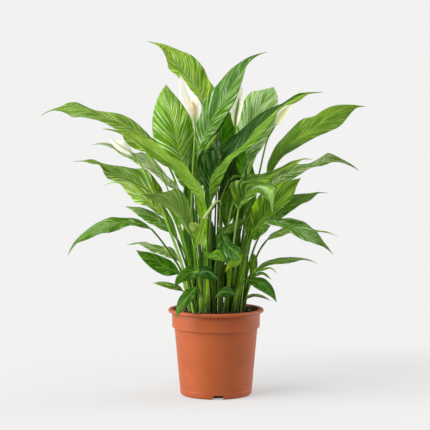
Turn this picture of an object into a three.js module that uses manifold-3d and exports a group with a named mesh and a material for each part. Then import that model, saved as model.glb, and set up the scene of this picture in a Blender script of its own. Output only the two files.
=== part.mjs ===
// A potted peace lily: leaves on long stalks, white hooded flowers and one
// closed bud, growing out of dark soil in a plain terracotta-coloured nursery
// pot with a rolled lip. Millimetres, +Z up. The origin is the middle of the
// pot's flat underside. -Y is the side that faces the viewer, +X is to the
// viewer's right.

import * as THREE from 'three';
import { mergeVertices } from 'three/addons/utils/BufferGeometryUtils.js';
import Module from 'manifold-3d';

// ---------- driving dimensions (mm) ----------

// pot
const POT_HEIGHT = 118;            // foot to top of the lip
const LIP_RADIUS = 65;             // outside of the rolled lip
const LIP_HEIGHT = 6;              // depth of the rolled lip
const COLLAR_RADIUS = 59.6;        // band below the lip
const COLLAR_BOTTOM = 93;          // where the band steps in to the body
const BODY_TOP_RADIUS = 56.6;      // body just below the band
const BODY_FOOT_RADIUS = 48.3;     // body at the foot
const WALL = 1.8;                  // wall of the pot
const FLOOR = 2.2;                 // floor of the pot
const FOOT_ROUND = 4;              // rounding of the foot
const POT_SIDES = 40;              // facets round the pot
const NOTCH_COUNT = 3;             // drain notches in the foot
const NOTCH_FIRST_ANGLE = -86.4;   // degrees, the one at the front
const NOTCH_WIDTH_LOW = 14.5;      // across, at the surface it stands on
const NOTCH_WIDTH_HIGH = 12.6;     // across, at the top of the notch
const NOTCH_HEIGHT = 5.6;          // from the surface it stands on
const NOTCH_INNER_RADIUS = 37;     // how far in the notch cuts the floor

// soil
const SOIL_TOP = 112;              // surface of the soil
const SOIL_GAP = 0.3;              // clearance to the pot
const SOCKET_DEPTH = 5.4;          // each stalk's socket in the soil
const SOCKET_GAP = 0.35;           // clearance round each stalk

// leaves and flowers: half thickness of the blade between edge and midrib,
// half thickness of the midrib, arching of each half as a share of its width
const BLADE_HALF_THICKNESS = 0.45;
const MIDRIB_HALF_THICKNESS = 0.75;
const BLADE_ARCH = 0.10;
const SPATHE_HALF_THICKNESS = 0.5;
const SPATHE_MIDRIB_HALF_THICKNESS = 0.6;
const SPATHE_ARCH = 0.12;
const STALK_FLATNESS = 0.85;       // a leaf stalk's depth as a share of its width
const SCAPE_SIDES = 7;
const SPADIX_SIDES = 8;

// colours
const LEAF_GREEN = 0x4f7d2a;
const LEAF_LIGHT = 0x7fa23c;
const SCAPE_GREEN = 0x8a9a3e;
const SPATHE_WHITE = 0xe9e7d6;
const SPADIX_TAN = 0xc9a870;
const BUD_CREAM = 0xcfcf8e;
const TERRACOTTA = 0xb8603c;
const SOIL_BROWN = 0x2a1c12;

// Each leaf: stalk = [x, y, z, radius] from the soil up to the blade; blade =
// [midrib x, y, z, left edge x, y, z, right edge x, y, z] from base to tip;
// along = how far along the blade each row lies; upper = which way the upper
// side faces (1 or -1); arch = arching of each half.
const LEAVES = [
{ name: 'leaf_top_left', upper: 1, arch: 0.1, light: true,
  stalk: [
    [-15.03, 14.01, 107, 2.51],
    [-15.03, 14.01, 113, 2.51],
    [-12.87, 14.57, 176.8, 2.18],
    [-9.13, 15.16, 241.54, 1.93],
    [-6.69, 18.77, 306.22, 1.71],
    [-9.55, 30.09, 369.9, 1.5],
  ],
  blade: [
    [-10.76, 32.53, 376.2, -12.31, 29.16, 375.36, -4.97, 33.5, 376.01],
    [-12.7, 36.25, 385.44, -16.3, 24.41, 383.49, 1.27, 38.72, 385.14],
    [-18.64, 42.72, 400.17, -21.54, 23.07, 397.17, 3.16, 48.66, 402.82],
    [-26.46, 49.45, 414.13, -30.54, 27.33, 408.94, -3.26, 59.24, 418.26],
    [-35.58, 56.42, 427.36, -42.66, 34.84, 420.18, -11.94, 64.99, 431.58],
    [-46.06, 63.64, 439.67, -53.96, 44.18, 432.9, -17.79, 63.88, 445.22],
    [-56.41, 71.11, 452.18, -63.42, 56.41, 441.48, -30.59, 71.14, 458.64],
    [-67.91, 78.83, 463.77, -68.87, 67.04, 457.99, -54.87, 82.54, 468.72],
    [-80.7, 86.79, 474.06, -79.19, 80.5, 472.26, -76.39, 91.54, 476.12],
    [-96.04, 95, 480.26, -96.04, 95, 480.26, -96.04, 95, 480.26],
  ],
  along: [0.04, 0.11, 0.22, 0.33, 0.44, 0.56, 0.67, 0.78, 0.89, 1] },
{ name: 'leaf_top_center', upper: 1, arch: 0.1,
  stalk: [
    [-17.69, 2.3, 107, 2.6],
    [-17.69, 2.3, 113, 2.6],
    [-20.14, 2.2, 163.44, 2.26],
    [-24.35, 3.61, 214.53, 2],
    [-27.47, 3.52, 265.72, 1.77],
    [-25.7, 1.7, 316.87, 1.56],
  ],
  blade: [
    [-24.09, 0.55, 325, -26.59, 4.16, 324.81, -21.88, -3.14, 324.94],
    [-21.33, -0.84, 336.81, -27.73, 11.51, 336.19, -16.45, -13.66, 335.81],
    [-14.43, -2.23, 355.91, -28.13, 16.38, 355.21, -8.21, -22.01, 347.69],
    [-5.8, -2.33, 374.19, -23.73, 17.25, 376.62, 2.46, -23.19, 360.78],
    [4.49, -1.11, 391.53, -14.57, 17.2, 398.22, 13.64, -22.17, 378.59],
    [15.11, 1.45, 408.65, -3.52, 17.39, 416.17, 22.08, -17.75, 394.59],
    [25.79, 5.34, 425.74, 10.14, 18.91, 430.85, 30.52, -11.26, 414.32],
    [37.09, 10.56, 442.47, 26.16, 20.47, 447.39, 37.46, -1.57, 433.81],
    [50.31, 17.12, 457.59, 46.75, 23.24, 459.22, 49.11, 10.71, 454.31],
    [69.24, 25, 465.07, 69.24, 25, 465.07, 69.24, 25, 465.07],
  ],
  along: [0.04, 0.11, 0.22, 0.33, 0.44, 0.56, 0.67, 0.78, 0.89, 1] },
{ name: 'leaf_left_of_center_broad', upper: 1, arch: 0.1,
  stalk: [
    [-23.18, 7.54, 107, 2.28],
    [-23.18, 7.54, 113, 2.28],
    [-24.79, 8.08, 158.78, 1.98],
    [-27.22, 9.37, 205.32, 1.76],
    [-31.57, 8.85, 251.76, 1.56],
    [-39.3, 5.63, 297.66, 1.37],
  ],
  blade: [
    [-40.92, 5.15, 303.19, -43.48, 1.63, 302.23, -39.88, 8.97, 303.02],
    [-43.34, 4.91, 311.27, -49.93, -6.95, 309.28, -40.08, 18.05, 310.48],
    [-47.66, 5.55, 324.71, -63.27, -10.88, 321.68, -35.91, 24.89, 322.4],
    [-50.91, 7.34, 338.39, -75.07, -4.23, 333.79, -31.93, 25.93, 336.03],
    [-53.88, 10.19, 352.1, -83.38, 9.01, 345.62, -29.6, 24.04, 351.24],
    [-56.54, 14.08, 365.86, -86.27, 14.08, 359.02, -31.04, 21.27, 365.83],
    [-59.35, 19.01, 379.59, -86.31, 19.01, 372.72, -35.44, 19.4, 378.34],
    [-62.36, 24.97, 393.29, -84.29, 24.97, 386.81, -42.75, 24.97, 389.93],
    [-65.52, 31.97, 407, -79.77, 31.97, 401.97, -53.05, 31.97, 403.05],
    [-68.35, 40, 420.78, -68.35, 40, 420.78, -68.35, 40, 420.78],
  ],
  along: [0.04, 0.11, 0.22, 0.33, 0.44, 0.56, 0.67, 0.78, 0.89, 1] },
{ name: 'leaf_right_of_center_broad', upper: 1, arch: 0.1,
  stalk: [
    [13.7, 18, 107, 2.34],
    [13.7, 18, 113, 2.34],
    [18.72, 17.54, 159.83, 2.03],
    [26.92, 16.58, 207.23, 1.8],
    [35.54, 17.15, 254.56, 1.6],
    [40.89, 22, 302.07, 1.4],
  ],
  blade: [
    [40.85, 23.38, 307.6, 38.02, 26.55, 307.41, 43.44, 20.15, 307.82],
    [40.87, 25.65, 315.72, 33.99, 36.55, 315.1, 47.39, 14.8, 316.36],
    [41.78, 30.13, 329.31, 29.33, 47.14, 328.43, 58.31, 16.47, 329.52],
    [43.61, 35.45, 342.82, 27.06, 53.45, 341.81, 69.01, 30.26, 342.29],
    [46.91, 41.61, 356.05, 27.47, 57.72, 356.05, 76.85, 41.58, 355.48],
    [51.75, 48.61, 368.87, 30.26, 58.6, 371.96, 81.75, 48.61, 369.21],
    [57.28, 56.45, 381.47, 34.53, 56.99, 389.35, 84.53, 56.45, 384.11],
    [63.96, 65.13, 393.59, 43.2, 65.13, 404.64, 85.71, 65.13, 395.48],
    [71.54, 74.65, 405.28, 56.54, 74.65, 411.64, 84.84, 74.64, 405.68],
    [79.96, 85, 416.52, 79.96, 85, 416.52, 79.96, 85, 416.52],
  ],
  along: [0.04, 0.11, 0.22, 0.33, 0.44, 0.56, 0.67, 0.78, 0.89, 1] },
{ name: 'leaf_crossing_center', upper: 1, arch: 0.1,
  stalk: [
    [-6.78, -7.96, 107, 2.6],
    [-6.78, -7.96, 113, 2.6],
    [-7.59, -9.48, 148.99, 2.26],
    [-8.57, -11.61, 185.95, 2],
    [-8.41, -13.09, 222.95, 1.77],
    [-6.74, -15.56, 259.91, 1.56],
  ],
  blade: [
    [-7.85, -17.63, 270.59, -11.85, -14.52, 270.36, -2.53, -19.84, 268.5],
    [-7.96, -20.01, 286.24, -18.2, -10.16, 285.44, 3.52, -28.37, 282.11],
    [1.59, -21.4, 309.88, -21.61, -15.09, 312.47, 14.17, -39.94, 307.77],
    [19.42, -20.78, 328.56, -8, -16.14, 337.11, 28.03, -44.68, 327.73],
    [39.8, -19.12, 344.26, 22.82, -0.58, 352.33, 50.77, -42.71, 342.69],
    [55.9, -16.69, 364.47, 46.26, 4.38, 370.58, 68.19, -37.91, 362.88],
    [75.86, -13.55, 381, 71.79, 5.03, 388.02, 80.42, -33.05, 381.85],
    [96.4, -9.73, 396.91, 95.59, 4.49, 397.61, 97.42, -23.79, 395.81],
    [119.32, -5.21, 408.92, 119.63, 1.87, 410.33, 120.33, -12.02, 407.36],
    [145.49, 0, 411.39, 145.49, 0, 411.39, 145.49, 0, 411.39],
  ],
  along: [0.04, 0.11, 0.22, 0.33, 0.44, 0.56, 0.67, 0.78, 0.89, 1] },
{ name: 'leaf_right_big', upper: 1, arch: 0.1,
  stalk: [
    [26.04, 20.29, 107, 2.6],
    [26.04, 20.29, 113, 2.6],
    [33.17, 16.64, 156.47, 2.26],
    [44.7, 13.5, 200.78, 2],
    [58.01, 13.24, 244.71, 1.77],
    [69.45, 18.52, 288.65, 1.56],
  ],
  blade: [
    [70.87, 22.25, 296.44, 68.53, 25.89, 296.52, 72.96, 18.56, 295.87],
    [74.77, 27.87, 307.41, 69.35, 40.47, 307.92, 78.29, 14.75, 306.24],
    [86.31, 37.06, 323.49, 77.75, 56.83, 329.46, 89.76, 15.39, 321.66],
    [101.24, 46.25, 336.92, 91.74, 68.33, 345.42, 103.68, 21.69, 331.7],
    [117.73, 55.44, 348.73, 107.46, 76.35, 361.1, 123.65, 31.24, 342.53],
    [134.71, 64.54, 360.09, 123.83, 83.15, 372.78, 143.76, 44, 351.67],
    [151.35, 73.56, 372.11, 141.64, 90.14, 379.15, 162.7, 62.31, 358.03],
    [168.9, 82.47, 383.01, 160.42, 93.6, 388.61, 179.14, 81.25, 369.66],
    [188.67, 91.28, 389.51, 184.55, 96.91, 391.76, 194.25, 88, 385.75],
    [209.85, 100, 389.3, 209.85, 100, 389.3, 209.85, 100, 389.3],
  ],
  along: [0.04, 0.11, 0.22, 0.33, 0.44, 0.56, 0.67, 0.78, 0.89, 1] },
{ name: 'leaf_right_upper_mid', upper: 1, arch: 0.1,
  stalk: [
    [17.69, 2, 107, 2.09],
    [17.69, 2, 113, 2.09],
    [17.03, -0.77, 155.52, 1.81],
    [15.35, -4.18, 198.98, 1.61],
    [17.82, -9.79, 241.97, 1.42],
    [32.31, -11.67, 282.57, 1.25],
  ],
  blade: [
    [35.84, -10.78, 285.89, 32.83, -9.36, 287.43, 37.7, -12.16, 283.05],
    [41.18, -9.37, 290.58, 34.06, -4.54, 294.28, 45.7, -13.78, 283.83],
    [52.53, -8.05, 293.98, 45.59, 2.4, 300.7, 60.08, -16.7, 285.07],
    [64.34, -6.46, 296.44, 57.76, 7.68, 299.46, 72.4, -18.4, 289.12],
    [75.72, -3.12, 300.39, 70.73, 12.19, 301.33, 82.14, -16.63, 294.09],
    [86.59, 0.27, 305.61, 83.13, 14.79, 306.52, 90.96, -13.18, 300.69],
    [97.1, 1.42, 311.55, 93.69, 13.52, 312.39, 100.69, -10.31, 309.16],
    [107.77, 1.2, 317.14, 106.2, 9.98, 318.55, 110.57, -7.3, 315.7],
    [119.28, 2.6, 320.82, 119.37, 7.11, 321.32, 119.36, -1.88, 320.31],
    [131.31, 5.12, 319.39, 131.31, 5.12, 319.39, 131.31, 5.12, 319.39],
  ],
  along: [0.04, 0.11, 0.22, 0.33, 0.44, 0.56, 0.67, 0.78, 0.89, 1] },
{ name: 'leaf_right_far_tip', upper: 1, arch: 0.1,
  stalk: [
    [27.14, -5.78, 107, 2.42],
    [27.14, -5.78, 113, 2.42],
    [30.7, -7.15, 153.67, 2.1],
    [35.95, -11.42, 194.73, 1.86],
    [45.22, -17.1, 234.87, 1.65],
    [61.69, -22.88, 272.6, 1.45],
  ],
  blade: [
    [66.06, -24.04, 277.75, 63.54, -23.13, 279.78, 67.74, -25.54, 276],
    [72.6, -25.65, 285.17, 67.37, -21.75, 289.64, 76.56, -30.94, 281.53],
    [84.77, -25.38, 296.29, 81.4, -15.59, 301.86, 91.13, -34.7, 292.49],
    [98.84, -24.55, 304.86, 98.44, -12.55, 311.01, 103.75, -35.33, 298.06],
    [114.35, -24.63, 310.4, 115.87, -11.67, 314.38, 118.45, -36.82, 306.12],
    [130.1, -24.7, 315.25, 130.47, -12.28, 317.15, 132.15, -36.37, 311.33],
    [145.45, -24.19, 321.31, 145.12, -15.68, 328.23, 147.73, -33.19, 315.67],
    [161.73, -23.2, 320.72, 164.85, -17.29, 324.81, 162.52, -30.31, 318.21],
    [177.45, -21.8, 315.23, 179.78, -18.68, 316.46, 177.13, -25.51, 314.27],
    [191.83, -20, 306.69, 191.83, -20, 306.69, 191.83, -20, 306.69],
  ],
  along: [0.04, 0.11, 0.22, 0.33, 0.44, 0.56, 0.67, 0.78, 0.89, 1] },
{ name: 'leaf_right_folded', upper: 1, arch: 0.04,
  stalk: [
    [13.48, -22.01, 107, 2.17],
    [13.48, -22.01, 113, 2.17],
    [16.77, -23.64, 147.33, 1.88],
    [20.55, -27.17, 182.47, 1.67],
    [24.44, -33.32, 217.23, 1.48],
    [29.36, -36.24, 252.16, 1.3],
  ],
  blade: [
    [30.53, -39.23, 256.27, 27.38, -37.35, 256.49, 31.13, -41.69, 254.93],
    [32.28, -43.93, 262.29, 24.52, -38.2, 262.8, 33.72, -52.45, 259.22],
    [36.53, -52.51, 271.86, 20.38, -49.6, 274.36, 39.68, -66, 266.33],
    [42.09, -61.47, 280.61, 19.35, -61.45, 289.79, 47.05, -76.32, 273.36],
    [49.82, -70.5, 287.02, 31.92, -67.49, 296.25, 52.19, -86.12, 280.1],
    [59.21, -79.49, 288.67, 54.46, -65.62, 292.94, 57.62, -93.55, 280.86],
    [66.97, -88.44, 284.05, 76.39, -79.51, 290.4, 64.68, -98.69, 274.85],
    [70.57, -97.35, 275.8, 77.58, -91.18, 279.26, 68.96, -104.92, 269.79],
    [72.28, -106.2, 266.94, 74.91, -102.23, 268.39, 71.32, -110.3, 264.5],
    [73.14, -115, 257.99, 73.14, -115, 257.99, 73.14, -115, 257.99],
  ],
  along: [0.04, 0.11, 0.22, 0.33, 0.44, 0.56, 0.67, 0.78, 0.89, 1] },
{ name: 'leaf_right_lower_broad', upper: 1, arch: 0.1,
  stalk: [
    [29.78, -12.08, 107, 2],
    [29.78, -12.08, 113, 2],
    [32.3, -13.51, 139.89, 1.74],
    [36.23, -14.69, 167.9, 1.54],
    [41.91, -16.29, 195.58, 1.36],
    [49.76, -20.03, 222.48, 1.2],
  ],
  blade: [
    [51.59, -21.32, 226.64, 48.29, -20.77, 229.08, 54.2, -23.3, 226.3],
    [54.5, -23.09, 232.63, 46.48, -22.93, 238.76, 60.57, -29.94, 232],
    [61.33, -25.7, 241.35, 46.88, -25.7, 253.69, 70.03, -37.35, 240.42],
    [68.68, -27.9, 249.59, 51.56, -27.9, 265.43, 78.63, -41.24, 248.84],
    [76.07, -30, 257.75, 58.87, -30, 275.14, 86.44, -43.19, 255.79],
    [83.39, -32.71, 265.97, 67.82, -32.71, 283.05, 93.76, -43.89, 261.95],
    [90.69, -35.59, 274.18, 77.7, -35.59, 288.24, 100.71, -43.93, 270.33],
    [98.33, -36.97, 281.97, 88.17, -36.97, 291.49, 104.94, -43.61, 280.09],
    [105.95, -37.45, 289.73, 101.03, -37.45, 295.31, 108.85, -41.18, 290.05],
    [113.39, -35.08, 297.58, 113.39, -35.08, 297.58, 113.39, -35.08, 297.58],
  ],
  along: [0.04, 0.11, 0.22, 0.33, 0.44, 0.56, 0.67, 0.78, 0.89, 1] },
{ name: 'leaf_right_dark', upper: 1, arch: 0.1,
  stalk: [
    [33.99, -0.68, 107, 2.14],
    [33.99, -0.68, 113, 2.14],
    [37.92, -1.7, 143.71, 1.86],
    [43.83, -3.69, 174.57, 1.65],
    [53, -6.03, 204.58, 1.46],
    [67.69, -1.8, 231.66, 1.28],
  ],
  blade: [
    [71.02, 1.07, 234.35, 69.87, 2.96, 236.55, 72.11, -1.19, 233.57],
    [75.91, 5.32, 238.31, 73.1, 11.63, 243.66, 78.56, -2.53, 236.56],
    [84.43, 12.47, 244.69, 80.3, 23.1, 252.98, 88.8, -0.28, 241.96],
    [93.3, 19.56, 250.72, 89.66, 32.32, 259.4, 98.25, 4.92, 247.77],
    [102.32, 26.54, 256.66, 99.65, 39.07, 266.99, 107.24, 11.88, 252.65],
    [111.86, 33.43, 261.89, 110.31, 45.95, 270.1, 116.96, 20.31, 256.88],
    [122, 40.22, 266.15, 121.6, 51.9, 270.51, 126.34, 29.48, 261.09],
    [132.61, 46.91, 269.46, 133.11, 55.73, 271.11, 134.55, 38.73, 266.19],
    [143.59, 53.51, 271.38, 143.83, 58.03, 271.51, 143.81, 49.04, 271.1],
    [154.98, 60, 270.62, 154.98, 60, 270.62, 154.98, 60, 270.62],
  ],
  along: [0.04, 0.11, 0.22, 0.33, 0.44, 0.56, 0.67, 0.78, 0.89, 1] },
{ name: 'leaf_right_drooping', upper: 1, arch: 0.1,
  stalk: [
    [32.35, -22.56, 107, 2.14],
    [32.35, -22.56, 113, 2.14],
    [35.72, -21.47, 145.5, 1.86],
    [38.93, -25.59, 178.68, 1.65],
    [43.4, -34.13, 211.15, 1.46],
    [61.31, -41.78, 237.63, 1.28],
  ],
  blade: [
    [65.88, -45.79, 239.36, 65.24, -43.43, 240.79, 65.89, -48.11, 237.6],
    [72.69, -51.27, 241.33, 71.62, -43, 244.51, 72.47, -59.38, 237.51],
    [84.22, -59.5, 240.25, 85.87, -46.09, 245.38, 82.54, -72.91, 235.14],
    [95.32, -66.55, 237.15, 98.39, -51.96, 244.74, 92.24, -81.54, 230.72],
    [106.24, -72.46, 233.43, 110.64, -58.07, 241.43, 103.03, -86.87, 225.06],
    [116.77, -77.24, 228.74, 121.41, -64.5, 237.04, 113.6, -90.08, 219.99],
    [126.82, -80.88, 222.99, 130.35, -71.56, 232.34, 123.63, -92.08, 216.61],
    [136.74, -83.39, 216.87, 138.74, -75.69, 221.8, 134.11, -92.27, 214.76],
    [145.72, -84.76, 209.33, 147.27, -80.22, 209.82, 144.17, -89.33, 208.75],
    [153.6, -85, 200.43, 153.6, -85, 200.43, 153.6, -85, 200.43],
  ],
  along: [0.04, 0.11, 0.22, 0.33, 0.44, 0.56, 0.67, 0.78, 0.89, 1] },
{ name: 'leaf_right_arching_behind', upper: 1, arch: 0.1,
  stalk: [
    [36.6, -8.1, 107, 2.07],
    [36.6, -8.1, 113, 2.07],
    [40.75, -8.02, 137.81, 1.79],
    [46.22, -8.45, 163.34, 1.59],
    [54.37, -8.35, 188.15, 1.41],
    [67.66, -4.86, 210.2, 1.24],
  ],
  blade: [
    [71.04, -3.63, 213.23, 70.37, -2.19, 214.52, 71.58, -4.84, 211.31],
    [76.35, -1.97, 217.26, 75.18, 3.19, 219.97, 77.67, -6.36, 213.24],
    [87.02, 0.68, 220.95, 87.5, 9.21, 224.74, 89.52, -7.72, 217.22],
    [98.33, 3.44, 222.4, 99.99, 11.7, 229.91, 100.65, -6.98, 220.88],
    [109.8, 6.42, 222.71, 111.49, 14.78, 230.35, 112.08, -3.95, 219.68],
    [121.32, 9.64, 222.5, 123.17, 18.74, 226.99, 123.78, -0.03, 220.17],
    [132.88, 13.11, 222, 133.89, 21.59, 223.27, 133.65, 4.61, 221.11],
    [144.47, 16.83, 221.04, 144.71, 23.08, 221.04, 143.95, 10.59, 220.8],
    [155.87, 20.79, 218.41, 156.05, 23.91, 218.64, 155.69, 17.68, 218.07],
    [166.93, 25, 214.17, 166.93, 25, 214.17, 166.93, 25, 214.17],
  ],
  along: [0.04, 0.11, 0.22, 0.33, 0.44, 0.56, 0.67, 0.78, 0.89, 1] },
{ name: 'leaf_low_right_drooping', upper: 1, arch: 0.1,
  stalk: [
    [28.24, -28.22, 107, 1.73],
    [28.24, -28.22, 113, 1.73],
    [29.72, -27.6, 133.36, 1.4],
    [32.23, -27.78, 148.98, 1.21],
    [36.24, -26.52, 157.28, 1.11],
    [38.87, -33.71, 160.47, 1.04],
  ],
  blade: [
    [46.69, -41.36, 160.89, 46.59, -35.61, 163.72, 44.31, -46.4, 157.39],
    [54.31, -48.19, 159.95, 57.2, -40.8, 165.26, 50.01, -54.53, 153.9],
    [61.32, -55.08, 157.4, 66.4, -48.04, 162.99, 56.33, -61.36, 150.84],
    [67.52, -61.36, 153.43, 72.96, -54.72, 157.38, 62.98, -67.36, 147.81],
    [72.75, -66.99, 148.3, 77.08, -61.49, 150.04, 69.5, -71.71, 144.06],
    [76.98, -71.97, 142.34, 79.01, -68.81, 142.51, 75.47, -74.57, 140.23],
    [79.84, -76.3, 135.56, 79.84, -76.3, 135.56, 79.84, -76.3, 135.56],
  ],
  along: [0.14, 0.29, 0.43, 0.57, 0.71, 0.86, 1] },
{ name: 'leaf_low_right_small', upper: 1, arch: 0.1,
  stalk: [
    [35.51, 10.73, 107, 1.57],
    [35.51, 10.73, 113, 1.57],
    [35.68, 10.27, 117.78, 1.27],
    [36.09, 9.9, 122.37, 1.1],
    [36.77, 9.61, 125.04, 1],
    [37.5, 8.64, 126.69, 0.94],
  ],
  blade: [
    [41.78, 13.68, 130.16, 41.23, 15.81, 131.49, 42.86, 11.59, 129.07],
    [46.98, 18.97, 132.31, 46.57, 22.15, 134.18, 48.16, 15.88, 130.55],
    [52.81, 23.08, 132.87, 52.89, 26.56, 134.66, 53.37, 19.72, 130.94],
    [58.72, 26.85, 131.71, 58.76, 29.87, 133.65, 58.89, 23.81, 129.84],
    [64.48, 30.57, 129.65, 64.78, 32.8, 131.23, 64.14, 28.28, 128.2],
    [69.9, 34.29, 126.61, 70.58, 35.43, 127.27, 69.22, 33.14, 125.96],
    [75.16, 38, 123.21, 75.16, 38, 123.21, 75.16, 38, 123.21],
  ],
  along: [0.14, 0.29, 0.43, 0.57, 0.71, 0.86, 1] },
{ name: 'leaf_right_narrow', upper: 1, arch: 0.1,
  stalk: [
    [36.79, 5.27, 107, 2.01],
    [36.79, 5.27, 113, 2.01],
    [38.99, 4.54, 131.1, 1.68],
    [43.02, 3.05, 150, 1.43],
    [51.63, 2.39, 167.18, 1.21],
  ],
  blade: [
    [54.93, 3.84, 169.65, 54.5, 4.87, 170.19, 55.6, 2.87, 169.03],
    [59.79, 6.09, 173.25, 58.78, 9.67, 174.47, 61.4, 2.74, 171.83],
    [68.72, 10.01, 178.2, 67.35, 15.96, 179.88, 70.25, 4.39, 175.74],
    [78.69, 14, 180.91, 78.36, 20.77, 183.41, 79.89, 7.76, 177.34],
    [89.13, 18, 181.52, 89.42, 24.62, 184.85, 89.97, 11.88, 177.34],
    [99.66, 22, 181.44, 99.88, 28.05, 184.79, 100.11, 16.14, 177.79],
    [110.21, 26, 181.74, 110.4, 31.23, 184.25, 110.59, 20.69, 179.58],
    [120.79, 30, 181.6, 121.04, 33.99, 182.64, 120.55, 25.94, 180.81],
    [131.13, 34, 178.73, 131.86, 36.01, 178.94, 130.77, 31.93, 178.51],
    [141.11, 38, 174.51, 141.11, 38, 174.51, 141.11, 38, 174.51],
  ],
  along: [0.04, 0.11, 0.22, 0.33, 0.44, 0.56, 0.67, 0.78, 0.89, 1] },
{ name: 'leaf_right_wispy', upper: 1, arch: 0.1,
  stalk: [
    [32.84, 15.68, 107, 1.56],
    [32.84, 15.68, 113, 1.56],
    [35.29, 13.96, 132.86, 1.26],
    [38.87, 13.05, 148.33, 1.09],
    [42.81, 15.06, 156.78, 1],
    [46.48, 17.68, 161.32, 0.94],
  ],
  blade: [
    [51.71, 21.58, 164.02, 51.75, 23.91, 165.49, 52.54, 19.09, 163.22],
    [57.15, 25.1, 166.39, 57.22, 28.36, 168.82, 58.46, 21.57, 164.92],
    [63, 28.41, 167.82, 63.08, 32.23, 169.6, 63.87, 24.55, 166.35],
    [68.95, 31.55, 168.92, 69.03, 35.23, 170, 69.31, 27.92, 167.73],
    [75.01, 34.53, 169.05, 75.13, 37.4, 169.64, 74.86, 31.71, 168.31],
    [80.14, 37.35, 165.45, 80.59, 38.8, 165.81, 79.56, 35.96, 164.95],
    [84.08, 40, 160.43, 84.08, 40, 160.43, 84.08, 40, 160.43],
  ],
  along: [0.14, 0.29, 0.43, 0.57, 0.71, 0.86, 1] },
{ name: 'leaf_right_small_upright', upper: 1, arch: 0.1,
  stalk: [
    [33.77, -17.12, 107, 1.46],
    [33.77, -17.12, 113, 1.46],
    [38.72, -16.97, 131.56, 1.18],
    [44.16, -17.27, 145.61, 1.02],
    [47.11, -17.69, 154.14, 0.93],
    [48.55, -18, 159.98, 0.87],
  ],
  blade: [
    [48.82, -18.14, 162.06, 47.75, -17.12, 161.91, 49.98, -19.06, 161.79],
    [49.21, -18.37, 164.94, 46.62, -15.88, 164.56, 52.01, -20.52, 164.27],
    [49.76, -18.9, 169.93, 45.28, -15.99, 169.81, 54.48, -21.2, 168.75],
    [50.13, -19.59, 174.95, 44.86, -17.56, 175.85, 55.41, -21.44, 173.78],
    [50.51, -20.45, 179.98, 45.24, -20.36, 181.71, 55.95, -20.52, 178.57],
    [50.88, -21.47, 185.03, 46.2, -21.47, 187.05, 55.96, -21.47, 183.71],
    [51.1, -22.65, 190.09, 47.38, -22.65, 191.49, 54.69, -22.65, 190.05],
    [51.07, -24, 195.18, 51.07, -24, 195.18, 51.07, -24, 195.18],
  ],
  along: [0.06, 0.14, 0.29, 0.43, 0.57, 0.71, 0.86, 1] },
{ name: 'leaf_left_upper_long', upper: -1, arch: 0.1,
  stalk: [
    [-26.02, 20.2, 107, 2.6],
    [-26.02, 20.2, 113, 2.6],
    [-30.73, 15.4, 166.21, 2.26],
    [-37.83, 12.53, 221.38, 2],
    [-50.44, 16.34, 275.27, 1.77],
    [-72.03, 16.13, 325.58, 1.56],
  ],
  blade: [
    [-77.35, 14.7, 332.1, -75.3, 17.63, 332.44, -79.06, 11.96, 329.9],
    [-85.55, 14.93, 341.27, -80.61, 25.03, 341.18, -89.82, 5.38, 336.86],
    [-101.75, 18.78, 354.03, -91.9, 34.37, 352.75, -109.55, 2.85, 349.57],
    [-120.02, 24.62, 363.98, -108.15, 41.67, 368.63, -127.44, 6.31, 357.03],
    [-139.18, 31.37, 372.41, -130.72, 49.51, 379.99, -144.99, 12.36, 365.32],
    [-159.33, 38.81, 378.69, -155.16, 57.2, 383.46, -165.13, 21.18, 372.5],
    [-179.83, 46.89, 384.35, -176.68, 62.07, 389.08, -185.73, 33.67, 375.84],
    [-201.18, 55.62, 386.88, -198.35, 64.51, 395.69, -201.48, 46.26, 378.92],
    [-222.86, 64.99, 385.6, -222.37, 70.5, 386.82, -222.4, 59.19, 384.93],
    [-242.64, 75, 376.58, -242.64, 75, 376.58, -242.64, 75, 376.58],
  ],
  along: [0.04, 0.11, 0.22, 0.33, 0.44, 0.56, 0.67, 0.78, 0.89, 1] },
{ name: 'leaf_left_long_light', upper: 1, arch: 0.1, light: true,
  stalk: [
    [-12.11, -32.28, 107, 2.6],
    [-12.11, -32.28, 113, 2.6],
    [-12.45, -32.69, 148.68, 2.26],
    [-12.78, -33.5, 185.32, 2],
    [-12.96, -32.96, 221.96, 1.77],
    [-13.39, -33.03, 258.6, 1.56],
  ],
  blade: [
    [-16.46, -34.17, 266.26, -14.14, -35.92, 268.18, -18.75, -33.04, 263.27],
    [-21.3, -35.68, 277.33, -16.02, -42, 281.71, -26.6, -31.43, 270.43],
    [-32.58, -37.71, 294.04, -26.37, -49.86, 297.9, -39.5, -27.36, 286.09],
    [-47.08, -39.11, 307.91, -38.73, -52.59, 312, -53.45, -25.13, 302.57],
    [-63.34, -39.86, 319.65, -55.79, -53.7, 324.17, -68.12, -25.22, 313.51],
    [-79.73, -39.97, 331.13, -72.76, -51.74, 339.01, -81.52, -26.99, 322.46],
    [-96.47, -39.44, 342.09, -91.21, -47.35, 352.17, -98.91, -28.36, 335.75],
    [-113.49, -38.27, 352.59, -110.04, -44.61, 359.31, -117.07, -30.16, 349.39],
    [-132.08, -36.45, 360, -132.01, -40.62, 361.42, -133.32, -32.22, 358.71],
    [-151.89, -34, 363.45, -151.89, -34, 363.45, -151.89, -34, 363.45],
  ],
  along: [0.04, 0.11, 0.22, 0.33, 0.44, 0.56, 0.67, 0.78, 0.89, 1] },
{ name: 'leaf_left_dark_under', upper: -1, arch: 0.1,
  stalk: [
    [-25.65, -21.13, 107, 1.51],
    [-25.65, -21.13, 113, 1.51],
    [-40.9, -24.45, 204.85, 1.22],
    [-60.98, -34.76, 271.33, 1.06],
    [-75.57, -42.4, 310.06, 0.97],
    [-91.55, -48, 332.31, 0.91],
  ],
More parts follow.
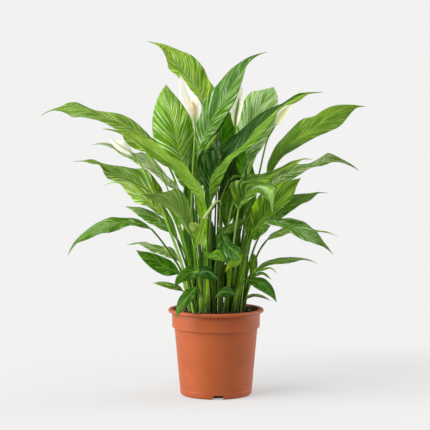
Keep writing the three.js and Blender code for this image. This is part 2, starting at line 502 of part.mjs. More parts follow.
  blade: [
    [-93.4, -48.53, 334.04, -93.24, -47.05, 334.46, -93.92, -49.72, 332.92],
    [-95.94, -49.24, 336.43, -95.59, -45.35, 337.42, -97.18, -52.15, 333.76],
    [-100.46, -50.41, 340.39, -99.96, -44.71, 341.82, -103.1, -53.24, 335.59],
    [-105.15, -51.49, 344.14, -104.73, -45.42, 345.45, -109.27, -51.62, 338.14],
    [-110.02, -52.49, 347.64, -109.58, -47.02, 349.09, -115.26, -52.49, 342.09],
    [-115.04, -53.41, 350.89, -114.5, -49.44, 352.56, -119.89, -53.41, 346.87],
    [-119.83, -54.24, 354.46, -119.41, -52.34, 355.68, -122.73, -54.24, 352.45],
    [-124.28, -55, 358.47, -124.28, -55, 358.47, -124.28, -55, 358.47],
  ],
  along: [0.06, 0.14, 0.29, 0.43, 0.57, 0.71, 0.86, 1] },
{ name: 'leaf_left_greyish', upper: -1, arch: 0.1,
  stalk: [
    [-27.2, 0.1, 107, 2.53],
    [-27.2, 0.1, 113, 2.53],
    [-27.66, -3.21, 154.28, 2.19],
    [-27.84, -4.1, 196.17, 1.95],
    [-32.08, -3.59, 237.8, 1.72],
    [-47.34, -1.07, 276.41, 1.52],
  ],
  blade: [
    [-52.15, -0.17, 280.59, -50.17, 1.76, 282.1, -53.31, -2.27, 279.01],
    [-59.3, 1.37, 286.63, -55.26, 8.42, 289.67, -62.13, -6.08, 283.72],
    [-71.71, 12.5, 296.05, -67.93, 24.97, 299.81, -77.24, 0.09, 294.23],
    [-83.84, 25.66, 305.91, -80.07, 39.07, 313.09, -89.96, 11.48, 303.33],
    [-97.36, 34.2, 314.27, -94.3, 46.94, 324.24, -101.59, 19.78, 308.95],
    [-111.83, 42.41, 321.24, -110.61, 56.18, 325.57, -114.3, 28.4, 317.82],
    [-127.25, 50.84, 326.18, -127.8, 62.97, 328.6, -129.45, 38.8, 324.52],
    [-141.35, 59.63, 334.16, -142.18, 68.1, 337.08, -143.34, 50.97, 334.4],
    [-157.08, 68.82, 338.29, -157.9, 73.05, 339.63, -157.31, 64.56, 336.93],
    [-173.73, 78.4, 336.18, -173.73, 78.4, 336.18, -173.73, 78.4, 336.18],
  ],
  along: [0.04, 0.11, 0.22, 0.33, 0.44, 0.56, 0.67, 0.78, 0.89, 1] },
{ name: 'leaf_left_big', upper: -1, arch: 0.1,
  stalk: [
    [-29.85, -6.92, 107, 2.4],
    [-29.85, -6.92, 113, 2.4],
    [-33.93, -8.24, 150.66, 2.08],
    [-40.07, -10.19, 188.89, 1.85],
    [-50.29, -11.58, 226.23, 1.64],
    [-67.46, -9.3, 260.77, 1.44],
  ],
  blade: [
    [-71.89, -7.93, 265.28, -69.57, -5.7, 268.55, -73.63, -10.71, 263.09],
    [-78.67, -6.69, 271.66, -73.35, 0.53, 279.49, -82.48, -16.49, 266.92],
    [-91.81, -5.74, 280.26, -83.84, 3.79, 295.27, -96.79, -22.24, 273.84],
    [-105.89, 2.4, 287.33, -98.54, 12.88, 306.39, -112.27, -16.26, 279.74],
    [-119.99, 7.61, 294.49, -115.89, 24.31, 307.69, -127.1, -11.34, 287.12],
    [-134.13, 9.42, 301.58, -133.13, 26.8, 311.79, -139.68, -8.18, 294.07],
    [-148.15, 11.95, 308.94, -149.12, 28.18, 312.77, -150.86, -3.56, 303.65],
    [-162.84, 15.7, 314.96, -164.62, 27.63, 316.15, -162.6, 3.68, 314.24],
    [-178.82, 20.16, 316.73, -179.31, 26.12, 317.43, -178.53, 14.16, 316.12],
    [-195.04, 25.01, 316.64, -195.04, 25.01, 316.64, -195.04, 25.01, 316.64],
  ],
  along: [0.04, 0.11, 0.22, 0.33, 0.44, 0.56, 0.67, 0.78, 0.89, 1] },
{ name: 'leaf_left_light_lower', upper: -1, arch: 0.1, light: true,
  stalk: [
    [-32.43, -18, 107, 2.02],
    [-32.43, -18, 113, 2.02],
    [-38.91, -18.06, 145.69, 1.75],
    [-46.32, -19.53, 178.89, 1.56],
    [-57.06, -21.43, 211.11, 1.38],
    [-68.47, -24.02, 243.07, 1.21],
  ],
  blade: [
    [-71.34, -24.4, 246.58, -69.8, -22.69, 248.49, -72.33, -26.38, 245.14],
    [-75.62, -25.48, 251.7, -72.05, -19.67, 256.14, -77.88, -32.42, 248.55],
    [-83.51, -28.9, 259.7, -78.49, -19.34, 267.09, -86.87, -40.51, 255.85],
    [-91.96, -32.95, 267.03, -87.68, -21.86, 276.06, -96.54, -45.43, 260.96],
    [-100.74, -31.14, 273.73, -98.82, -19.23, 282.77, -105.98, -42.11, 264.59],
    [-109.59, -26.15, 280.31, -109.59, -14.25, 287.6, -112.89, -36.06, 270.71],
    [-118.8, -23.77, 286.47, -119.33, -12.91, 290.59, -119.08, -33.08, 279.11],
    [-129.21, -20.56, 290.4, -129.61, -12.27, 291.39, -128.16, -28.55, 288.76],
    [-140.49, -15.4, 290.16, -140.71, -11.19, 290.38, -140.93, -19.56, 289.68],
    [-150.89, -10.8, 285.21, -150.89, -10.8, 285.21, -150.89, -10.8, 285.21],
  ],
  along: [0.04, 0.11, 0.22, 0.33, 0.44, 0.56, 0.67, 0.78, 0.89, 1] },
{ name: 'leaf_left_front_arching', upper: 1, arch: 0.1,
  stalk: [
    [-20.2, -28.07, 107, 2.25],
    [-20.2, -28.07, 113, 2.25],
    [-21.41, -29.4, 138.64, 1.95],
    [-22.64, -32.63, 164.96, 1.73],
    [-25.02, -34.17, 191.14, 1.53],
    [-30.74, -40.01, 216.29, 1.35],
  ],
  blade: [
    [-32.47, -43.26, 220.6, -30.62, -45.84, 221.85, -34.01, -40.59, 221.16],
    [-35.01, -47.48, 226.87, -30.43, -56.3, 230.14, -38.86, -38.23, 228.03],
    [-39.6, -55.84, 237.29, -30.64, -68.68, 244.53, -46.27, -40.86, 238.68],
    [-44.77, -68.68, 247.65, -32.11, -78.88, 259.48, -53.2, -51.76, 248.14],
    [-51.19, -79.76, 256.88, -36.73, -81.09, 272.76, -61.81, -63.34, 256.48],
    [-58.61, -89.47, 264.98, -45.95, -89.48, 283.4, -69.71, -74.95, 262.66],
    [-67.19, -98.65, 271.44, -58.65, -101.48, 285.45, -77.23, -87.02, 268.35],
    [-76.82, -107.59, 275.58, -72.72, -115.02, 282.98, -83.91, -99.15, 273.38],
    [-86.67, -116.37, 278.78, -85.68, -120.62, 282.35, -89.88, -111.93, 277.85],
    [-96.14, -125, 283.01, -96.14, -125, 283.01, -96.14, -125, 283.01],
  ],
  along: [0.04, 0.11, 0.22, 0.33, 0.44, 0.56, 0.67, 0.78, 0.89, 1] },
{ name: 'leaf_left_mid', upper: -1, arch: 0.1,
  stalk: [
    [-27.33, 13.38, 107, 1.87],
    [-27.33, 13.38, 113, 1.87],
    [-33.29, 8.94, 156.79, 1.51],
    [-41.35, 1.12, 189.04, 1.3],
    [-49.55, 0.1, 207.77, 1.19],
    [-56.97, 2.01, 219.07, 1.12],
  ],
  blade: [
    [-60.48, 3.87, 221.99, -58.6, 6.28, 223.44, -61.28, 1.07, 220.9],
    [-65.34, 6.47, 226.02, -60.96, 12.6, 229.39, -67.23, -0.8, 223.48],
    [-74.1, 11.02, 232.54, -68.59, 20.43, 237.15, -78.26, 1.25, 227.63],
    [-83.34, 15.65, 238.46, -78.05, 25.9, 243.16, -88.78, 6.56, 231.63],
    [-93.08, 20.37, 243.66, -88.48, 29.69, 248.24, -98.01, 12.71, 236.39],
    [-103.26, 25.16, 248.12, -101.37, 32.66, 251.81, -106.89, 18.97, 243.07],
    [-113.73, 30.04, 251.97, -114.02, 34.16, 253.69, -116.06, 26.7, 249.86],
    [-124.8, 35, 254.14, -124.8, 35, 254.14, -124.8, 35, 254.14],
  ],
  along: [0.06, 0.14, 0.29, 0.43, 0.57, 0.71, 0.86, 1] },
{ name: 'leaf_left_drooping', upper: -1, arch: 0.1,
  stalk: [
    [-35.21, -12.04, 107, 2.3],
    [-35.21, -12.04, 113, 2.3],
    [-41.2, -11.97, 144.74, 2],
    [-49.6, -13.99, 175.98, 1.77],
    [-66.79, -20.3, 202.78, 1.57],
    [-85.84, -27.99, 227.94, 1.38],
  ],
  blade: [
    [-90.97, -30.91, 230.95, -88.83, -28.79, 231.83, -91.63, -33.2, 229.37],
    [-98.71, -35.03, 234.87, -94.71, -27.49, 237.22, -99.85, -43.16, 231.91],
    [-112.54, -41.48, 238.81, -109.71, -28.47, 243.44, -112.73, -55.11, 235.35],
    [-126.72, -47.33, 238.93, -124.69, -32.3, 244.22, -125.03, -62.24, 232.75],
    [-140.75, -52.59, 237.13, -140.01, -38.32, 245.74, -138.73, -67.03, 229.13],
    [-154.4, -57.26, 233.69, -153.85, -43.57, 240.37, -151.05, -70.62, 227.12],
    [-166.98, -61.33, 227.42, -167.29, -49.28, 231.68, -165.21, -71.24, 218.66],
    [-178.49, -64.81, 219.32, -180.55, -56.06, 221.97, -177.21, -73, 215.32],
    [-188.72, -67.7, 209.62, -190.06, -63.27, 210.58, -186.75, -72.11, 209.97],
    [-195.54, -70, 197.28, -195.54, -70, 197.28, -195.54, -70, 197.28],
  ],
  along: [0.04, 0.11, 0.22, 0.33, 0.44, 0.56, 0.67, 0.78, 0.89, 1] },
{ name: 'leaf_left_low_grey', upper: -1, arch: 0.1,
  stalk: [
    [-31.57, 26.04, 107, 2.01],
    [-31.57, 26.04, 113, 2.01],
    [-34.63, 23.59, 135.55, 1.68],
    [-39.52, 15.38, 158.43, 1.43],
    [-49.04, 10.4, 179.98, 1.21],
  ],
  blade: [
    [-51.69, 12.9, 182.24, -50.9, 14.37, 184.13, -52.03, 11.09, 181.27],
    [-55.6, 16.73, 185.56, -53.65, 21.62, 190.13, -56.4, 10.49, 183.35],
    [-62.9, 23.34, 190.28, -60.07, 31.76, 197.12, -64.71, 13.62, 185.72],
    [-71.27, 30, 193.22, -69.03, 40.57, 199.66, -73.83, 19.17, 187.36],
    [-80.25, 36.67, 194.56, -79.26, 48.16, 199.94, -82.67, 25.22, 189.63],
    [-89.14, 43.33, 196.38, -89.46, 54.75, 199.1, -91.56, 32.15, 193.68],
    [-97.68, 50, 199.34, -98.04, 59.79, 200.96, -99.01, 40.39, 197.32],
    [-106.7, 56.67, 200.92, -106.97, 63.78, 201.61, -106.57, 49.56, 200.31],
    [-116.02, 63.33, 199.63, -116.17, 66.89, 200.14, -115.87, 59.78, 199.12],
    [-125.22, 70, 196.92, -125.22, 70, 196.92, -125.22, 70, 196.92],
  ],
  along: [0.04, 0.11, 0.22, 0.33, 0.44, 0.56, 0.67, 0.78, 0.89, 1] },
{ name: 'leaf_left_low_big', upper: -1, arch: 0.1,
  stalk: [
    [-35.33, -2.14, 107, 1.74],
    [-35.33, -2.14, 113, 1.74],
    [-36.55, -2.17, 135.01, 1.41],
    [-39.18, -3.15, 151.58, 1.22],
    [-43.12, -5.66, 160.54, 1.11],
    [-47.4, -7.3, 165.55, 1.04],
  ],
  blade: [
    [-56.43, -7.7, 169.54, -52.85, -5.38, 175.8, -57.49, -11.78, 163.82],
    [-65.33, -7.33, 173.78, -61.08, -3.9, 183.19, -67.43, -10.27, 163.56],
    [-73.89, -6.53, 178.63, -70.46, -1.28, 187.85, -77.93, -6.54, 166.94],
    [-82.23, -5.39, 183.84, -79.97, 0.87, 191.13, -87.77, -5.39, 173.26],
    [-90.64, -3.92, 188.93, -89.42, 1.29, 194.15, -95.42, -3.92, 180.05],
    [-99.4, -2.12, 193.42, -99.41, 0.99, 195.6, -102.37, -2.12, 187.93],
    [-108.51, 0, 197.19, -108.51, 0, 197.19, -108.51, 0, 197.19],
  ],
  along: [0.14, 0.29, 0.43, 0.57, 0.71, 0.86, 1] },
{ name: 'leaf_low_left_small', upper: -1, arch: 0.1,
  stalk: [
    [-36.87, 11.83, 107, 1.61],
    [-36.87, 11.83, 113, 1.61],
    [-38.2, 11.45, 123.13, 1.3],
    [-40.08, 11.37, 131.31, 1.13],
    [-41.99, 12.32, 135.85, 1.03],
    [-43.7, 13.69, 138.42, 0.97],
  ],
  blade: [
    [-45.76, 15.4, 140.01, -45.31, 17.06, 140.73, -46.68, 13.9, 139.14],
    [-48.63, 17.73, 142.18, -47.6, 22.04, 143.84, -50.78, 13.89, 140.17],
    [-54.52, 21.75, 144.45, -53.1, 28.03, 146.91, -57.37, 16.22, 141.19],
    [-60.85, 25.88, 145.62, -59.66, 32.53, 148.31, -63.45, 20.02, 141.9],
    [-67.28, 30.16, 146.49, -67.06, 36.03, 149.61, -69.44, 24.79, 143.08],
    [-73.75, 34.61, 147.26, -73.96, 38.99, 149.87, -75.46, 30.58, 144.56],
    [-80.31, 39.22, 147.63, -80.37, 41.56, 148.89, -81.38, 37.25, 146.07],
    [-86.96, 44, 147.2, -86.96, 44, 147.2, -86.96, 44, 147.2],
  ],
  along: [0.06, 0.14, 0.29, 0.43, 0.57, 0.71, 0.86, 1] },
{ name: 'leaf_over_rim_left', upper: -1, arch: 0.1,
  stalk: [
    [-26.82, -39.69, 107, 1.64],
    [-26.82, -39.69, 113, 1.64],
    [-24.83, -42.45, 130.89, 1.32],
    [-23.01, -45.37, 144.99, 1.15],
    [-23.26, -49.2, 152.68, 1.05],
    [-25.31, -54.02, 154.81, 0.98],
  ],
  blade: [
    [-30.22, -61.14, 150.17, -32.83, -57.64, 153.71, -23.81, -61.16, 149.76],
    [-35.16, -67.14, 145.45, -39.68, -62.76, 150.84, -25.9, -67.14, 143.79],
    [-39.9, -72, 140.44, -45.58, -67.53, 145.48, -31.01, -72.76, 137.59],
    [-44.19, -75.71, 134.95, -50.23, -71.14, 137.73, -37.5, -79.27, 132.09],
    [-48.2, -78.28, 129.11, -52.45, -74, 129.81, -43.38, -81.1, 126.46],
    [-51.02, -79.71, 122.5, -53.13, -77.3, 122.44, -48.48, -80.97, 120.9],
    [-53.08, -80, 115.44, -53.08, -80, 115.44, -53.08, -80, 115.44],
  ],
  along: [0.14, 0.29, 0.43, 0.57, 0.71, 0.86, 1] },
{ name: 'leaf_low_center_left', upper: -1, arch: 0.1,
  stalk: [
    [-14.84, -23.38, 107, 1.58],
    [-14.84, -23.38, 113, 1.58],
    [-12.5, -25.91, 137.34, 1.27],
    [-11.09, -26.57, 156.82, 1.1],
    [-14.19, -26.52, 167.99, 1.01],
    [-18.78, -33.96, 172.63, 0.95],
  ],
  blade: [
    [-25.43, -41.61, 172.97, -22.97, -38.79, 177.88, -22.97, -43.28, 167.36],
    [-32.14, -39.03, 171.85, -30.66, -35.29, 179.81, -30.31, -39.16, 162.35],
    [-38.47, -40.78, 169.89, -38.74, -37.39, 178.8, -37.13, -43.35, 160.78],
    [-44.11, -43.45, 166.6, -45.94, -40.53, 174.59, -42.89, -48.36, 160.02],
    [-48.74, -46.29, 162.1, -52.1, -44.65, 167.71, -48.58, -50.54, 157.54],
    [-52.51, -49.14, 156.89, -54.61, -48.89, 159.82, -52.56, -51.43, 154.58],
    [-55.97, -52, 151.48, -55.97, -52, 151.48, -55.97, -52, 151.48],
  ],
  along: [0.14, 0.29, 0.43, 0.57, 0.71, 0.86, 1] },
{ name: 'leaf_low_center', upper: 1, arch: 0.1,
  stalk: [
    [-10.74, -38.18, 107, 1.5],
    [-10.74, -38.18, 113, 1.5],
    [-17.98, -37.86, 136.32, 1.21],
    [-24.71, -40.07, 153.73, 1.05],
    [-26.04, -45.27, 163.63, 0.96],
    [-24.03, -47.66, 170.15, 0.9],
  ],
  blade: [
    [-19.95, -50.19, 172.72, -20.93, -45.91, 175.47, -19.94, -51.54, 167.26],
    [-15.52, -53.68, 174.51, -16.84, -48.21, 179.71, -15.56, -53.68, 164.99],
    [-10.91, -55.7, 174.47, -11.62, -50.55, 180.85, -10.93, -55.7, 164.16],
    [-6.6, -58.24, 173.05, -6.81, -53.13, 178.37, -5.64, -58.24, 163.77],
    [-2.8, -61.81, 170.8, -2.77, -57.54, 174.37, -1.54, -61.81, 164.02],
    [0.6, -65.8, 168.11, 0.63, -63.51, 169.88, 1.28, -65.8, 164.67],
    [3.93, -70, 165.38, 3.93, -70, 165.38, 3.93, -70, 165.38],
  ],
  along: [0.14, 0.29, 0.43, 0.57, 0.71, 0.86, 1] },
{ name: 'leaf_center_small_left', upper: -1, arch: 0.1,
  stalk: [
    [10.72, -35.2, 107, 1.56],
    [10.72, -35.2, 113, 1.56],
    [15.42, -38.31, 141.01, 1.26],
    [19.73, -41.82, 162.58, 1.09],
    [19.82, -44.97, 175.53, 0.99],
    [17.3, -47.39, 183.53, 0.93],
  ],
  blade: [
    [12.79, -50.26, 187.92, 15.07, -50.22, 193.39, 12.14, -54.79, 186.39],
    [8.09, -56.34, 192.4, 12.04, -56.34, 202.31, 6.77, -62.43, 189.11],
    [2.73, -60.39, 195.56, 5.12, -60.08, 204.59, 0.38, -65.49, 190.3],
    [-3.18, -63.37, 196.54, -2.47, -59.34, 202.18, -5.79, -68.01, 191.99],
    [-9.12, -65.92, 196.81, -9.11, -61.46, 199.36, -11.11, -70.34, 194.95],
    [-14.05, -68.12, 200.4, -14.14, -65.64, 201.46, -15.08, -70.54, 199.64],
    [-18.53, -70, 204.58, -18.53, -70, 204.58, -18.53, -70, 204.58],
  ],
  along: [0.14, 0.29, 0.43, 0.57, 0.71, 0.86, 1] },
{ name: 'leaf_center_dark_drooping', upper: -1, arch: 0.1,
  stalk: [
    [5.34, -38.96, 107, 1.68],
    [5.34, -38.96, 113, 1.68],
    [4.03, -34.28, 163.31, 1.36],
    [2.92, -31.49, 201.76, 1.18],
    [3.57, -35.37, 224.37, 1.07],
    [6.62, -48.23, 229.11, 1.01],
  ],
  blade: [
    [8.06, -54.32, 222.92, 2.53, -59.35, 222.71, 12.58, -48.72, 224.29],
    [10.45, -60.57, 217.08, 1.04, -66.17, 215.57, 17.84, -52.9, 218.97],
    [14.21, -66.86, 211.96, 3.63, -70.02, 207.82, 22.15, -58.85, 213.14],
    [18.65, -73.14, 207.4, 9.59, -73.17, 199.26, 28.32, -70.2, 210.96],
    [23.41, -79.43, 203.18, 16.34, -79.43, 194.4, 32.17, -79.43, 207.71],
    [28.04, -85.71, 198.89, 23.25, -85.71, 193.47, 32.76, -85.71, 201.92],
    [31.39, -92, 193.66, 31.39, -92, 193.66, 31.39, -92, 193.66],
  ],
  along: [0.14, 0.29, 0.43, 0.57, 0.71, 0.86, 1] },
{ name: 'leaf_center_yellow_tipped', upper: 1, arch: 0.1,
  stalk: [
    [21.49, -31.16, 107, 1.47],
    [21.49, -31.16, 113, 1.47],
    [30.08, -32.6, 148.6, 1.19],
    [38.68, -33.3, 175.41, 1.03],
    [41.92, -35.18, 191.79, 0.94],
    [36.04, -41.14, 196.28, 0.88],
  ],
  blade: [
    [32.74, -42.54, 192.64, 32.13, -45.81, 195.15, 34.94, -39.61, 190.67],
    [29.27, -44.86, 189.25, 27.86, -48.95, 193.71, 33.32, -41.94, 185.56],
    [25.05, -48.2, 186.93, 21.35, -51.42, 191.44, 29.21, -48.04, 181.35],
    [20.68, -52.87, 184.95, 17.26, -56.13, 188.6, 23.96, -51.8, 180],
    [17.03, -54.39, 181.78, 14.8, -57.42, 184.22, 19.27, -51.79, 178.8],
    [14.4, -54.55, 177.55, 13.17, -56.16, 178.73, 15.64, -52.91, 176.45],
    [11.93, -56.17, 173.39, 11.93, -56.17, 173.39, 11.93, -56.17, 173.39],
  ],
  along: [0.14, 0.29, 0.43, 0.57, 0.71, 0.86, 1] },
{ name: 'leaf_low_front', upper: 1, arch: 0.1,
  stalk: [
    [-2.7, -44, 107, 1.45],
    [-2.7, -44, 113, 1.45],
    [-3.17, -45.61, 122.77, 1.17],
    [-3.29, -47.57, 130.71, 1.02],
    [-2.53, -49, 135.34, 0.93],
    [-1.36, -50, 138.22, 0.87],
  ],
  blade: [
    [0.02, -50.72, 139.79, -0.46, -49.17, 140.29, 0.16, -52.15, 138.8],
    [1.89, -51.71, 141.99, 0.67, -47.69, 143.13, 2.21, -55.33, 139.65],
    [5.43, -53.43, 145.43, 3.46, -48.07, 148.2, 6.1, -57.53, 140.51],
    [9.86, -55.14, 147.37, 9.2, -51.09, 152.91, 11.04, -56.11, 140],
    [14.63, -56.86, 147.67, 15.25, -55.68, 154.26, 16.06, -56.86, 140.28],
    [19.29, -58.57, 146.86, 20.59, -58.57, 152.45, 20.66, -58.57, 141.21],
    [23.65, -60.29, 145.15, 24.52, -60.28, 148.24, 24.44, -60.29, 142.14],
    [27.84, -62, 143.08, 27.84, -62, 143.08, 27.84, -62, 143.08],
  ],
  along: [0.06, 0.14, 0.29, 0.43, 0.57, 0.71, 0.86, 1] },
{ name: 'leaf_center_dark_tip', upper: 1, arch: 0.1,
  stalk: [
    [-2.73, 18, 107, 1.77],
    [-2.73, 18, 113, 1.77],
    [-2.02, 15.9, 193.75, 1.43],
    [-0.51, 13.75, 255.03, 1.24],
    [1.7, 13.5, 291.76, 1.13],
    [4.07, 14, 316.17, 1.06],
  ],
  blade: [
    [4.73, 14.32, 320.33, 2.54, 16.42, 320.59, 6.9, 12.21, 320.11],
    [5.6, 15.07, 326.06, 0.35, 20.23, 326.7, 10.84, 9.9, 325.53],
    [7.69, 17.79, 335.77, -1.61, 23.7, 336.93, 16.89, 11.85, 334.34],
    [10.73, 23.12, 345.12, -0.15, 27.97, 346.27, 21.54, 18.92, 342.63],
    [13.72, 23.87, 354.72, 4.36, 29, 355.82, 25.07, 23.73, 351.85],
    [16.18, 25.87, 364.41, 9.47, 30.16, 365.94, 25.67, 25.87, 362.11],
    [17.97, 29.87, 374.19, 14.4, 31.51, 376.04, 23.39, 29.87, 373],
    [19.13, 35.01, 384.06, 19.13, 35.01, 384.06, 19.13, 35.01, 384.06],
  ],
  along: [0.06, 0.14, 0.29, 0.43, 0.57, 0.71, 0.86, 1] },
{ name: 'leaf_center_under_fold', upper: 1, arch: 0.1,
  stalk: [
    [6.78, -6, 107, 1.67],
    [6.78, -6, 113, 1.67],
    [9.23, -8.69, 158.18, 1.35],
    [11.86, -11.95, 192.68, 1.16],
    [13.06, -14.6, 213.32, 1.06],
    [13.52, -4.57, 225.12, 1],
  ],
  blade: [
    [13.54, 2.47, 228.11, 11.83, 4.63, 227.88, 15.77, 0.58, 228.28],
    [13.5, 0.43, 233.3, 9.4, 5.92, 232.72, 18.81, -4.12, 233.71],
    [13.65, -3.53, 242.28, 6.66, 3.81, 241.99, 23.52, -7.02, 242.57],
    [14.18, -6.85, 251.15, 6.09, 0.17, 251.93, 27.01, -6.87, 251.15],
    [15.04, -6.64, 259.69, 6.19, -2, 260.68, 27.91, -6.64, 259.64],
    [16.35, -4.98, 268.07, 8.36, -4.54, 269.79, 26.48, -4.98, 268.4],
    [18.14, -2.68, 276.31, 13.24, -2.68, 278.06, 23.43, -2.68, 276.92],
    [20.28, 0, 284.46, 20.28, 0, 284.46, 20.28, 0, 284.46],
  ],
  along: [0.06, 0.14, 0.29, 0.43, 0.57, 0.71, 0.86, 1] },
{ name: 'leaf_center_horizontal', upper: 1, arch: 0.1,
  stalk: [
    [-2.71, -23.19, 107, 1.65],
    [-2.71, -23.19, 113, 1.65],
    [-2.01, -23.46, 150.18, 1.33],
    [-0.74, -24.76, 178.65, 1.15],
    [0.93, -25.78, 195.65, 1.05],
    [2.67, -26.2, 206.87, 0.99],
  ],
  blade: [
    [3.51, -26.11, 210.24, 1.75, -24.6, 211.12, 5.55, -27.45, 209.42],
    [4.78, -26.79, 214.93, 0.69, -23.03, 216.95, 9.49, -29.97, 212.98],
    [8.74, -28.55, 222.32, 2.44, -23.39, 225.16, 15.33, -32.35, 217.95],
    [14.91, -27, 227.54, 8.07, -21.59, 230.18, 21.01, -31.47, 222.42],
    [21.85, -26.92, 231.99, 15.26, -22.08, 233.63, 26.66, -31.27, 226.91],
    [28.76, -30.55, 236.71, 23.45, -27.32, 238.16, 32.45, -32.71, 231.87],
    [36.18, -34.51, 240.45, 33.98, -34.17, 243.39, 38.5, -34.58, 237.57],
    [44.05, -37.35, 242.87, 44.05, -37.35, 242.87, 44.05, -37.35, 242.87],
  ],
  along: [0.06, 0.14, 0.29, 0.43, 0.57, 0.71, 0.86, 1] },
{ name: 'leaf_center_lit_small', upper: 1, arch: 0.1, light: true,
  stalk: [
    [-17.42, -42.07, 107, 1.53],
    [-17.42, -42.07, 113, 1.53],
    [-15.58, -43.08, 148.94, 1.24],
    [-13.96, -44.63, 176.6, 1.07],
    [-13.92, -47.34, 193.01, 0.98],
    [-14.67, -49.72, 203.86, 0.92],
  ],
  blade: [
    [-15.11, -50.48, 206.39, -13.8, -51.96, 206.85, -16.6, -49.35, 205.17],
    [-15.69, -51.47, 209.89, -12.53, -55.16, 210.98, -19.27, -49.03, 206.98],
    [-17.61, -53.19, 215.64, -12.47, -57.95, 218.03, -23.59, -52.16, 210.97],
    [-20.73, -55.14, 220.85, -15.39, -59.34, 224.99, -27.33, -55.14, 215.57],
    [-23.62, -57.79, 226.25, -18.52, -59.3, 231.26, -30.12, -57.79, 221.06],
    [-26.75, -62.16, 231.63, -22.3, -62.16, 237.05, -32.43, -62.16, 227.28],
    [-30.69, -68.55, 236.5, -27.53, -68.55, 241.22, -34.47, -68.55, 233.99],
    [-35.63, -72.15, 239.9, -35.63, -72.15, 239.9, -35.63, -72.15, 239.9],
  ],
  along: [0.06, 0.14, 0.29, 0.43, 0.57, 0.71, 0.86, 1] },
{ name: 'leaf_center_hanging_stalk', upper: 1, arch: 0.1,
  stalk: [
    [-6.76, -19.21, 107, 1.52],
    [-6.76, -19.21, 113, 1.52],
    [-11.64, -18.89, 195.2, 1.23],
    [-5.89, -19.11, 254.77, 1.06],
    [11.87, -14.53, 286.62, 0.97],
    [33.65, -11.08, 296.03, 0.91],
  ],
  blade: [
    [34, -7.95, 301.81, 30.52, -11.43, 301.43, 37.44, -4.38, 301.59],
    [34.24, -3.78, 307.55, 28.23, -7.97, 307.36, 39.74, 0.99, 307.22],
    [34.46, -1.1, 313.39, 26.93, -3.51, 313.54, 40.93, 3.19, 313.16],
    [34.81, 0.97, 319.27, 26.51, 0.96, 319.3, 42.02, 2.26, 319.68],
    [35.29, 2.82, 325.16, 28.18, 2.82, 325.16, 41.54, 2.82, 325.81],
    [35.9, 4.49, 331.05, 32.16, 4.49, 331.05, 39.2, 4.49, 331.41],
    [36.54, 6, 336.95, 36.54, 6, 336.95, 36.54, 6, 336.95],
  ],
  along: [0.14, 0.29, 0.43, 0.57, 0.71, 0.86, 1] },
{ name: 'leaf_center_right_small', upper: 1, arch: 0.1,
  stalk: [
    [27.28, 8, 107, 1.5],
    [27.28, 8, 113, 1.5],
    [30.92, 1.7, 154.11, 1.21],
    [36.08, -4.04, 185.24, 1.05],
    [41.3, -4.53, 203.73, 0.96],
    [46.05, -2.16, 215.38, 0.9],
  ],
  blade: [
    [47.15, -1.26, 217.06, 46.54, 0.72, 217.91, 47.29, -1.6, 214.17],
    [48.61, -0.27, 219.43, 47.07, 4.85, 221.49, 48.95, -0.29, 212.29],
    [51.54, 0.38, 223.33, 48.97, 7.32, 227.47, 52.24, 0.38, 210.4],
    [55.74, 0.39, 225.82, 54.77, 7.69, 230.81, 56.82, 0.39, 213.35],
    [60.56, 5.33, 226.79, 61.35, 11.61, 232.01, 62.49, 5.27, 217.24],
    [65.56, 12.01, 227.09, 67.01, 16.25, 231.68, 68.21, 10.01, 221.27],
    [70.34, 16.26, 228.33, 71.19, 18.4, 230.78, 71.83, 14.94, 225.48],
    [75.08, 19.99, 229.73, 75.08, 19.99, 229.73, 75.08, 19.99, 229.73],
  ],
  along: [0.06, 0.14, 0.29, 0.43, 0.57, 0.71, 0.86, 1] },
{ name: 'leaf_back_left', upper: 1, arch: 0.1,
  stalk: [
    [-13.73, 28, 107, 2.34],
    [-13.73, 28, 113, 2.34],
    [-16.56, 27.43, 152.21, 2.03],
    [-20.92, 25.82, 192.28, 1.8],
    [-26.87, 28.67, 231.99, 1.6],
    [-34.39, 45, 267.57, 1.41],
  ],
  blade: [
    [-35.82, 51.01, 271.21, -37.92, 48.19, 270.64, -33.31, 53.76, 270.98],
    [-37.92, 59.62, 276.62, -43.12, 49.92, 275.33, -31.64, 69.01, 275.86],
    [-41.48, 73.52, 285.82, -50.78, 58.05, 284.11, -30.83, 88.58, 285.05],
    [-45.06, 86.66, 295.16, -56.77, 69.36, 294.56, -33.01, 103.87, 295.3],
    [-48.64, 99.07, 304.65, -61.83, 82.12, 304.86, -35.38, 116.03, 305.15],
    [-52.29, 110.74, 314.24, -66.01, 95.87, 315.14, -38.42, 125.57, 314.84],
    [-56.24, 121.66, 323.86, -69.4, 110.43, 325.42, -42.97, 132.87, 324.69],
    [-59.89, 131.85, 333.68, -71.22, 126.13, 336.13, -48.51, 137.77, 334.89],
    [-63.01, 141.29, 343.78, -70.39, 140.99, 346.4, -55.62, 141.65, 345.03],
    [-65.51, 150, 354.13, -65.51, 150, 354.13, -65.51, 150, 354.13],
  ],
  along: [0.04, 0.11, 0.22, 0.33, 0.44, 0.56, 0.67, 0.78, 0.89, 1] },
{ name: 'leaf_back_center', upper: 1, arch: 0.1,
  stalk: [
    [0.02, 32, 107, 2.41],
    [0.02, 32, 113, 2.41],
    [-1.65, 31.74, 151.83, 2.09],
    [-4.34, 30.64, 191.6, 1.86],
    [-7.09, 33.93, 231.17, 1.64],
    [-8.25, 50, 267.2, 1.45],
  ],
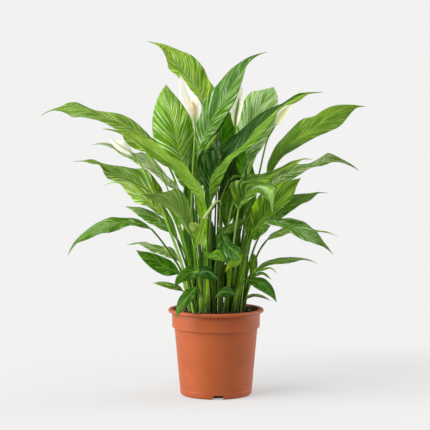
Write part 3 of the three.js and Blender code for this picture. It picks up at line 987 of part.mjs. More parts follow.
  blade: [
    [-7.91, 56.56, 271.7, -10.49, 53.63, 271.52, -5.31, 59.48, 271.09],
    [-7.41, 65.84, 278.37, -13.82, 55.82, 278.09, -0.91, 75.85, 276.69],
    [-6.54, 80.52, 289.75, -18.12, 64.83, 289.28, 5.03, 96.29, 287.22],
    [-5.67, 93.99, 301.32, -20.6, 76.98, 300.95, 8.82, 111.41, 298.85],
    [-5.11, 106.29, 313.1, -21.34, 89.68, 312.63, 10.18, 123.67, 310.71],
    [-4.84, 117.4, 325.04, -20.69, 102.5, 324.41, 9.73, 133.35, 322.8],
    [-4.84, 127.33, 337.14, -18.94, 115.44, 336.29, 7.95, 140.36, 335.11],
    [-5.15, 136.07, 349.36, -16.62, 128.9, 348.17, 4.87, 144.78, 347.49],
    [-5.85, 143.62, 361.69, -13, 142.6, 360.49, 0.07, 147.09, 360.31],
    [-7.06, 150, 374.07, -7.06, 150, 374.07, -7.06, 150, 374.07],
  ],
  along: [0.04, 0.11, 0.22, 0.33, 0.44, 0.56, 0.67, 0.78, 0.89, 1] },
{ name: 'leaf_back_right', upper: 1, arch: 0.1,
  stalk: [
    [13.77, 30, 107, 2.39],
    [13.77, 30, 113, 2.39],
    [15.73, 29.53, 151.22, 2.07],
    [18.69, 28.18, 190.37, 1.84],
    [23.25, 30.8, 229.24, 1.63],
    [30.29, 45, 264.81, 1.43],
  ],
  blade: [
    [32, 50.36, 269.02, 28.85, 53.03, 269.16, 33.66, 47.34, 268.16],
    [34.51, 58.08, 275.26, 26.59, 67.02, 275.44, 38.62, 47.65, 273.27],
    [38.74, 70.68, 285.84, 25.27, 84.81, 286.56, 46.34, 54.01, 282.56],
    [42.99, 82.77, 296.56, 27.99, 99.09, 298.11, 53.03, 64.1, 293.48],
    [47.42, 94.38, 307.34, 32.39, 111.12, 309.35, 59.07, 76.01, 304.18],
    [52.08, 105.49, 318.17, 38.27, 121.15, 320.13, 64.33, 89.17, 314.87],
    [57.04, 116.11, 328.98, 44.91, 128.98, 330.17, 68.76, 103.22, 326.31],
    [61.78, 126.23, 340, 52.02, 134.7, 340.99, 71.58, 117.96, 338.1],
    [66.04, 135.86, 351.3, 59.97, 138.85, 352.44, 72.09, 132.87, 350.23],
    [69.77, 145, 362.86, 69.77, 145, 362.86, 69.77, 145, 362.86],
  ],
  along: [0.04, 0.11, 0.22, 0.33, 0.44, 0.56, 0.67, 0.78, 0.89, 1] },
{ name: 'leaf_back_low_right', upper: 1, arch: 0.1,
  stalk: [
    [23.36, 26.96, 107, 2.17],
    [23.36, 26.96, 113, 2.17],
    [26.9, 24.25, 143.27, 1.89],
    [32.35, 22.11, 174.7, 1.67],
    [39.86, 24.2, 205.64, 1.48],
    [49.48, 38, 232.26, 1.3],
  ],
  blade: [
    [51.15, 42.76, 234.28, 50.05, 44.86, 234.65, 52.24, 40.69, 233.62],
    [53.6, 49.73, 237.28, 50.81, 56.97, 238.06, 56.29, 42.59, 235.77],
    [57.87, 61.36, 242.27, 52.68, 72.89, 244.02, 63, 50.12, 239.17],
    [62.61, 72.89, 246.99, 56.89, 86.07, 249.48, 68.9, 60.33, 242.94],
    [67.83, 84.32, 251.39, 62.62, 97.72, 254.72, 74.53, 71.85, 246.7],
    [73.63, 95.65, 255.26, 69.23, 107.74, 260.13, 80.36, 84.63, 249.92],
    [80.11, 106.89, 258.3, 77.47, 115.97, 265.25, 87.08, 98.98, 252.43],
    [87.3, 118.02, 260.02, 86.55, 122.15, 268.04, 93.71, 114.96, 254.08],
    [94.97, 129.06, 259.84, 95.03, 129.25, 265.47, 98.67, 129, 255.44],
    [102.63, 140, 257.67, 102.63, 140, 257.67, 102.63, 140, 257.67],
  ],
  along: [0.04, 0.11, 0.22, 0.33, 0.44, 0.56, 0.67, 0.78, 0.89, 1] },
];

// Flower stalks, as [x, y, z, radius] from the soil up.
const SCAPES = [
{ name: 'flower_left_of_center_scape', points: [
    [-21.72, -5.27, 107, 1.5],
    [-21.72, -5.27, 113, 1.5],
    [-26.59, -8.84, 165.78, 1.4],
    [-31.61, -8.91, 219.23, 1.33],
    [-32.74, -10.78, 272.86, 1.27],
    [-30.24, -14.62, 326.35, 1.21],
    [-28.94, -19.52, 379.74, 1.15],
  ] },
{ name: 'flower_center_right_scape', points: [
    [4.1, 9.99, 107, 1.5],
    [4.1, 9.99, 113, 1.5],
    [7.57, 10.95, 166.93, 1.4],
    [12.16, 12.58, 221.75, 1.33],
    [18.97, 14.25, 276.35, 1.27],
    [24.19, 15.48, 331.14, 1.21],
    [28.24, 19.09, 385.91, 1.15],
  ] },
{ name: 'flower_left_scape', points: [
    [-29.64, -25.82, 107, 1.5],
    [-29.64, -25.82, 113, 1.5],
    [-40.07, -25.63, 159.27, 1.4],
    [-53.62, -27.97, 205.42, 1.33],
    [-70.13, -31.44, 250.56, 1.27],
    [-90.28, -35.14, 294.1, 1.21],
    [-114.45, -39.51, 335.2, 1.15],
  ] },
{ name: 'flower_bud_right_scape', points: [
    [21.86, 11.82, 107, 1.5],
    [21.86, 11.82, 113, 1.5],
    [29.1, 11.43, 163.87, 1.4],
    [37.82, 11.29, 215.22, 1.33],
    [50.24, 11.41, 265.81, 1.27],
    [62.16, 10.56, 316.49, 1.21],
    [79.53, 6.82, 364.8, 1.15],
  ] },
];

// The white hood of each open flower, as a blade without a stalk.
const SPATHES = [
{ name: 'flower_left_of_center_spathe', upper: 1,
  blade: [
    [-29.82, -13, 373.61, -33.71, -20.05, 377.7, -23.02, -18.52, 376.07],
    [-31.41, -11.41, 385.74, -40.46, -22.29, 390.55, -19.1, -19.83, 387.97],
    [-33.83, -9.86, 396, -45.84, -19.35, 399.73, -20.5, -18.52, 396.78],
    [-37.11, -8.14, 406.03, -49.38, -15.23, 408.61, -25.62, -16.9, 405.06],
    [-40.65, -6.26, 415.98, -49.65, -12.25, 417.51, -32.87, -13.27, 412.88],
    [-44.91, -4.22, 425.65, -48.94, -8.08, 426.5, -39.57, -5.18, 422.67],
    [-48.44, -2.02, 435.61, -48.44, -2.02, 435.61, -48.44, -2.02, 435.61],
  ],
  along: [0.12, 0.29, 0.43, 0.57, 0.71, 0.86, 1] },
{ name: 'flower_center_right_spathe', upper: 1,
  blade: [
    [26.27, 10.73, 367.02, 23.18, 14.18, 368.57, 29.49, 14.52, 366.88],
    [26.79, 10.6, 377.02, 20.51, 15.29, 379.61, 32.99, 16.24, 376.83],
    [28.19, 10.85, 385.53, 20.8, 15.11, 387.48, 35, 16.47, 385.35],
    [29.78, 11.42, 393.99, 23.13, 15.34, 395.91, 36.52, 15.84, 393.86],
    [31.62, 12.32, 402.39, 26.67, 15.25, 404.28, 37.4, 14.4, 402.34],
    [33.76, 13.54, 410.72, 30.95, 14.24, 412.09, 37.27, 13.57, 410.72],
    [35.21, 15.09, 419.19, 35.21, 15.09, 419.19, 35.21, 15.09, 419.19],
  ],
  along: [0.12, 0.29, 0.43, 0.57, 0.71, 0.86, 1] },
{ name: 'flower_left_spathe', upper: 1,
  blade: [
    [-112.6, -46.65, 331.58, -111.87, -42.42, 334.13, -114.41, -42.77, 328.4],
    [-118.53, -46.87, 336.2, -117.55, -41.34, 342.37, -122.16, -40.9, 330.6],
    [-124.22, -46.44, 339.37, -123.78, -42.39, 347.39, -128.58, -40.18, 333.78],
    [-129.69, -45.44, 342.9, -129.8, -40.2, 349.04, -134.14, -39.72, 338.25],
    [-135.01, -43.87, 346.7, -135.45, -38.76, 350.16, -138.35, -39.23, 343.47],
    [-139.9, -41.72, 351, -140.29, -38.71, 352.2, -141.5, -39.12, 349.44],
    [-144.32, -39.01, 355.8, -144.32, -39.01, 355.8, -144.32, -39.01, 355.8],
  ],
  along: [0.12, 0.29, 0.43, 0.57, 0.71, 0.86, 1] },
];

// The knobbly spike inside each open flower.
const SPADICES = [
{ name: 'flower_left_of_center_spadix', points: [
    [-28.94, -19.52, 380.54, 1.86],
    [-29.32, -19.52, 384.27, 2.87],
    [-29.73, -19.52, 387.76, 2.93],
    [-30.23, -19.52, 390.43, 3],
    [-30.8, -19.52, 393.11, 2.74],
    [-31.45, -19.52, 396.66, 2.49],
    [-32.13, -19.52, 400.46, 1.2],
  ] },
{ name: 'flower_center_right_spadix', points: [
    [28.38, 19.09, 386.72, 1.86],
    [28.77, 19.09, 389.36, 2.87],
    [29.16, 19.09, 392, 2.93],
    [29.59, 19.09, 394.72, 3],
    [30.1, 19.09, 397.6, 2.74],
    [30.66, 19.09, 400.57, 2.49],
    [31.21, 19.09, 403.54, 1.2],
  ] },
{ name: 'flower_left_spadix', points: [
    [-115.12, -39.51, 335.73, 1.86],
    [-116.62, -39.51, 336.68, 2.87],
    [-118.12, -39.51, 337.62, 2.93],
    [-119.76, -39.51, 338.66, 3],
    [-121.65, -39.51, 339.84, 2.74],
    [-123.69, -39.51, 341.11, 2.49],
    [-125.73, -39.51, 342.39, 1.2],
  ] },
];

// The rolled hood of the closed bud.
const BUDS = [
{ name: 'flower_bud_right_spathe', points: [
    [79.93, 6.82, 365.47, 1.2],
    [83.37, 7.14, 370.93, 2.92],
    [86.8, 7.57, 376.46, 3.33],
    [90.72, 8.13, 382.05, 3.2],
    [95.36, 8.82, 387.57, 2.7],
    [98.82, 9.63, 391.91, 2.14],
    [103.38, 10.57, 397.87, 1.54],
    [108.6, 11.64, 406.13, 0.98],
    [113.69, 12.82, 416.53, 0.45],
  ] },
];

// ---------- geometry helpers ----------

const V = (x, y, z) => new THREE.Vector3(x, y, z);
const lerp = (a, b, t) => a + (b - a) * t;
function table(x, xs, ys) {
  if (x <= xs[0]) return ys[0];
  for (let i = 1; i < xs.length; i++) {
    if (x <= xs[i]) return lerp(ys[i - 1], ys[i], (x - xs[i - 1]) / (xs[i] - xs[i - 1]));
  }
  return ys[ys.length - 1];
}
const dirOf = (a, b) => b.clone().sub(a).normalize();
const across = (v, t) => v.clone().addScaledVector(t, -v.dot(t)).normalize();

// a closed surface from vertices and triangles, faces pointing out
function closedGeometry(verts, tris) {
  let vol = 0;
  for (const [a, b, c] of tris) vol += verts[a].dot(verts[b].clone().cross(verts[c]));
  const flip = vol < 0;
  const g = new THREE.BufferGeometry();
  g.setAttribute('position', new THREE.Float32BufferAttribute(verts.flatMap((v) => [v.x, v.y, v.z]), 3));
  g.setIndex(tris.flatMap(([a, b, c]) => (flip ? [a, c, b] : [a, b, c])));
  g.computeVertexNormals();
  return g;
}

// the section of a leaf stalk: eight points round a centre
const STALK_ANGLES = [180, 135, 90, 45, 0, -45, -90, -135].map((d) => (d * Math.PI) / 180);

function stalkRings(stalk, firstRow, side0, up0) {
  const c = stalk.map((p) => V(p[0], p[1], p[2]));
  const rings = new Array(c.length);
  let side = side0.clone(), up = up0.clone();
  for (let i = c.length - 1; i >= 0; i--) {
    const t = i <= 1 ? V(0, 0, 1) : dirOf(c[i - 1], i + 1 < c.length ? c[i + 1] : firstRow);
    side = across(side, t);
    const n = side.clone().cross(t);
    if (n.dot(up) < 0) n.negate();
    up = n;
    const r = stalk[i][3];
    rings[i] = STALK_ANGLES.map((a) => c[i].clone()
      .addScaledVector(side, Math.cos(a) * r)
      .addScaledVector(n, Math.sin(a) * r * STALK_FLATNESS));
  }
  // the foot of the stalk stands straight in its socket
  rings[1] = rings[0].map((p) => V(p.x, p.y, p.z + c[1].z - c[0].z));
  return rings;
}

// stalk and blade as one closed body
function leafGeometry({ stalk, blade, along, upper, arch }, half, midHalf) {
  const M = blade.map((r) => V(r[0], r[1], r[2]));
  const L = blade.map((r) => V(r[3], r[4], r[5]));
  const R = blade.map((r) => V(r[6], r[7], r[8]));
  const n = blade.length;
  const N = M.map((m, i) => {
    const t = i === 0 && stalk
      ? M[1].clone().sub(V(stalk.at(-1)[0], stalk.at(-1)[1], stalk.at(-1)[2]))
      : M[Math.min(i + 1, n - 1)].clone().sub(M[Math.max(i - 1, 0)]);
    let s = R[i].clone().sub(L[i]);
    if (s.length() < 0.3) s = R[i - 1].clone().sub(L[i - 1]);
    return s.cross(t).normalize().multiplyScalar(upper);
  });
  const rings = stalk ? stalkRings(stalk, M[0], dirOf(L[0], R[0]), N[0]) : [];
  for (let i = 0; i < n - 1; i++) {
    const k = table(along[i], [0, 0.1, 0.9, 1], [1, 1, 0.6, 0.3]);
    const hm = midHalf * k * table(along[i], [0, 0.15, 0.5, 1], [1.5, 1.1, 0.8, 0.5]);
    const hl = half * k;
    const wl = L[i].distanceTo(M[i]), wr = R[i].distanceTo(M[i]);
    const lm = L[i].clone().add(M[i]).multiplyScalar(0.5).addScaledVector(N[i], arch * wl);
    const rm = R[i].clone().add(M[i]).multiplyScalar(0.5).addScaledVector(N[i], arch * wr);
    const off = (p, d) => p.clone().addScaledVector(N[i], d);
    rings.push([L[i].clone(), off(lm, hl), off(M[i], hm * 0.6), off(rm, hl),
      R[i].clone(), off(rm, -hl), off(M[i], -hm), off(lm, -hl)]);
  }
  const K = 8, verts = rings.flat(), tris = [];
  for (let i = 0; i < rings.length - 1; i++) {
    for (let j = 0; j < K; j++) {
      const a = i * K + j, b = i * K + ((j + 1) % K), c = a + K, e = b + K;
      if (j < 4) tris.push([a, b, e], [a, e, c]);
      else tris.push([a, b, c], [b, e, c]);
    }
  }
  const tip = verts.length, last = (rings.length - 1) * K;
  verts.push(M[n - 1].clone());
  for (let j = 0; j < K; j++) tris.push([last + j, last + ((j + 1) % K), tip]);
  tris.push([0, 7, 1], [1, 6, 2], [1, 7, 6], [2, 5, 3], [2, 6, 5], [3, 5, 4]);
  return closedGeometry(verts, tris);
}

// a round stalk, spadix or bud: rings of a given radius along a line of points
function stemGeometry(points, sides) {
  const c = points.map((p) => V(p[0], p[1], p[2]));
  const m = c.length, verts = [], tris = [];
  const straightFoot = c[0].x === c[1].x && c[0].y === c[1].y;
  let a = null;
  for (let i = 0; i < m; i++) {
    const t = i <= 1 && straightFoot ? V(0, 0, 1) : dirOf(c[Math.max(i - 1, 0)], c[Math.min(i + 1, m - 1)]);
    a = a ? across(a, t) : V(0, 1, 0).cross(t).normalize();
    const b = t.clone().cross(a);
    for (let j = 0; j < sides; j++) {
      const q = (2 * Math.PI * j) / sides;
      verts.push(c[i].clone().addScaledVector(a, Math.cos(q) * points[i][3]).addScaledVector(b, Math.sin(q) * points[i][3]));
    }
  }
  for (let i = 0; i < m - 1; i++) {
    for (let j = 0; j < sides; j++) {
      const x = i * sides + j, y = i * sides + ((j + 1) % sides);
      tris.push([x, y, y + sides], [x, y + sides, x + sides]);
    }
  }
  for (let j = 1; j < sides - 1; j++) {
    tris.push([0, j + 1, j], [(m - 1) * sides, (m - 1) * sides + j, (m - 1) * sides + j + 1]);
  }
  return closedGeometry(verts, tris);
}

// ---------- joining and cutting ----------

const wasm = await Module();
wasm.setup();

function toSolid(geometry) {
  let g = geometry.clone();
  g.deleteAttribute('normal');
  g.deleteAttribute('uv');
  g = mergeVertices(g, 1e-4);
  return new wasm.Manifold(new wasm.Mesh({
    numProp: 3,
    vertProperties: new Float32Array(g.attributes.position.array),
    triVerts: new Uint32Array(g.index.array),
  }));
}

function fromSolid(solid) {
  const mesh = solid.getMesh();
  const g = new THREE.BufferGeometry();
  g.setAttribute('position', new THREE.BufferAttribute(new Float32Array(mesh.vertProperties), 3));
  g.setIndex(new THREE.BufferAttribute(new Uint32Array(mesh.triVerts), 1));
  g.computeVertexNormals();
  return g;
}

// a round body about +Z from a closed [radius, height] profile
function turned(profile, sides) {
  const g = new THREE.LatheGeometry(profile.map(([r, z]) => new THREE.Vector2(r, z)), sides);
  g.rotateX(Math.PI / 2);
  return g;
}

// ---------- pot ----------

const bodyRadius = (z) => lerp(BODY_FOOT_RADIUS, BODY_TOP_RADIUS, z / COLLAR_BOTTOM);
const innerRadius = (z) => (z >= COLLAR_BOTTOM ? COLLAR_RADIUS - WALL : bodyRadius(z) - WALL);

const footArc = [0, 30, 60, 90].map((d) => {
  const a = (d * Math.PI) / 180;
  return [bodyRadius(FOOT_ROUND) - FOOT_ROUND + FOOT_ROUND * Math.sin(a), FOOT_ROUND - FOOT_ROUND * Math.cos(a)];
});
const lipMid = POT_HEIGHT - LIP_HEIGHT / 2;
const lipIn = COLLAR_RADIUS - WALL;
const lipArc = [-90, -50, -15, 20, 55, 90].map((d) => {
  const a = (d * Math.PI) / 180;
  return [LIP_RADIUS - 3 + 3 * Math.cos(a), lipMid + (LIP_HEIGHT / 2) * Math.sin(a)];
});
const potProfile = [
  [0, 0],
  ...footArc,
  [bodyRadius(6.8), 6.8],
  [bodyRadius(7.4) + 0.35, 7.4],
  [bodyRadius(8) , 8],
  [bodyRadius(COLLAR_BOTTOM - 1), COLLAR_BOTTOM - 1],
  [COLLAR_RADIUS - 0.9, COLLAR_BOTTOM],
  [COLLAR_RADIUS, COLLAR_BOTTOM + 1],
  [COLLAR_RADIUS + 0.2, POT_HEIGHT - LIP_HEIGHT - 0.2],
  ...lipArc,
  [lipIn + 2.2, POT_HEIGHT],
  [lipIn + 0.5, POT_HEIGHT - 1],
  [lipIn, POT_HEIGHT - 3],
  [lipIn, COLLAR_BOTTOM + WALL * 0.6],
  [bodyRadius(COLLAR_BOTTOM) - WALL, COLLAR_BOTTOM - 1],
  [bodyRadius(FLOOR) - WALL, FLOOR + 1.6],
  [bodyRadius(FLOOR) - WALL - 1.6, FLOOR],
  [0, FLOOR],
];

let pot = toSolid(turned(potProfile, POT_SIDES));
for (let i = 0; i < NOTCH_COUNT; i++) {
  // a trapezoid, drawn across the notch and its height, driven outwards
  const s = new THREE.Shape();
  s.moveTo(-NOTCH_WIDTH_LOW / 2 - 0.35, -2);
  s.lineTo(NOTCH_WIDTH_LOW / 2 + 0.35, -2);
  s.lineTo(NOTCH_WIDTH_HIGH / 2, NOTCH_HEIGHT);
  s.lineTo(-NOTCH_WIDTH_HIGH / 2, NOTCH_HEIGHT);
  s.closePath();
  const g = new THREE.ExtrudeGeometry(s, { depth: 24, bevelEnabled: false, steps: 1 });
  g.rotateX(Math.PI / 2);            // height goes up, length runs along -Y
  g.translate(0, -NOTCH_INNER_RADIUS, 0);
  g.rotateZ(((NOTCH_FIRST_ANGLE + 90 + (360 / NOTCH_COUNT) * i) * Math.PI) / 180);
  pot = pot.subtract(toSolid(g));
}

// ---------- soil ----------

const soilProfile = [
  [0, FLOOR + SOIL_GAP],
  [bodyRadius(FLOOR) - WALL - 1.6 - SOIL_GAP, FLOOR + SOIL_GAP],
  [bodyRadius(FLOOR) - WALL - SOIL_GAP, FLOOR + 1.6 + SOIL_GAP],
  [bodyRadius(COLLAR_BOTTOM) - WALL - SOIL_GAP, COLLAR_BOTTOM - 0.6],
  [lipIn - SOIL_GAP, COLLAR_BOTTOM + WALL * 0.6 + 0.4],
  [lipIn - SOIL_GAP, SOIL_TOP],
  [0, SOIL_TOP],
];
let soil = toSolid(turned(soilProfile, POT_SIDES));

// a straight socket with the stalk's own section, a little wider
function socket(ring) {
  const cx = ring.reduce((s, p) => s + p.x, 0) / ring.length;
  const cy = ring.reduce((s, p) => s + p.y, 0) / ring.length;
  const s = new THREE.Shape();
  ring.forEach((p, i) => {
    const d = Math.hypot(p.x - cx, p.y - cy), k = (d + SOCKET_GAP * 1.1) / d;
    const x = cx + (p.x - cx) * k, y = cy + (p.y - cy) * k;
    if (i) s.lineTo(x, y); else s.moveTo(x, y);
  });
  s.closePath();
  const g = new THREE.ExtrudeGeometry(s, { depth: SOCKET_DEPTH + 3, bevelEnabled: false, steps: 1 });
  g.translate(0, 0, SOIL_TOP - SOCKET_DEPTH);
  return toSolid(g);
}
function footRing(geometry, sides) {
  const p = geometry.attributes.position, ring = [];
  for (let i = 0; i < sides; i++) ring.push(V(p.getX(i), p.getY(i), p.getZ(i)));
  return ring;
}

// ---------- the plant ----------

const plant = new THREE.Group();

function mesh(name, geometry, color, roughness) {
  const m = new THREE.Mesh(geometry, new THREE.MeshStandardMaterial({ color, roughness, metalness: 0 }));
  m.name = name;
  return m;
}

const sockets = [];
for (const leaf of LEAVES) {
  const g = leafGeometry(leaf, BLADE_HALF_THICKNESS, MIDRIB_HALF_THICKNESS);
  sockets.push(socket(footRing(g, 8)));
  plant.add(mesh(leaf.name, g, leaf.light ? LEAF_LIGHT : LEAF_GREEN, 0.45));
}
for (const scape of SCAPES) {
  const g = stemGeometry(scape.points, SCAPE_SIDES);
  sockets.push(socket(footRing(g, SCAPE_SIDES)));
  plant.add(mesh(scape.name, g, SCAPE_GREEN, 0.5));
}
for (const spathe of SPATHES) {
  plant.add(mesh(spathe.name, leafGeometry({ ...spathe, arch: SPATHE_ARCH }, SPATHE_HALF_THICKNESS, SPATHE_MIDRIB_HALF_THICKNESS), SPATHE_WHITE, 0.5));
}
for (const spadix of SPADICES) plant.add(mesh(spadix.name, stemGeometry(spadix.points, SPADIX_SIDES), SPADIX_TAN, 0.7));
for (const bud of BUDS) plant.add(mesh(bud.name, stemGeometry(bud.points, SPADIX_SIDES), BUD_CREAM, 0.5));

for (const s of sockets) soil = soil.subtract(s);

const model = new THREE.Group();
model.add(mesh('nursery_pot', fromSolid(pot), TERRACOTTA, 0.5));
model.add(mesh('soil', fromSolid(soil), SOIL_BROWN, 0.95));
model.add(plant);

export default model;
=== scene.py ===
"""A potted peace lily: leaves on channelled stalks, white hooded flowers and a
closed bud growing out of dark soil in a terracotta-coloured nursery pot."""
import math

import bpy
import numpy as np
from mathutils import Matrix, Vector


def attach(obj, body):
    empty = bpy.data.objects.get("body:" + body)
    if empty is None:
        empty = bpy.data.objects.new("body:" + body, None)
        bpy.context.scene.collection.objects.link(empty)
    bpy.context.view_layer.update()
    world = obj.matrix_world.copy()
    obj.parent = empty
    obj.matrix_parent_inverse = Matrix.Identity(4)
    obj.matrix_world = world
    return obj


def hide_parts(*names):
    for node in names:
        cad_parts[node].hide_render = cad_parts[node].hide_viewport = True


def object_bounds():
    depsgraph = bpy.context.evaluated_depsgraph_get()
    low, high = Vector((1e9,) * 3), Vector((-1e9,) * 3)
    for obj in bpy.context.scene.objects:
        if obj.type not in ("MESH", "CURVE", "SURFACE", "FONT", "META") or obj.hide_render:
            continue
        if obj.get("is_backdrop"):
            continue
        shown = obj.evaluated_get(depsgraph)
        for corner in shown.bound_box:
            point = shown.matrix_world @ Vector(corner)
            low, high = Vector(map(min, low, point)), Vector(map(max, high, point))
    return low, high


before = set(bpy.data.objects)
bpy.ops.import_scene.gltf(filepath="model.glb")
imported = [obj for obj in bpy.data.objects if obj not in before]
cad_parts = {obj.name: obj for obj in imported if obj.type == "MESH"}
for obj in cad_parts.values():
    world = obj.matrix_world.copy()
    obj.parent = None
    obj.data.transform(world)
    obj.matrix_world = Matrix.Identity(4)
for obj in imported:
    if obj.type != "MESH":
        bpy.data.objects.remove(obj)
WORLD_MID, WORLD_TOP = 0.16, 1.25
CAD_LO, CAD_HI = (np.array(v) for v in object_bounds())
RNG = np.random.default_rng(20817)
MM = 0.001
FOOT = 111.5         # where the stalks go into the soil

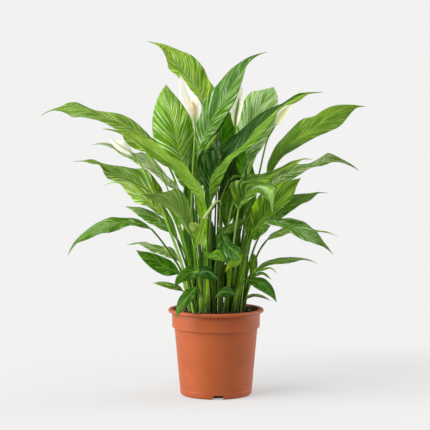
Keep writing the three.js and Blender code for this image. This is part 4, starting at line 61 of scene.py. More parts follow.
# Shapes in tenths of a millimetre, in the frame of the part.
# Each leaf: name, facing, stalk radius at the soil and at the blade, arching, colouring
# (left half, right half, change towards the tip, painted sheen streaks, stalk, pale stalk),
# stalk centreline points, then blade rows of midrib, left edge and right edge points. The colouring holds painted shade
# and painted light: leaves, halves, tips and stalks are darker where they lie in shade and lighter where light falls,
# and the pale stalk is partly painted highlight.
LEAVES = [
    ('leaf_top_left', 1, 2.51, 1.5, 0.1, (1.78, 1.34, 4.29, 1.78, 1.34, 4.29, 1, 1, 1, 0.1, 1.15, 0.0),
     [-150,140,1120,-143,145,1444,-129,146,1768,-110,147,2092,-91,152,2415,-75,163,2739,-67,188,3062,-72,232,3383,-95,301,3699],
     [-95,301,3699,-95,301,3699,-95,301,3699,-109,328,3769,-126,289,3760,-44,339,3767,-123,356,3839,-156,248,3821,5,377,3835,-144,385,3907,-184,232,3883,32,425,3909,-172,414,3973,-206,228,3945,36,468,3991,-205,444,4037,-230,236,4004,23,511,4072,-240,474,4100,-271,255,4058,-4,558,4142,-277,505,4162,-324,283,4105,-48,609,4202,-317,536,4222,-380,316,4153,-92,647,4261,-361,568,4280,-432,353,4208,-122,649,4323,-408,600,4335,-485,392,4269,-142,628,4385,-455,633,4390,-534,436,4324,-173,636,4445,-502,666,4447,-580,488,4364,-221,666,4507,-548,700,4503,-622,546,4400,-282,700,4567,-597,734,4558,-656,598,4452,-362,736,4622,-649,769,4610,-675,643,4534,-482,789,4666,-704,804,4659,-705,694,4612,-595,853,4704,-760,840,4708,-748,755,4678,-692,896,4738,-821,876,4749,-805,819,4734,-784,920,4767,-890,913,4778,-881,893,4771,-873,929,4786,-960,950,4803,-960,950,4803,-960,950,4803]),
    ('leaf_top_center', 1, 2.6, 1.56, 0.1, (0.55, 0.72, 0.19, 0.7, 0.81, 0.19, 1, 1, 1, 0.65, 0.69, 0.03),
     [-177,23,1122,-185,18,1378,-201,22,1634,-222,31,1890,-243,36,2145,-262,35,2401,-275,35,2657,-275,32,2914,-257,16,3169],
     [-257,17,3169,-257,17,3169,-257,17,3169,-239,4,3259,-267,46,3257,-215,-38,3259,-219,-6,3349,-276,107,3343,-173,-124,3343,-192,-15,3436,-282,140,3427,-136,-177,3404,-160,-21,3521,-284,159,3512,-100,-211,3453,-124,-24,3606,-275,168,3604,-57,-228,3507,-86,-24,3688,-256,172,3701,-9,-232,3562,-43,-22,3768,-226,173,3800,42,-232,3633,3,-18,3846,-185,173,3900,96,-230,3718,50,-10,3924,-141,172,3992,141,-220,3794,98,0,4001,-94,171,4077,179,-202,3861,146,13,4078,-41,173,4154,216,-180,3936,193,28,4155,17,180,4219,256,-155,4024,241,47,4232,80,187,4284,294,-124,4114,291,68,4308,146,192,4360,327,-87,4201,343,91,4383,218,199,4437,358,-43,4288,393,118,4459,298,211,4502,387,8,4379,448,147,4531,389,224,4557,426,63,4472,520,178,4587,491,235,4601,513,120,4563,604,213,4625,593,233,4630,605,191,4620,692,250,4651,692,250,4651,692,250,4651]),
    ('leaf_left_of_center_broad', 1, 2.28, 1.37, 0.1, (1.56, 1.37, 1.31, 1.59, 1.34, 0.84, 1, 1, 1, 0.85, 1.16, 0.0),
     [-232,75,1122,-239,70,1355,-248,81,1588,-259,93,1820,-272,94,2053,-291,94,2286,-316,89,2518,-349,74,2748,-393,58,2976],
     [-393,56,2977,-393,56,2977,-393,56,2977,-411,51,3038,-439,11,3027,-400,95,3036,-429,49,3099,-487,-60,3081,-403,170,3093,-449,50,3160,-544,-97,3136,-390,214,3147,-468,53,3220,-606,-110,3192,-369,241,3199,-486,59,3281,-664,-103,3247,-349,256,3256,-500,67,3343,-718,-74,3302,-330,261,3318,-514,77,3405,-766,-24,3356,-315,258,3382,-527,89,3466,-806,43,3408,-303,250,3450,-540,104,3528,-837,95,3462,-295,239,3520,-553,120,3590,-855,120,3521,-298,227,3587,-564,139,3652,-862,139,3583,-309,215,3651,-576,159,3714,-865,159,3646,-325,197,3713,-589,182,3775,-864,182,3707,-346,190,3767,-603,207,3837,-860,207,3768,-373,207,3816,-616,234,3899,-850,234,3832,-406,234,3869,-630,263,3960,-836,263,3898,-446,263,3924,-643,294,4022,-817,294,3966,-491,294,3982,-659,327,4084,-791,327,4035,-543,327,4045,-675,363,4145,-753,362,4110,-605,363,4117,-683,400,4208,-683,400,4208,-683,400,4208]),
    ('leaf_right_of_center_broad', 1, 2.34, 1.4, 0.1, (1.54, 1.38, 1.06, 1.54, 1.38, 1.06, 1, 1, 1, 4.5, 0.96, 0.0),
     [137,180,1120,157,179,1360,187,175,1598,226,170,1836,269,166,2072,314,165,2309,355,172,2546,389,188,2783,409,220,3021],
     [409,220,3021,409,220,3021,409,220,3021,408,235,3082,377,272,3080,437,198,3085,408,252,3144,346,352,3138,466,152,3150,411,271,3205,320,409,3197,506,139,3211,415,292,3266,301,455,3257,558,151,3270,422,314,3327,285,490,3318,613,187,3327,430,338,3388,275,519,3378,660,248,3385,440,363,3448,269,542,3438,704,330,3442,453,390,3508,269,562,3501,742,386,3502,471,419,3567,276,579,3568,772,419,3561,492,450,3625,287,589,3638,796,450,3622,515,482,3682,301,588,3711,816,482,3685,538,516,3740,316,569,3790,831,516,3753,564,552,3796,336,563,3869,842,552,3821,592,590,3852,366,590,3941,851,590,3879,622,629,3906,406,629,4011,856,629,3929,654,670,3960,454,670,4072,857,670,3975,688,712,4012,512,712,4107,855,712,4022,723,756,4064,582,756,4118,846,756,4067,761,802,4115,674,803,4137,829,802,4114,800,850,4165,800,850,4165,800,850,4165]),
    ('leaf_crossing_center', 1, 2.6, 1.56, 0.1, (0.13, 0.31, 0.01, 1.0, 0.92, 0.88, 1.5, 1.25, 1.3, 0.2, 0.97, 0.21),
     [-68,-80,1120,-71,-85,1305,-76,-95,1490,-81,-106,1675,-86,-116,1859,-88,-125,2044,-84,-131,2229,-76,-134,2414,-67,-149,2599],
     [-67,-156,2599,-67,-156,2599,-67,-156,2599,-80,-179,2718,-124,-143,2715,-21,-204,2695,-82,-197,2836,-173,-105,2829,25,-271,2797,-66,-208,2953,-208,-96,2943,69,-329,2907,-17,-213,3059,-221,-125,3068,119,-380,3026,57,-214,3149,-200,-181,3196,172,-420,3137,134,-211,3237,-148,-195,3325,230,-441,3230,227,-206,3306,-37,-137,3380,308,-448,3296,325,-199,3369,106,-53,3418,405,-443,3354,407,-190,3452,243,-1,3537,520,-425,3436,476,-180,3545,348,27,3618,605,-402,3527,549,-168,3636,450,43,3695,675,-381,3619,638,-155,3712,563,48,3788,731,-363,3707,728,-141,3786,679,50,3862,786,-340,3791,819,-125,3859,795,52,3914,844,-308,3871,911,-107,3931,900,50,3948,919,-266,3934,1008,-89,3997,999,40,4018,1031,-213,3965,1108,-69,4058,1104,27,4089,1135,-159,4019,1219,-47,4094,1223,17,4106,1227,-109,4082,1337,-24,4105,1338,-2,4111,1340,-46,4099,1455,0,4114,1455,0,4114,1455,0,4114]),
    ('leaf_right_big', 1, 2.6, 1.56, 0.1, (1.19, 1.03, 0.85, 1.19, 1.03, 0.85, 1, 1, 1, 0.15, 1.29, 0.04),
     [260,203,1113,289,186,1340,332,166,1565,385,149,1787,447,135,2008,513,132,2227,580,132,2447,642,143,2668,695,187,2886],
     [695,185,2886,695,185,2886,695,185,2886,710,227,2973,684,268,2974,733,184,2967,739,269,3057,690,385,3060,774,150,3046,782,311,3134,712,471,3148,817,142,3118,836,352,3205,754,541,3248,871,147,3188,898,394,3271,809,600,3348,931,165,3250,965,435,3331,872,652,3416,992,193,3293,1036,476,3388,940,698,3475,1062,230,3331,1110,518,3441,1011,736,3548,1152,271,3381,1186,559,3493,1083,767,3619,1247,318,3431,1263,600,3543,1154,794,3683,1340,371,3477,1339,641,3595,1230,827,3726,1428,432,3514,1414,682,3649,1309,865,3741,1512,504,3537,1489,722,3703,1389,894,3774,1597,591,3568,1564,762,3757,1471,914,3827,1685,690,3607,1643,803,3806,1556,929,3868,1759,780,3661,1727,842,3848,1645,942,3898,1817,829,3727,1815,882,3881,1752,956,3916,1885,853,3805,1908,922,3898,1872,973,3917,1959,889,3868,2003,961,3897,1985,979,3906,2029,947,3885,2099,1000,3893,2099,1000,3893,2099,1000,3893]),
    ('leaf_right_upper_mid', 1, 2.09, 1.25, 0.1, (1.42, 1.27, 2.37, 2.21, 1.67, 3.46, 1, 1, 1, 0.2, 1.95, 0.26),
     [177,20,1120,178,9,1338,170,-8,1555,160,-27,1772,153,-42,1990,157,-53,2207,178,-98,2420,229,-122,2630,323,-119,2826],
     [323,-117,2826,323,-117,2826,323,-117,2826,362,-107,2863,329,-91,2880,383,-122,2831,402,-96,2899,336,-53,2932,443,-136,2837,448,-87,2926,366,-19,2975,507,-146,2843,501,-82,2937,426,12,3001,573,-160,2847,555,-78,2945,490,38,3012,634,-175,2857,608,-72,2956,543,62,3004,689,-183,2876,661,-60,2969,595,84,2991,741,-183,2899,713,-45,2985,652,106,2996,786,-176,2921,763,-30,3006,714,124,3016,826,-165,2943,812,-15,3029,774,137,3040,864,-151,2969,861,1,3053,826,147,3063,905,-134,3002,908,14,3079,872,151,3086,947,-117,3043,955,15,3106,920,141,3113,991,-106,3081,1002,12,3134,972,124,3148,1039,-96,3111,1050,11,3160,1028,108,3177,1085,-82,3140,1100,14,3180,1090,94,3190,1121,-65,3171,1152,19,3197,1150,80,3202,1159,-41,3195,1205,28,3211,1206,69,3216,1204,-12,3205,1259,39,3206,1260,53,3209,1258,25,3202,1313,51,3194,1313,51,3194,1313,51,3194]),
    ('leaf_right_far_tip', 1, 2.42, 1.45, 0.1, (0.91, 0.76, 1.48, 0.91, 0.76, 1.48, 1, 1, 1, 0.8, 1.04, 0.0),
     [271,-58,1122,288,-61,1330,307,-72,1537,330,-90,1743,359,-114,1947,399,-142,2150,452,-171,2349,523,-199,2542,617,-227,2726],
     [617,-229,2726,617,-229,2726,617,-229,2726,665,-242,2783,637,-231,2806,684,-259,2764,715,-255,2840,664,-222,2882,751,-302,2805,766,-260,2893,715,-197,2944,819,-330,2856,822,-256,2943,782,-167,2997,885,-344,2909,881,-251,2987,856,-145,3044,941,-350,2939,944,-248,3026,934,-131,3086,995,-352,2960,1011,-245,3059,1009,-123,3121,1060,-354,2992,1080,-245,3086,1086,-119,3144,1128,-361,3028,1152,-246,3106,1168,-116,3143,1191,-369,3065,1223,-247,3126,1240,-117,3146,1253,-371,3095,1293,-247,3149,1298,-122,3167,1314,-365,3112,1362,-246,3178,1356,-132,3210,1383,-351,3122,1431,-243,3205,1425,-150,3263,1454,-336,3145,1503,-239,3224,1507,-168,3306,1525,-324,3176,1577,-235,3216,1601,-172,3272,1590,-312,3184,1649,-230,3198,1682,-174,3231,1654,-295,3178,1720,-223,3175,1750,-181,3194,1718,-274,3163,1790,-216,3145,1810,-188,3156,1787,-250,3136,1855,-209,3109,1865,-199,3114,1855,-220,3102,1918,-200,3067,1918,-200,3067,1918,-200,3067]),
    ('leaf_right_folded', 1, 2.17, 1.3, 0.04, (0.68, 0.67, 0.8, 0.68, 0.67, 0.8, 3.2, 2.55, 13, 0.2, 1.51, 0.3),
     [135,-220,1120,149,-226,1297,168,-236,1473,187,-251,1649,206,-272,1825,225,-299,1999,244,-333,2172,267,-358,2347,294,-367,2522],
     [294,-362,2522,294,-362,2522,294,-362,2522,307,-396,2567,272,-374,2570,313,-424,2552,320,-431,2613,250,-377,2617,332,-509,2585,335,-469,2658,230,-405,2667,355,-577,2617,355,-507,2700,211,-464,2719,383,-636,2649,378,-547,2741,197,-534,2776,414,-688,2681,403,-588,2781,191,-587,2846,447,-734,2713,431,-628,2818,199,-628,2921,482,-778,2744,465,-669,2849,248,-665,2957,506,-822,2775,502,-709,2873,329,-675,2963,524,-866,2804,544,-750,2886,426,-652,2953,547,-903,2817,587,-790,2888,533,-653,2932,573,-933,2810,628,-831,2876,640,-693,2914,603,-957,2791,661,-871,2851,740,-768,2909,637,-979,2759,685,-911,2818,794,-845,2883,664,-1004,2730,700,-951,2780,787,-892,2826,682,-1033,2709,710,-991,2740,769,-930,2768,696,-1061,2688,718,-1031,2701,758,-979,2719,706,-1086,2665,724,-1071,2660,747,-1035,2674,715,-1108,2639,728,-1110,2620,738,-1098,2627,724,-1124,2610,731,-1150,2580,731,-1150,2580,731,-1150,2580]),
    ('leaf_right_lower_broad', 1, 2.0, 1.2, 0.1, (0.98, 0.91, 0.49, 0.98, 0.91, 0.49, 1, 1, 1, 0.15, 1.03, 0.0),
     [298,-121,1117,309,-126,1258,323,-135,1399,341,-141,1539,362,-147,1679,388,-154,1818,419,-163,1956,455,-177,2092,498,-200,2225],
     [498,-200,2225,498,-200,2225,498,-200,2225,518,-215,2271,481,-209,2298,547,-237,2267,539,-228,2317,466,-226,2372,595,-290,2311,567,-241,2359,462,-240,2442,641,-330,2351,599,-252,2397,465,-252,2509,682,-362,2388,632,-263,2434,476,-263,2570,722,-386,2425,665,-273,2471,498,-273,2622,761,-404,2463,698,-282,2508,525,-282,2670,799,-416,2501,731,-291,2545,557,-291,2714,835,-426,2534,764,-301,2582,593,-301,2756,868,-433,2561,797,-312,2618,632,-312,2794,900,-436,2586,830,-325,2656,673,-325,2827,934,-439,2616,863,-340,2693,717,-340,2854,968,-440,2651,896,-353,2730,762,-353,2876,999,-439,2690,930,-361,2765,806,-361,2893,1021,-439,2732,964,-367,2800,853,-367,2906,1039,-438,2776,999,-372,2835,907,-372,2923,1057,-434,2822,1033,-376,2870,965,-376,2941,1074,-426,2868,1067,-373,2905,1023,-373,2956,1093,-407,2909,1101,-363,2940,1078,-363,2966,1113,-375,2943,1134,-351,2976,1134,-351,2976,1134,-351,2976]),
    ('leaf_right_dark', 1, 2.14, 1.28, 0.1, (0.85, 0.88, 0.37, 0.85, 0.88, 0.37, 1, 1, 1, 0.2, 1.26, 0.22),
     [340,-7,1125,358,-10,1281,379,-17,1437,406,-27,1592,438,-37,1746,479,-48,1897,530,-60,2046,595,-56,2189,677,-17,2317],
     [677,-18,2317,677,-18,2317,677,-18,2317,714,14,2347,701,36,2371,726,-12,2338,751,46,2377,725,104,2425,775,-26,2361,788,78,2406,752,159,2475,823,-22,2383,827,110,2435,786,210,2515,868,-10,2408,866,143,2462,825,257,2546,912,8,2435,906,174,2489,868,299,2574,954,31,2461,946,206,2516,911,335,2605,996,59,2486,987,238,2543,956,365,2641,1037,89,2508,1028,269,2569,1002,394,2673,1077,123,2529,1070,300,2594,1049,424,2694,1119,159,2549,1114,331,2617,1098,456,2701,1164,199,2567,1158,362,2637,1147,487,2701,1210,240,2585,1204,392,2656,1198,512,2704,1251,281,2604,1252,422,2672,1251,532,2707,1288,322,2625,1299,453,2686,1303,549,2709,1325,364,2647,1347,482,2701,1352,563,2713,1362,407,2677,1396,512,2712,1400,573,2716,1402,453,2705,1447,542,2714,1449,582,2714,1449,501,2712,1499,571,2710,1499,585,2711,1500,557,2709,1550,600,2706,1550,600,2706,1550,600,2706]),
    ('leaf_right_drooping', 1, 2.14, 1.28, 0.1, (0.71, 0.74, 1.12, 0.71, 0.74, 1.12, 1, 1, 1, 0.45, 1.03, 0.0),
     [324,-226,1118,339,-223,1287,357,-215,1455,373,-215,1623,389,-256,1787,408,-301,1949,434,-341,2111,492,-380,2265,613,-417,2376],
     [613,-418,2376,613,-418,2376,613,-418,2376,664,-462,2396,657,-435,2411,664,-489,2376,715,-504,2412,704,-428,2441,714,-578,2376,768,-543,2415,764,-437,2454,762,-648,2369,819,-580,2407,830,-452,2454,806,-706,2358,870,-614,2396,892,-474,2454,850,-755,2342,920,-646,2382,947,-500,2452,893,-794,2322,970,-675,2366,1002,-529,2445,938,-825,2300,1019,-702,2350,1058,-556,2430,986,-851,2274,1068,-727,2332,1112,-584,2412,1036,-871,2248,1116,-750,2312,1162,-612,2393,1084,-887,2224,1163,-770,2290,1209,-642,2373,1131,-900,2202,1209,-788,2266,1253,-673,2351,1177,-910,2184,1253,-804,2239,1291,-705,2331,1222,-919,2170,1298,-818,2211,1328,-733,2303,1266,-924,2159,1343,-829,2184,1366,-750,2252,1314,-925,2151,1387,-838,2156,1404,-764,2191,1362,-919,2142,1428,-844,2122,1444,-784,2136,1408,-906,2116,1465,-848,2085,1480,-807,2088,1451,-889,2080,1501,-850,2045,1508,-836,2046,1494,-864,2042,1536,-850,2004,1536,-850,2004,1536,-850,2004]),
    ('leaf_right_arching_behind', 1, 2.07, 1.24, 0.1, (2.28, 1.57, 7.92, 2.28, 1.57, 7.92, 1, 1, 1, 0.5, 0.77, 0.0),
     [366,-81,1120,386,-80,1249,407,-80,1378,432,-82,1506,462,-85,1633,501,-85,1758,544,-83,1882,600,-70,1998,677,-51,2102],
     [677,-49,2102,677,-49,2102,677,-49,2102,714,-35,2136,707,-18,2150,720,-49,2114,754,-22,2167,741,24,2193,765,-62,2129,799,-10,2190,792,58,2219,818,-70,2146,848,1,2204,850,84,2237,872,-76,2164,898,14,2215,907,100,2263,923,-78,2184,949,26,2221,964,111,2289,973,-75,2203,1000,39,2225,1018,120,2303,1024,-66,2209,1052,52,2227,1069,134,2306,1075,-53,2203,1104,66,2227,1121,150,2303,1127,-38,2196,1156,80,2227,1173,168,2291,1179,-21,2197,1207,95,2225,1226,186,2272,1232,-2,2201,1259,110,2223,1277,201,2254,1281,17,2205,1311,126,2221,1324,213,2238,1323,38,2210,1364,142,2218,1370,222,2223,1364,62,2213,1416,159,2213,1418,228,2213,1410,90,2211,1468,176,2208,1470,233,2209,1464,119,2204,1519,194,2197,1522,236,2200,1517,151,2193,1570,212,2180,1571,240,2182,1568,184,2177,1620,231,2161,1620,240,2162,1619,221,2159,1669,250,2142,1669,250,2142,1669,250,2142]),
    ('leaf_low_right_drooping', 1, 1.73, 1.04, 0.1, (0.3, 0.48, 0.03, 0.3, 0.48, 0.03, 1, 1, 1, 0.1, 0.53, 0.0),
     [282,-282,1123,290,-281,1228,297,-276,1334,311,-276,1438,340,-277,1539,389,-309,1601],
     [389,-337,1605,389,-337,1605,389,-337,1605,416,-387,1609,415,-372,1620,407,-402,1596,443,-399,1609,441,-356,1629,426,-437,1584,471,-416,1609,470,-357,1638,446,-469,1572,498,-440,1607,504,-370,1645,466,-500,1560,524,-464,1603,544,-390,1651,486,-527,1548,550,-489,1598,583,-415,1653,506,-552,1535,576,-514,1590,618,-442,1649,528,-576,1524,600,-537,1580,648,-467,1639,550,-600,1514,623,-561,1569,675,-490,1623,573,-624,1504,645,-583,1556,700,-514,1604,597,-646,1495,667,-605,1541,721,-537,1584,620,-666,1483,686,-625,1525,740,-560,1560,643,-684,1471,705,-645,1507,755,-584,1534,666,-699,1458,723,-665,1489,768,-608,1508,689,-713,1444,739,-683,1469,778,-632,1481,711,-726,1432,755,-701,1449,784,-658,1455,733,-737,1419,768,-717,1427,789,-684,1429,752,-745,1405,779,-733,1403,793,-711,1404,769,-751,1389,789,-749,1380,796,-741,1380,784,-755,1372,798,-763,1356,798,-763,1356,798,-763,1356]),
    ('leaf_low_right_small', 1, 1.57, 0.94, 0.1, (0.9, 0.75, 1.0, 0.9, 0.75, 1.0, 1, 1, 1, 0.4, 1.84, 0.3),
     [355,107,1116,356,105,1147,357,103,1178,359,101,1208,364,97,1239,375,91,1266],
     [375,86,1267,375,86,1267,375,86,1267,390,98,1280,388,104,1285,394,92,1276,405,118,1292,401,134,1301,412,103,1284,420,140,1303,414,162,1317,431,118,1292,437,160,1312,431,186,1330,450,134,1298,456,178,1319,450,208,1338,469,149,1303,475,194,1324,472,227,1343,487,163,1307,496,209,1328,494,243,1346,504,176,1309,516,223,1329,517,258,1347,523,189,1310,537,237,1328,538,271,1346,542,203,1309,558,250,1324,559,283,1343,561,217,1305,578,263,1320,579,294,1339,581,232,1301,599,276,1314,599,305,1333,600,247,1295,619,289,1307,620,315,1326,619,262,1290,639,302,1299,641,325,1316,637,278,1284,659,315,1289,663,335,1303,653,294,1277,677,328,1279,684,344,1288,671,311,1269,696,341,1268,703,353,1275,689,329,1261,715,354,1256,720,362,1261,710,346,1252,733,367,1244,736,370,1247,731,364,1242,752,380,1232,752,380,1232,752,380,1232]),
    ('leaf_right_narrow', 1, 2.01, 1.21, 0.1, (1.62, 1.22, 4.23, 1.62, 1.22, 4.23, 1, 1, 1, 0.5, 0.84, 0.0),
     [368,53,1118,380,49,1234,396,43,1349,420,34,1463,457,23,1572,516,25,1672],
     [516,24,1672,516,24,1672,516,24,1672,553,40,1699,548,52,1705,560,29,1692,590,57,1727,580,90,1738,604,26,1714,628,74,1752,615,121,1768,647,31,1733,668,92,1774,654,148,1791,686,39,1751,711,110,1791,699,173,1808,724,51,1764,756,128,1803,748,195,1825,768,66,1772,802,146,1811,801,214,1838,814,84,1774,849,164,1815,852,231,1847,860,102,1775,897,182,1815,899,248,1849,905,121,1773,944,200,1814,946,264,1848,949,140,1773,991,218,1814,993,279,1848,996,159,1777,1039,236,1816,1041,294,1847,1044,179,1785,1086,254,1817,1088,308,1844,1091,200,1793,1134,272,1819,1135,321,1839,1136,222,1802,1181,290,1819,1183,334,1832,1180,245,1808,1229,308,1812,1233,344,1820,1226,271,1806,1276,326,1800,1283,353,1804,1272,298,1796,1321,344,1783,1328,362,1785,1318,325,1782,1366,362,1764,1370,368,1765,1365,356,1763,1411,380,1745,1411,380,1745,1411,380,1745]),
    ('leaf_right_wispy', 1, 1.56, 0.94, 0.1, (1.76, 1.49, 1.88, 1.76, 1.49, 1.88, 1, 1, 1, 0.4, 1.09, 0.0),
     [328,157,1118,339,148,1223,353,140,1329,373,129,1432,408,139,1532,465,176,1613],
     [465,177,1613,465,177,1613,465,177,1613,483,191,1622,483,198,1627,486,184,1620,501,205,1632,502,222,1642,507,186,1627,520,218,1642,520,242,1657,528,192,1633,538,230,1651,539,258,1671,549,200,1639,557,242,1659,558,273,1683,570,209,1645,577,254,1666,578,288,1690,590,219,1651,598,266,1671,598,302,1694,609,229,1656,618,278,1676,619,315,1696,628,239,1661,639,289,1680,640,327,1696,647,250,1665,660,300,1684,661,339,1697,666,262,1670,681,311,1688,681,348,1699,685,274,1675,702,322,1691,702,357,1701,704,286,1680,723,332,1694,723,365,1702,724,299,1684,744,342,1692,745,372,1699,743,313,1685,765,352,1684,767,378,1690,761,327,1678,783,362,1672,786,383,1676,777,342,1665,799,372,1657,804,387,1661,793,357,1652,814,382,1640,818,392,1643,810,372,1637,827,391,1622,829,394,1624,825,388,1620,841,400,1604,841,400,1604,841,400,1604]),
    ('leaf_right_small_upright', 1, 1.46, 0.87, 0.1, (0.86, 0.89, 0.37, 0.86, 0.89, 0.37, 1, 1, 1, 0.2, 1.45, 0.29),
     [338,-171,1122,357,-171,1220,387,-170,1316,423,-171,1409,459,-175,1503,485,-180,1600],
     [485,-180,1600,485,-180,1600,485,-180,1600,488,-181,1617,479,-174,1616,497,-188,1615,490,-182,1635,472,-163,1632,510,-200,1630,492,-184,1652,465,-158,1648,522,-206,1645,495,-186,1669,459,-157,1665,532,-209,1660,496,-188,1687,455,-158,1684,541,-211,1676,498,-190,1704,452,-161,1704,546,-212,1692,499,-192,1722,450,-166,1725,550,-213,1710,501,-194,1739,449,-171,1746,553,-214,1728,502,-197,1757,449,-179,1768,555,-214,1745,503,-200,1775,449,-191,1788,557,-209,1762,505,-203,1792,451,-201,1809,559,-205,1778,506,-206,1810,454,-206,1828,560,-206,1795,507,-210,1828,458,-210,1847,560,-210,1813,509,-214,1845,461,-214,1865,560,-214,1831,510,-218,1863,464,-218,1883,558,-218,1852,510,-222,1881,467,-222,1898,555,-222,1875,511,-226,1898,473,-226,1913,548,-226,1898,511,-230,1916,482,-230,1927,538,-230,1917,511,-235,1934,496,-235,1939,525,-235,1935,511,-240,1952,511,-240,1952,511,-240,1952]),
    ('leaf_left_upper_long', -1, 2.6, 1.56, 0.1, (1.19, 0.99, 0.95, 1.19, 0.99, 0.95, 1, 1, 1, 0.4, 2.2, 0.0),
     [-260,202,1109,-282,178,1386,-307,154,1662,-338,143,1939,-378,125,2214,-432,124,2487,-504,163,2753,-600,222,3007,-721,187,3254],
     [-720,161,3256,-720,161,3256,-720,161,3256,-779,146,3328,-757,180,3332,-798,115,3304,-841,147,3398,-796,240,3401,-878,60,3355,-908,159,3462,-841,287,3445,-970,36,3419,-982,178,3519,-894,327,3494,-1060,28,3477,-1063,201,3565,-953,363,3572,-1139,32,3516,-1145,227,3610,-1025,395,3643,-1219,48,3550,-1228,256,3654,-1111,428,3707,-1302,71,3581,-1314,286,3693,-1212,463,3762,-1379,97,3618,-1402,317,3728,-1319,499,3804,-1459,127,3657,-1492,350,3757,-1428,534,3826,-1550,163,3695,-1583,384,3784,-1539,569,3834,-1641,206,3723,-1675,420,3810,-1646,597,3844,-1734,257,3743,-1767,456,3837,-1736,617,3878,-1829,316,3757,-1862,494,3854,-1828,627,3922,-1906,379,3755,-1958,534,3864,-1925,635,3958,-1974,435,3761,-2055,574,3871,-2032,656,3949,-2050,484,3814,-2153,616,3866,-2139,685,3900,-2146,540,3846,-2250,660,3853,-2248,710,3862,-2246,607,3847,-2343,704,3820,-2345,722,3825,-2341,686,3814,-2426,750,3766,-2426,750,3766,-2426,750,3766]),
    ('leaf_left_long_light', 1, 2.6, 1.56, 0.1, (1.69, 1.42, 4.08, 1.16, 1.12, 1.98, 1.15, 1.1, 1.2, 0.1, 1.9, 0.04),
     [-121,-323,1120,-123,-323,1304,-124,-327,1487,-126,-333,1670,-128,-335,1853,-129,-332,2036,-130,-330,2220,-130,-329,2403,-134,-330,2586],
     [-134,-330,2586,-134,-330,2586,-134,-330,2586,-168,-343,2671,-142,-363,2693,-193,-330,2638,-204,-354,2755,-154,-411,2797,-253,-318,2691,-248,-365,2835,-188,-452,2882,-311,-299,2755,-301,-374,2909,-240,-486,2951,-368,-280,2829,-359,-381,2978,-296,-511,3011,-429,-266,2902,-424,-388,3041,-354,-524,3071,-492,-256,2975,-495,-393,3097,-404,-526,3145,-556,-249,3050,-568,-396,3151,-476,-531,3204,-621,-248,3105,-642,-399,3202,-568,-538,3247,-689,-253,3139,-715,-400,3254,-647,-534,3309,-749,-261,3177,-789,-400,3306,-719,-520,3383,-808,-269,3219,-864,-398,3355,-800,-499,3450,-878,-276,3272,-940,-396,3404,-884,-479,3508,-958,-282,3333,-1014,-392,3455,-967,-465,3546,-1052,-288,3407,-1091,-386,3502,-1052,-453,3577,-1133,-297,3468,-1171,-380,3544,-1141,-440,3603,-1201,-305,3514,-1254,-372,3578,-1247,-425,3602,-1273,-315,3561,-1340,-362,3606,-1339,-400,3620,-1351,-324,3593,-1429,-352,3624,-1428,-365,3634,-1434,-339,3615,-1519,-340,3634,-1519,-340,3634,-1519,-340,3634]),
    ('leaf_left_dark_under', -1, 1.51, 0.91, 0.1, (2.0, 1.47, 2.94, 2.0, 1.47, 2.94, 1, 1, 1, 0.4, 2.3, 0.0),
     [-256,-211,1127,-296,-207,1417,-340,-212,1706,-395,-238,1992,-472,-275,2272,-559,-319,2548,-644,-368,2823,-750,-422,3090,-916,-480,3323],
     [-916,-480,3323,-916,-480,3323,-916,-480,3323,-931,-484,3338,-930,-474,3341,-935,-493,3328,-946,-489,3352,-944,-460,3359,-955,-511,3333,-962,-493,3366,-958,-453,3377,-975,-523,3338,-977,-497,3380,-973,-449,3393,-995,-530,3344,-993,-501,3394,-988,-447,3408,-1016,-533,3351,-1009,-505,3408,-1004,-447,3422,-1037,-531,3358,-1026,-509,3421,-1021,-449,3435,-1059,-524,3366,-1042,-513,3434,-1038,-452,3447,-1081,-517,3375,-1059,-516,3447,-1054,-456,3460,-1102,-517,3387,-1076,-520,3459,-1071,-461,3473,-1123,-520,3400,-1093,-523,3471,-1088,-467,3486,-1144,-523,3414,-1110,-527,3483,-1106,-474,3498,-1163,-527,3430,-1128,-530,3495,-1123,-483,3510,-1180,-530,3446,-1145,-533,3506,-1140,-492,3522,-1195,-533,3464,-1163,-536,3517,-1157,-501,3534,-1208,-536,3482,-1180,-539,3529,-1175,-512,3545,-1219,-539,3501,-1196,-542,3543,-1192,-522,3555,-1226,-542,3521,-1212,-545,3557,-1209,-532,3565,-1232,-545,3542,-1227,-547,3571,-1226,-543,3575,-1237,-548,3564,-1243,-550,3585,-1243,-550,3585,-1243,-550,3585]),
    ('leaf_left_greyish', -1, 2.53, 1.52, 0.1, (1.93, 1.25, 5.56, 1.93, 1.25, 5.56, 1, 1, 1, 2.8, 0.76, 0.0),
     [-272,1,1125,-277,-12,1334,-277,-32,1543,-276,-37,1752,-278,-41,1962,-291,-41,2171,-321,-36,2378,-378,-24,2579,-474,-2,2763],
     [-473,-11,2764,-473,-11,2764,-473,-11,2764,-527,-1,2811,-505,21,2827,-540,-25,2793,-581,10,2856,-542,74,2886,-606,-57,2827,-636,30,2900,-595,124,2931,-676,-67,2874,-693,87,2941,-655,205,2975,-744,-31,2922,-747,171,2985,-709,302,3030,-807,40,2968,-801,229,3031,-763,364,3090,-864,90,3012,-858,270,3073,-820,403,3152,-916,127,3042,-917,309,3112,-880,437,3208,-967,164,3066,-981,346,3146,-951,474,3246,-1022,202,3093,-1046,383,3178,-1025,515,3263,-1079,240,3127,-1111,420,3209,-1098,558,3256,-1136,279,3173,-1179,457,3235,-1174,593,3257,-1200,323,3211,-1250,496,3252,-1255,621,3276,-1272,371,3232,-1315,534,3285,-1321,646,3311,-1338,423,3279,-1378,574,3323,-1382,669,3352,-1400,478,3330,-1443,614,3357,-1455,691,3384,-1459,536,3350,-1513,656,3379,-1529,712,3400,-1521,598,3361,-1587,698,3383,-1593,736,3394,-1588,659,3371,-1663,740,3377,-1662,754,3381,-1661,727,3371,-1737,784,3362,-1737,784,3362,-1737,784,3362]),
    ('leaf_left_big', -1, 2.4, 1.44, 0.1, (1.1, 0.95, 0.76, 1.1, 0.95, 0.76, 1, 1, 1, 0.5, 1.91, 0.28),
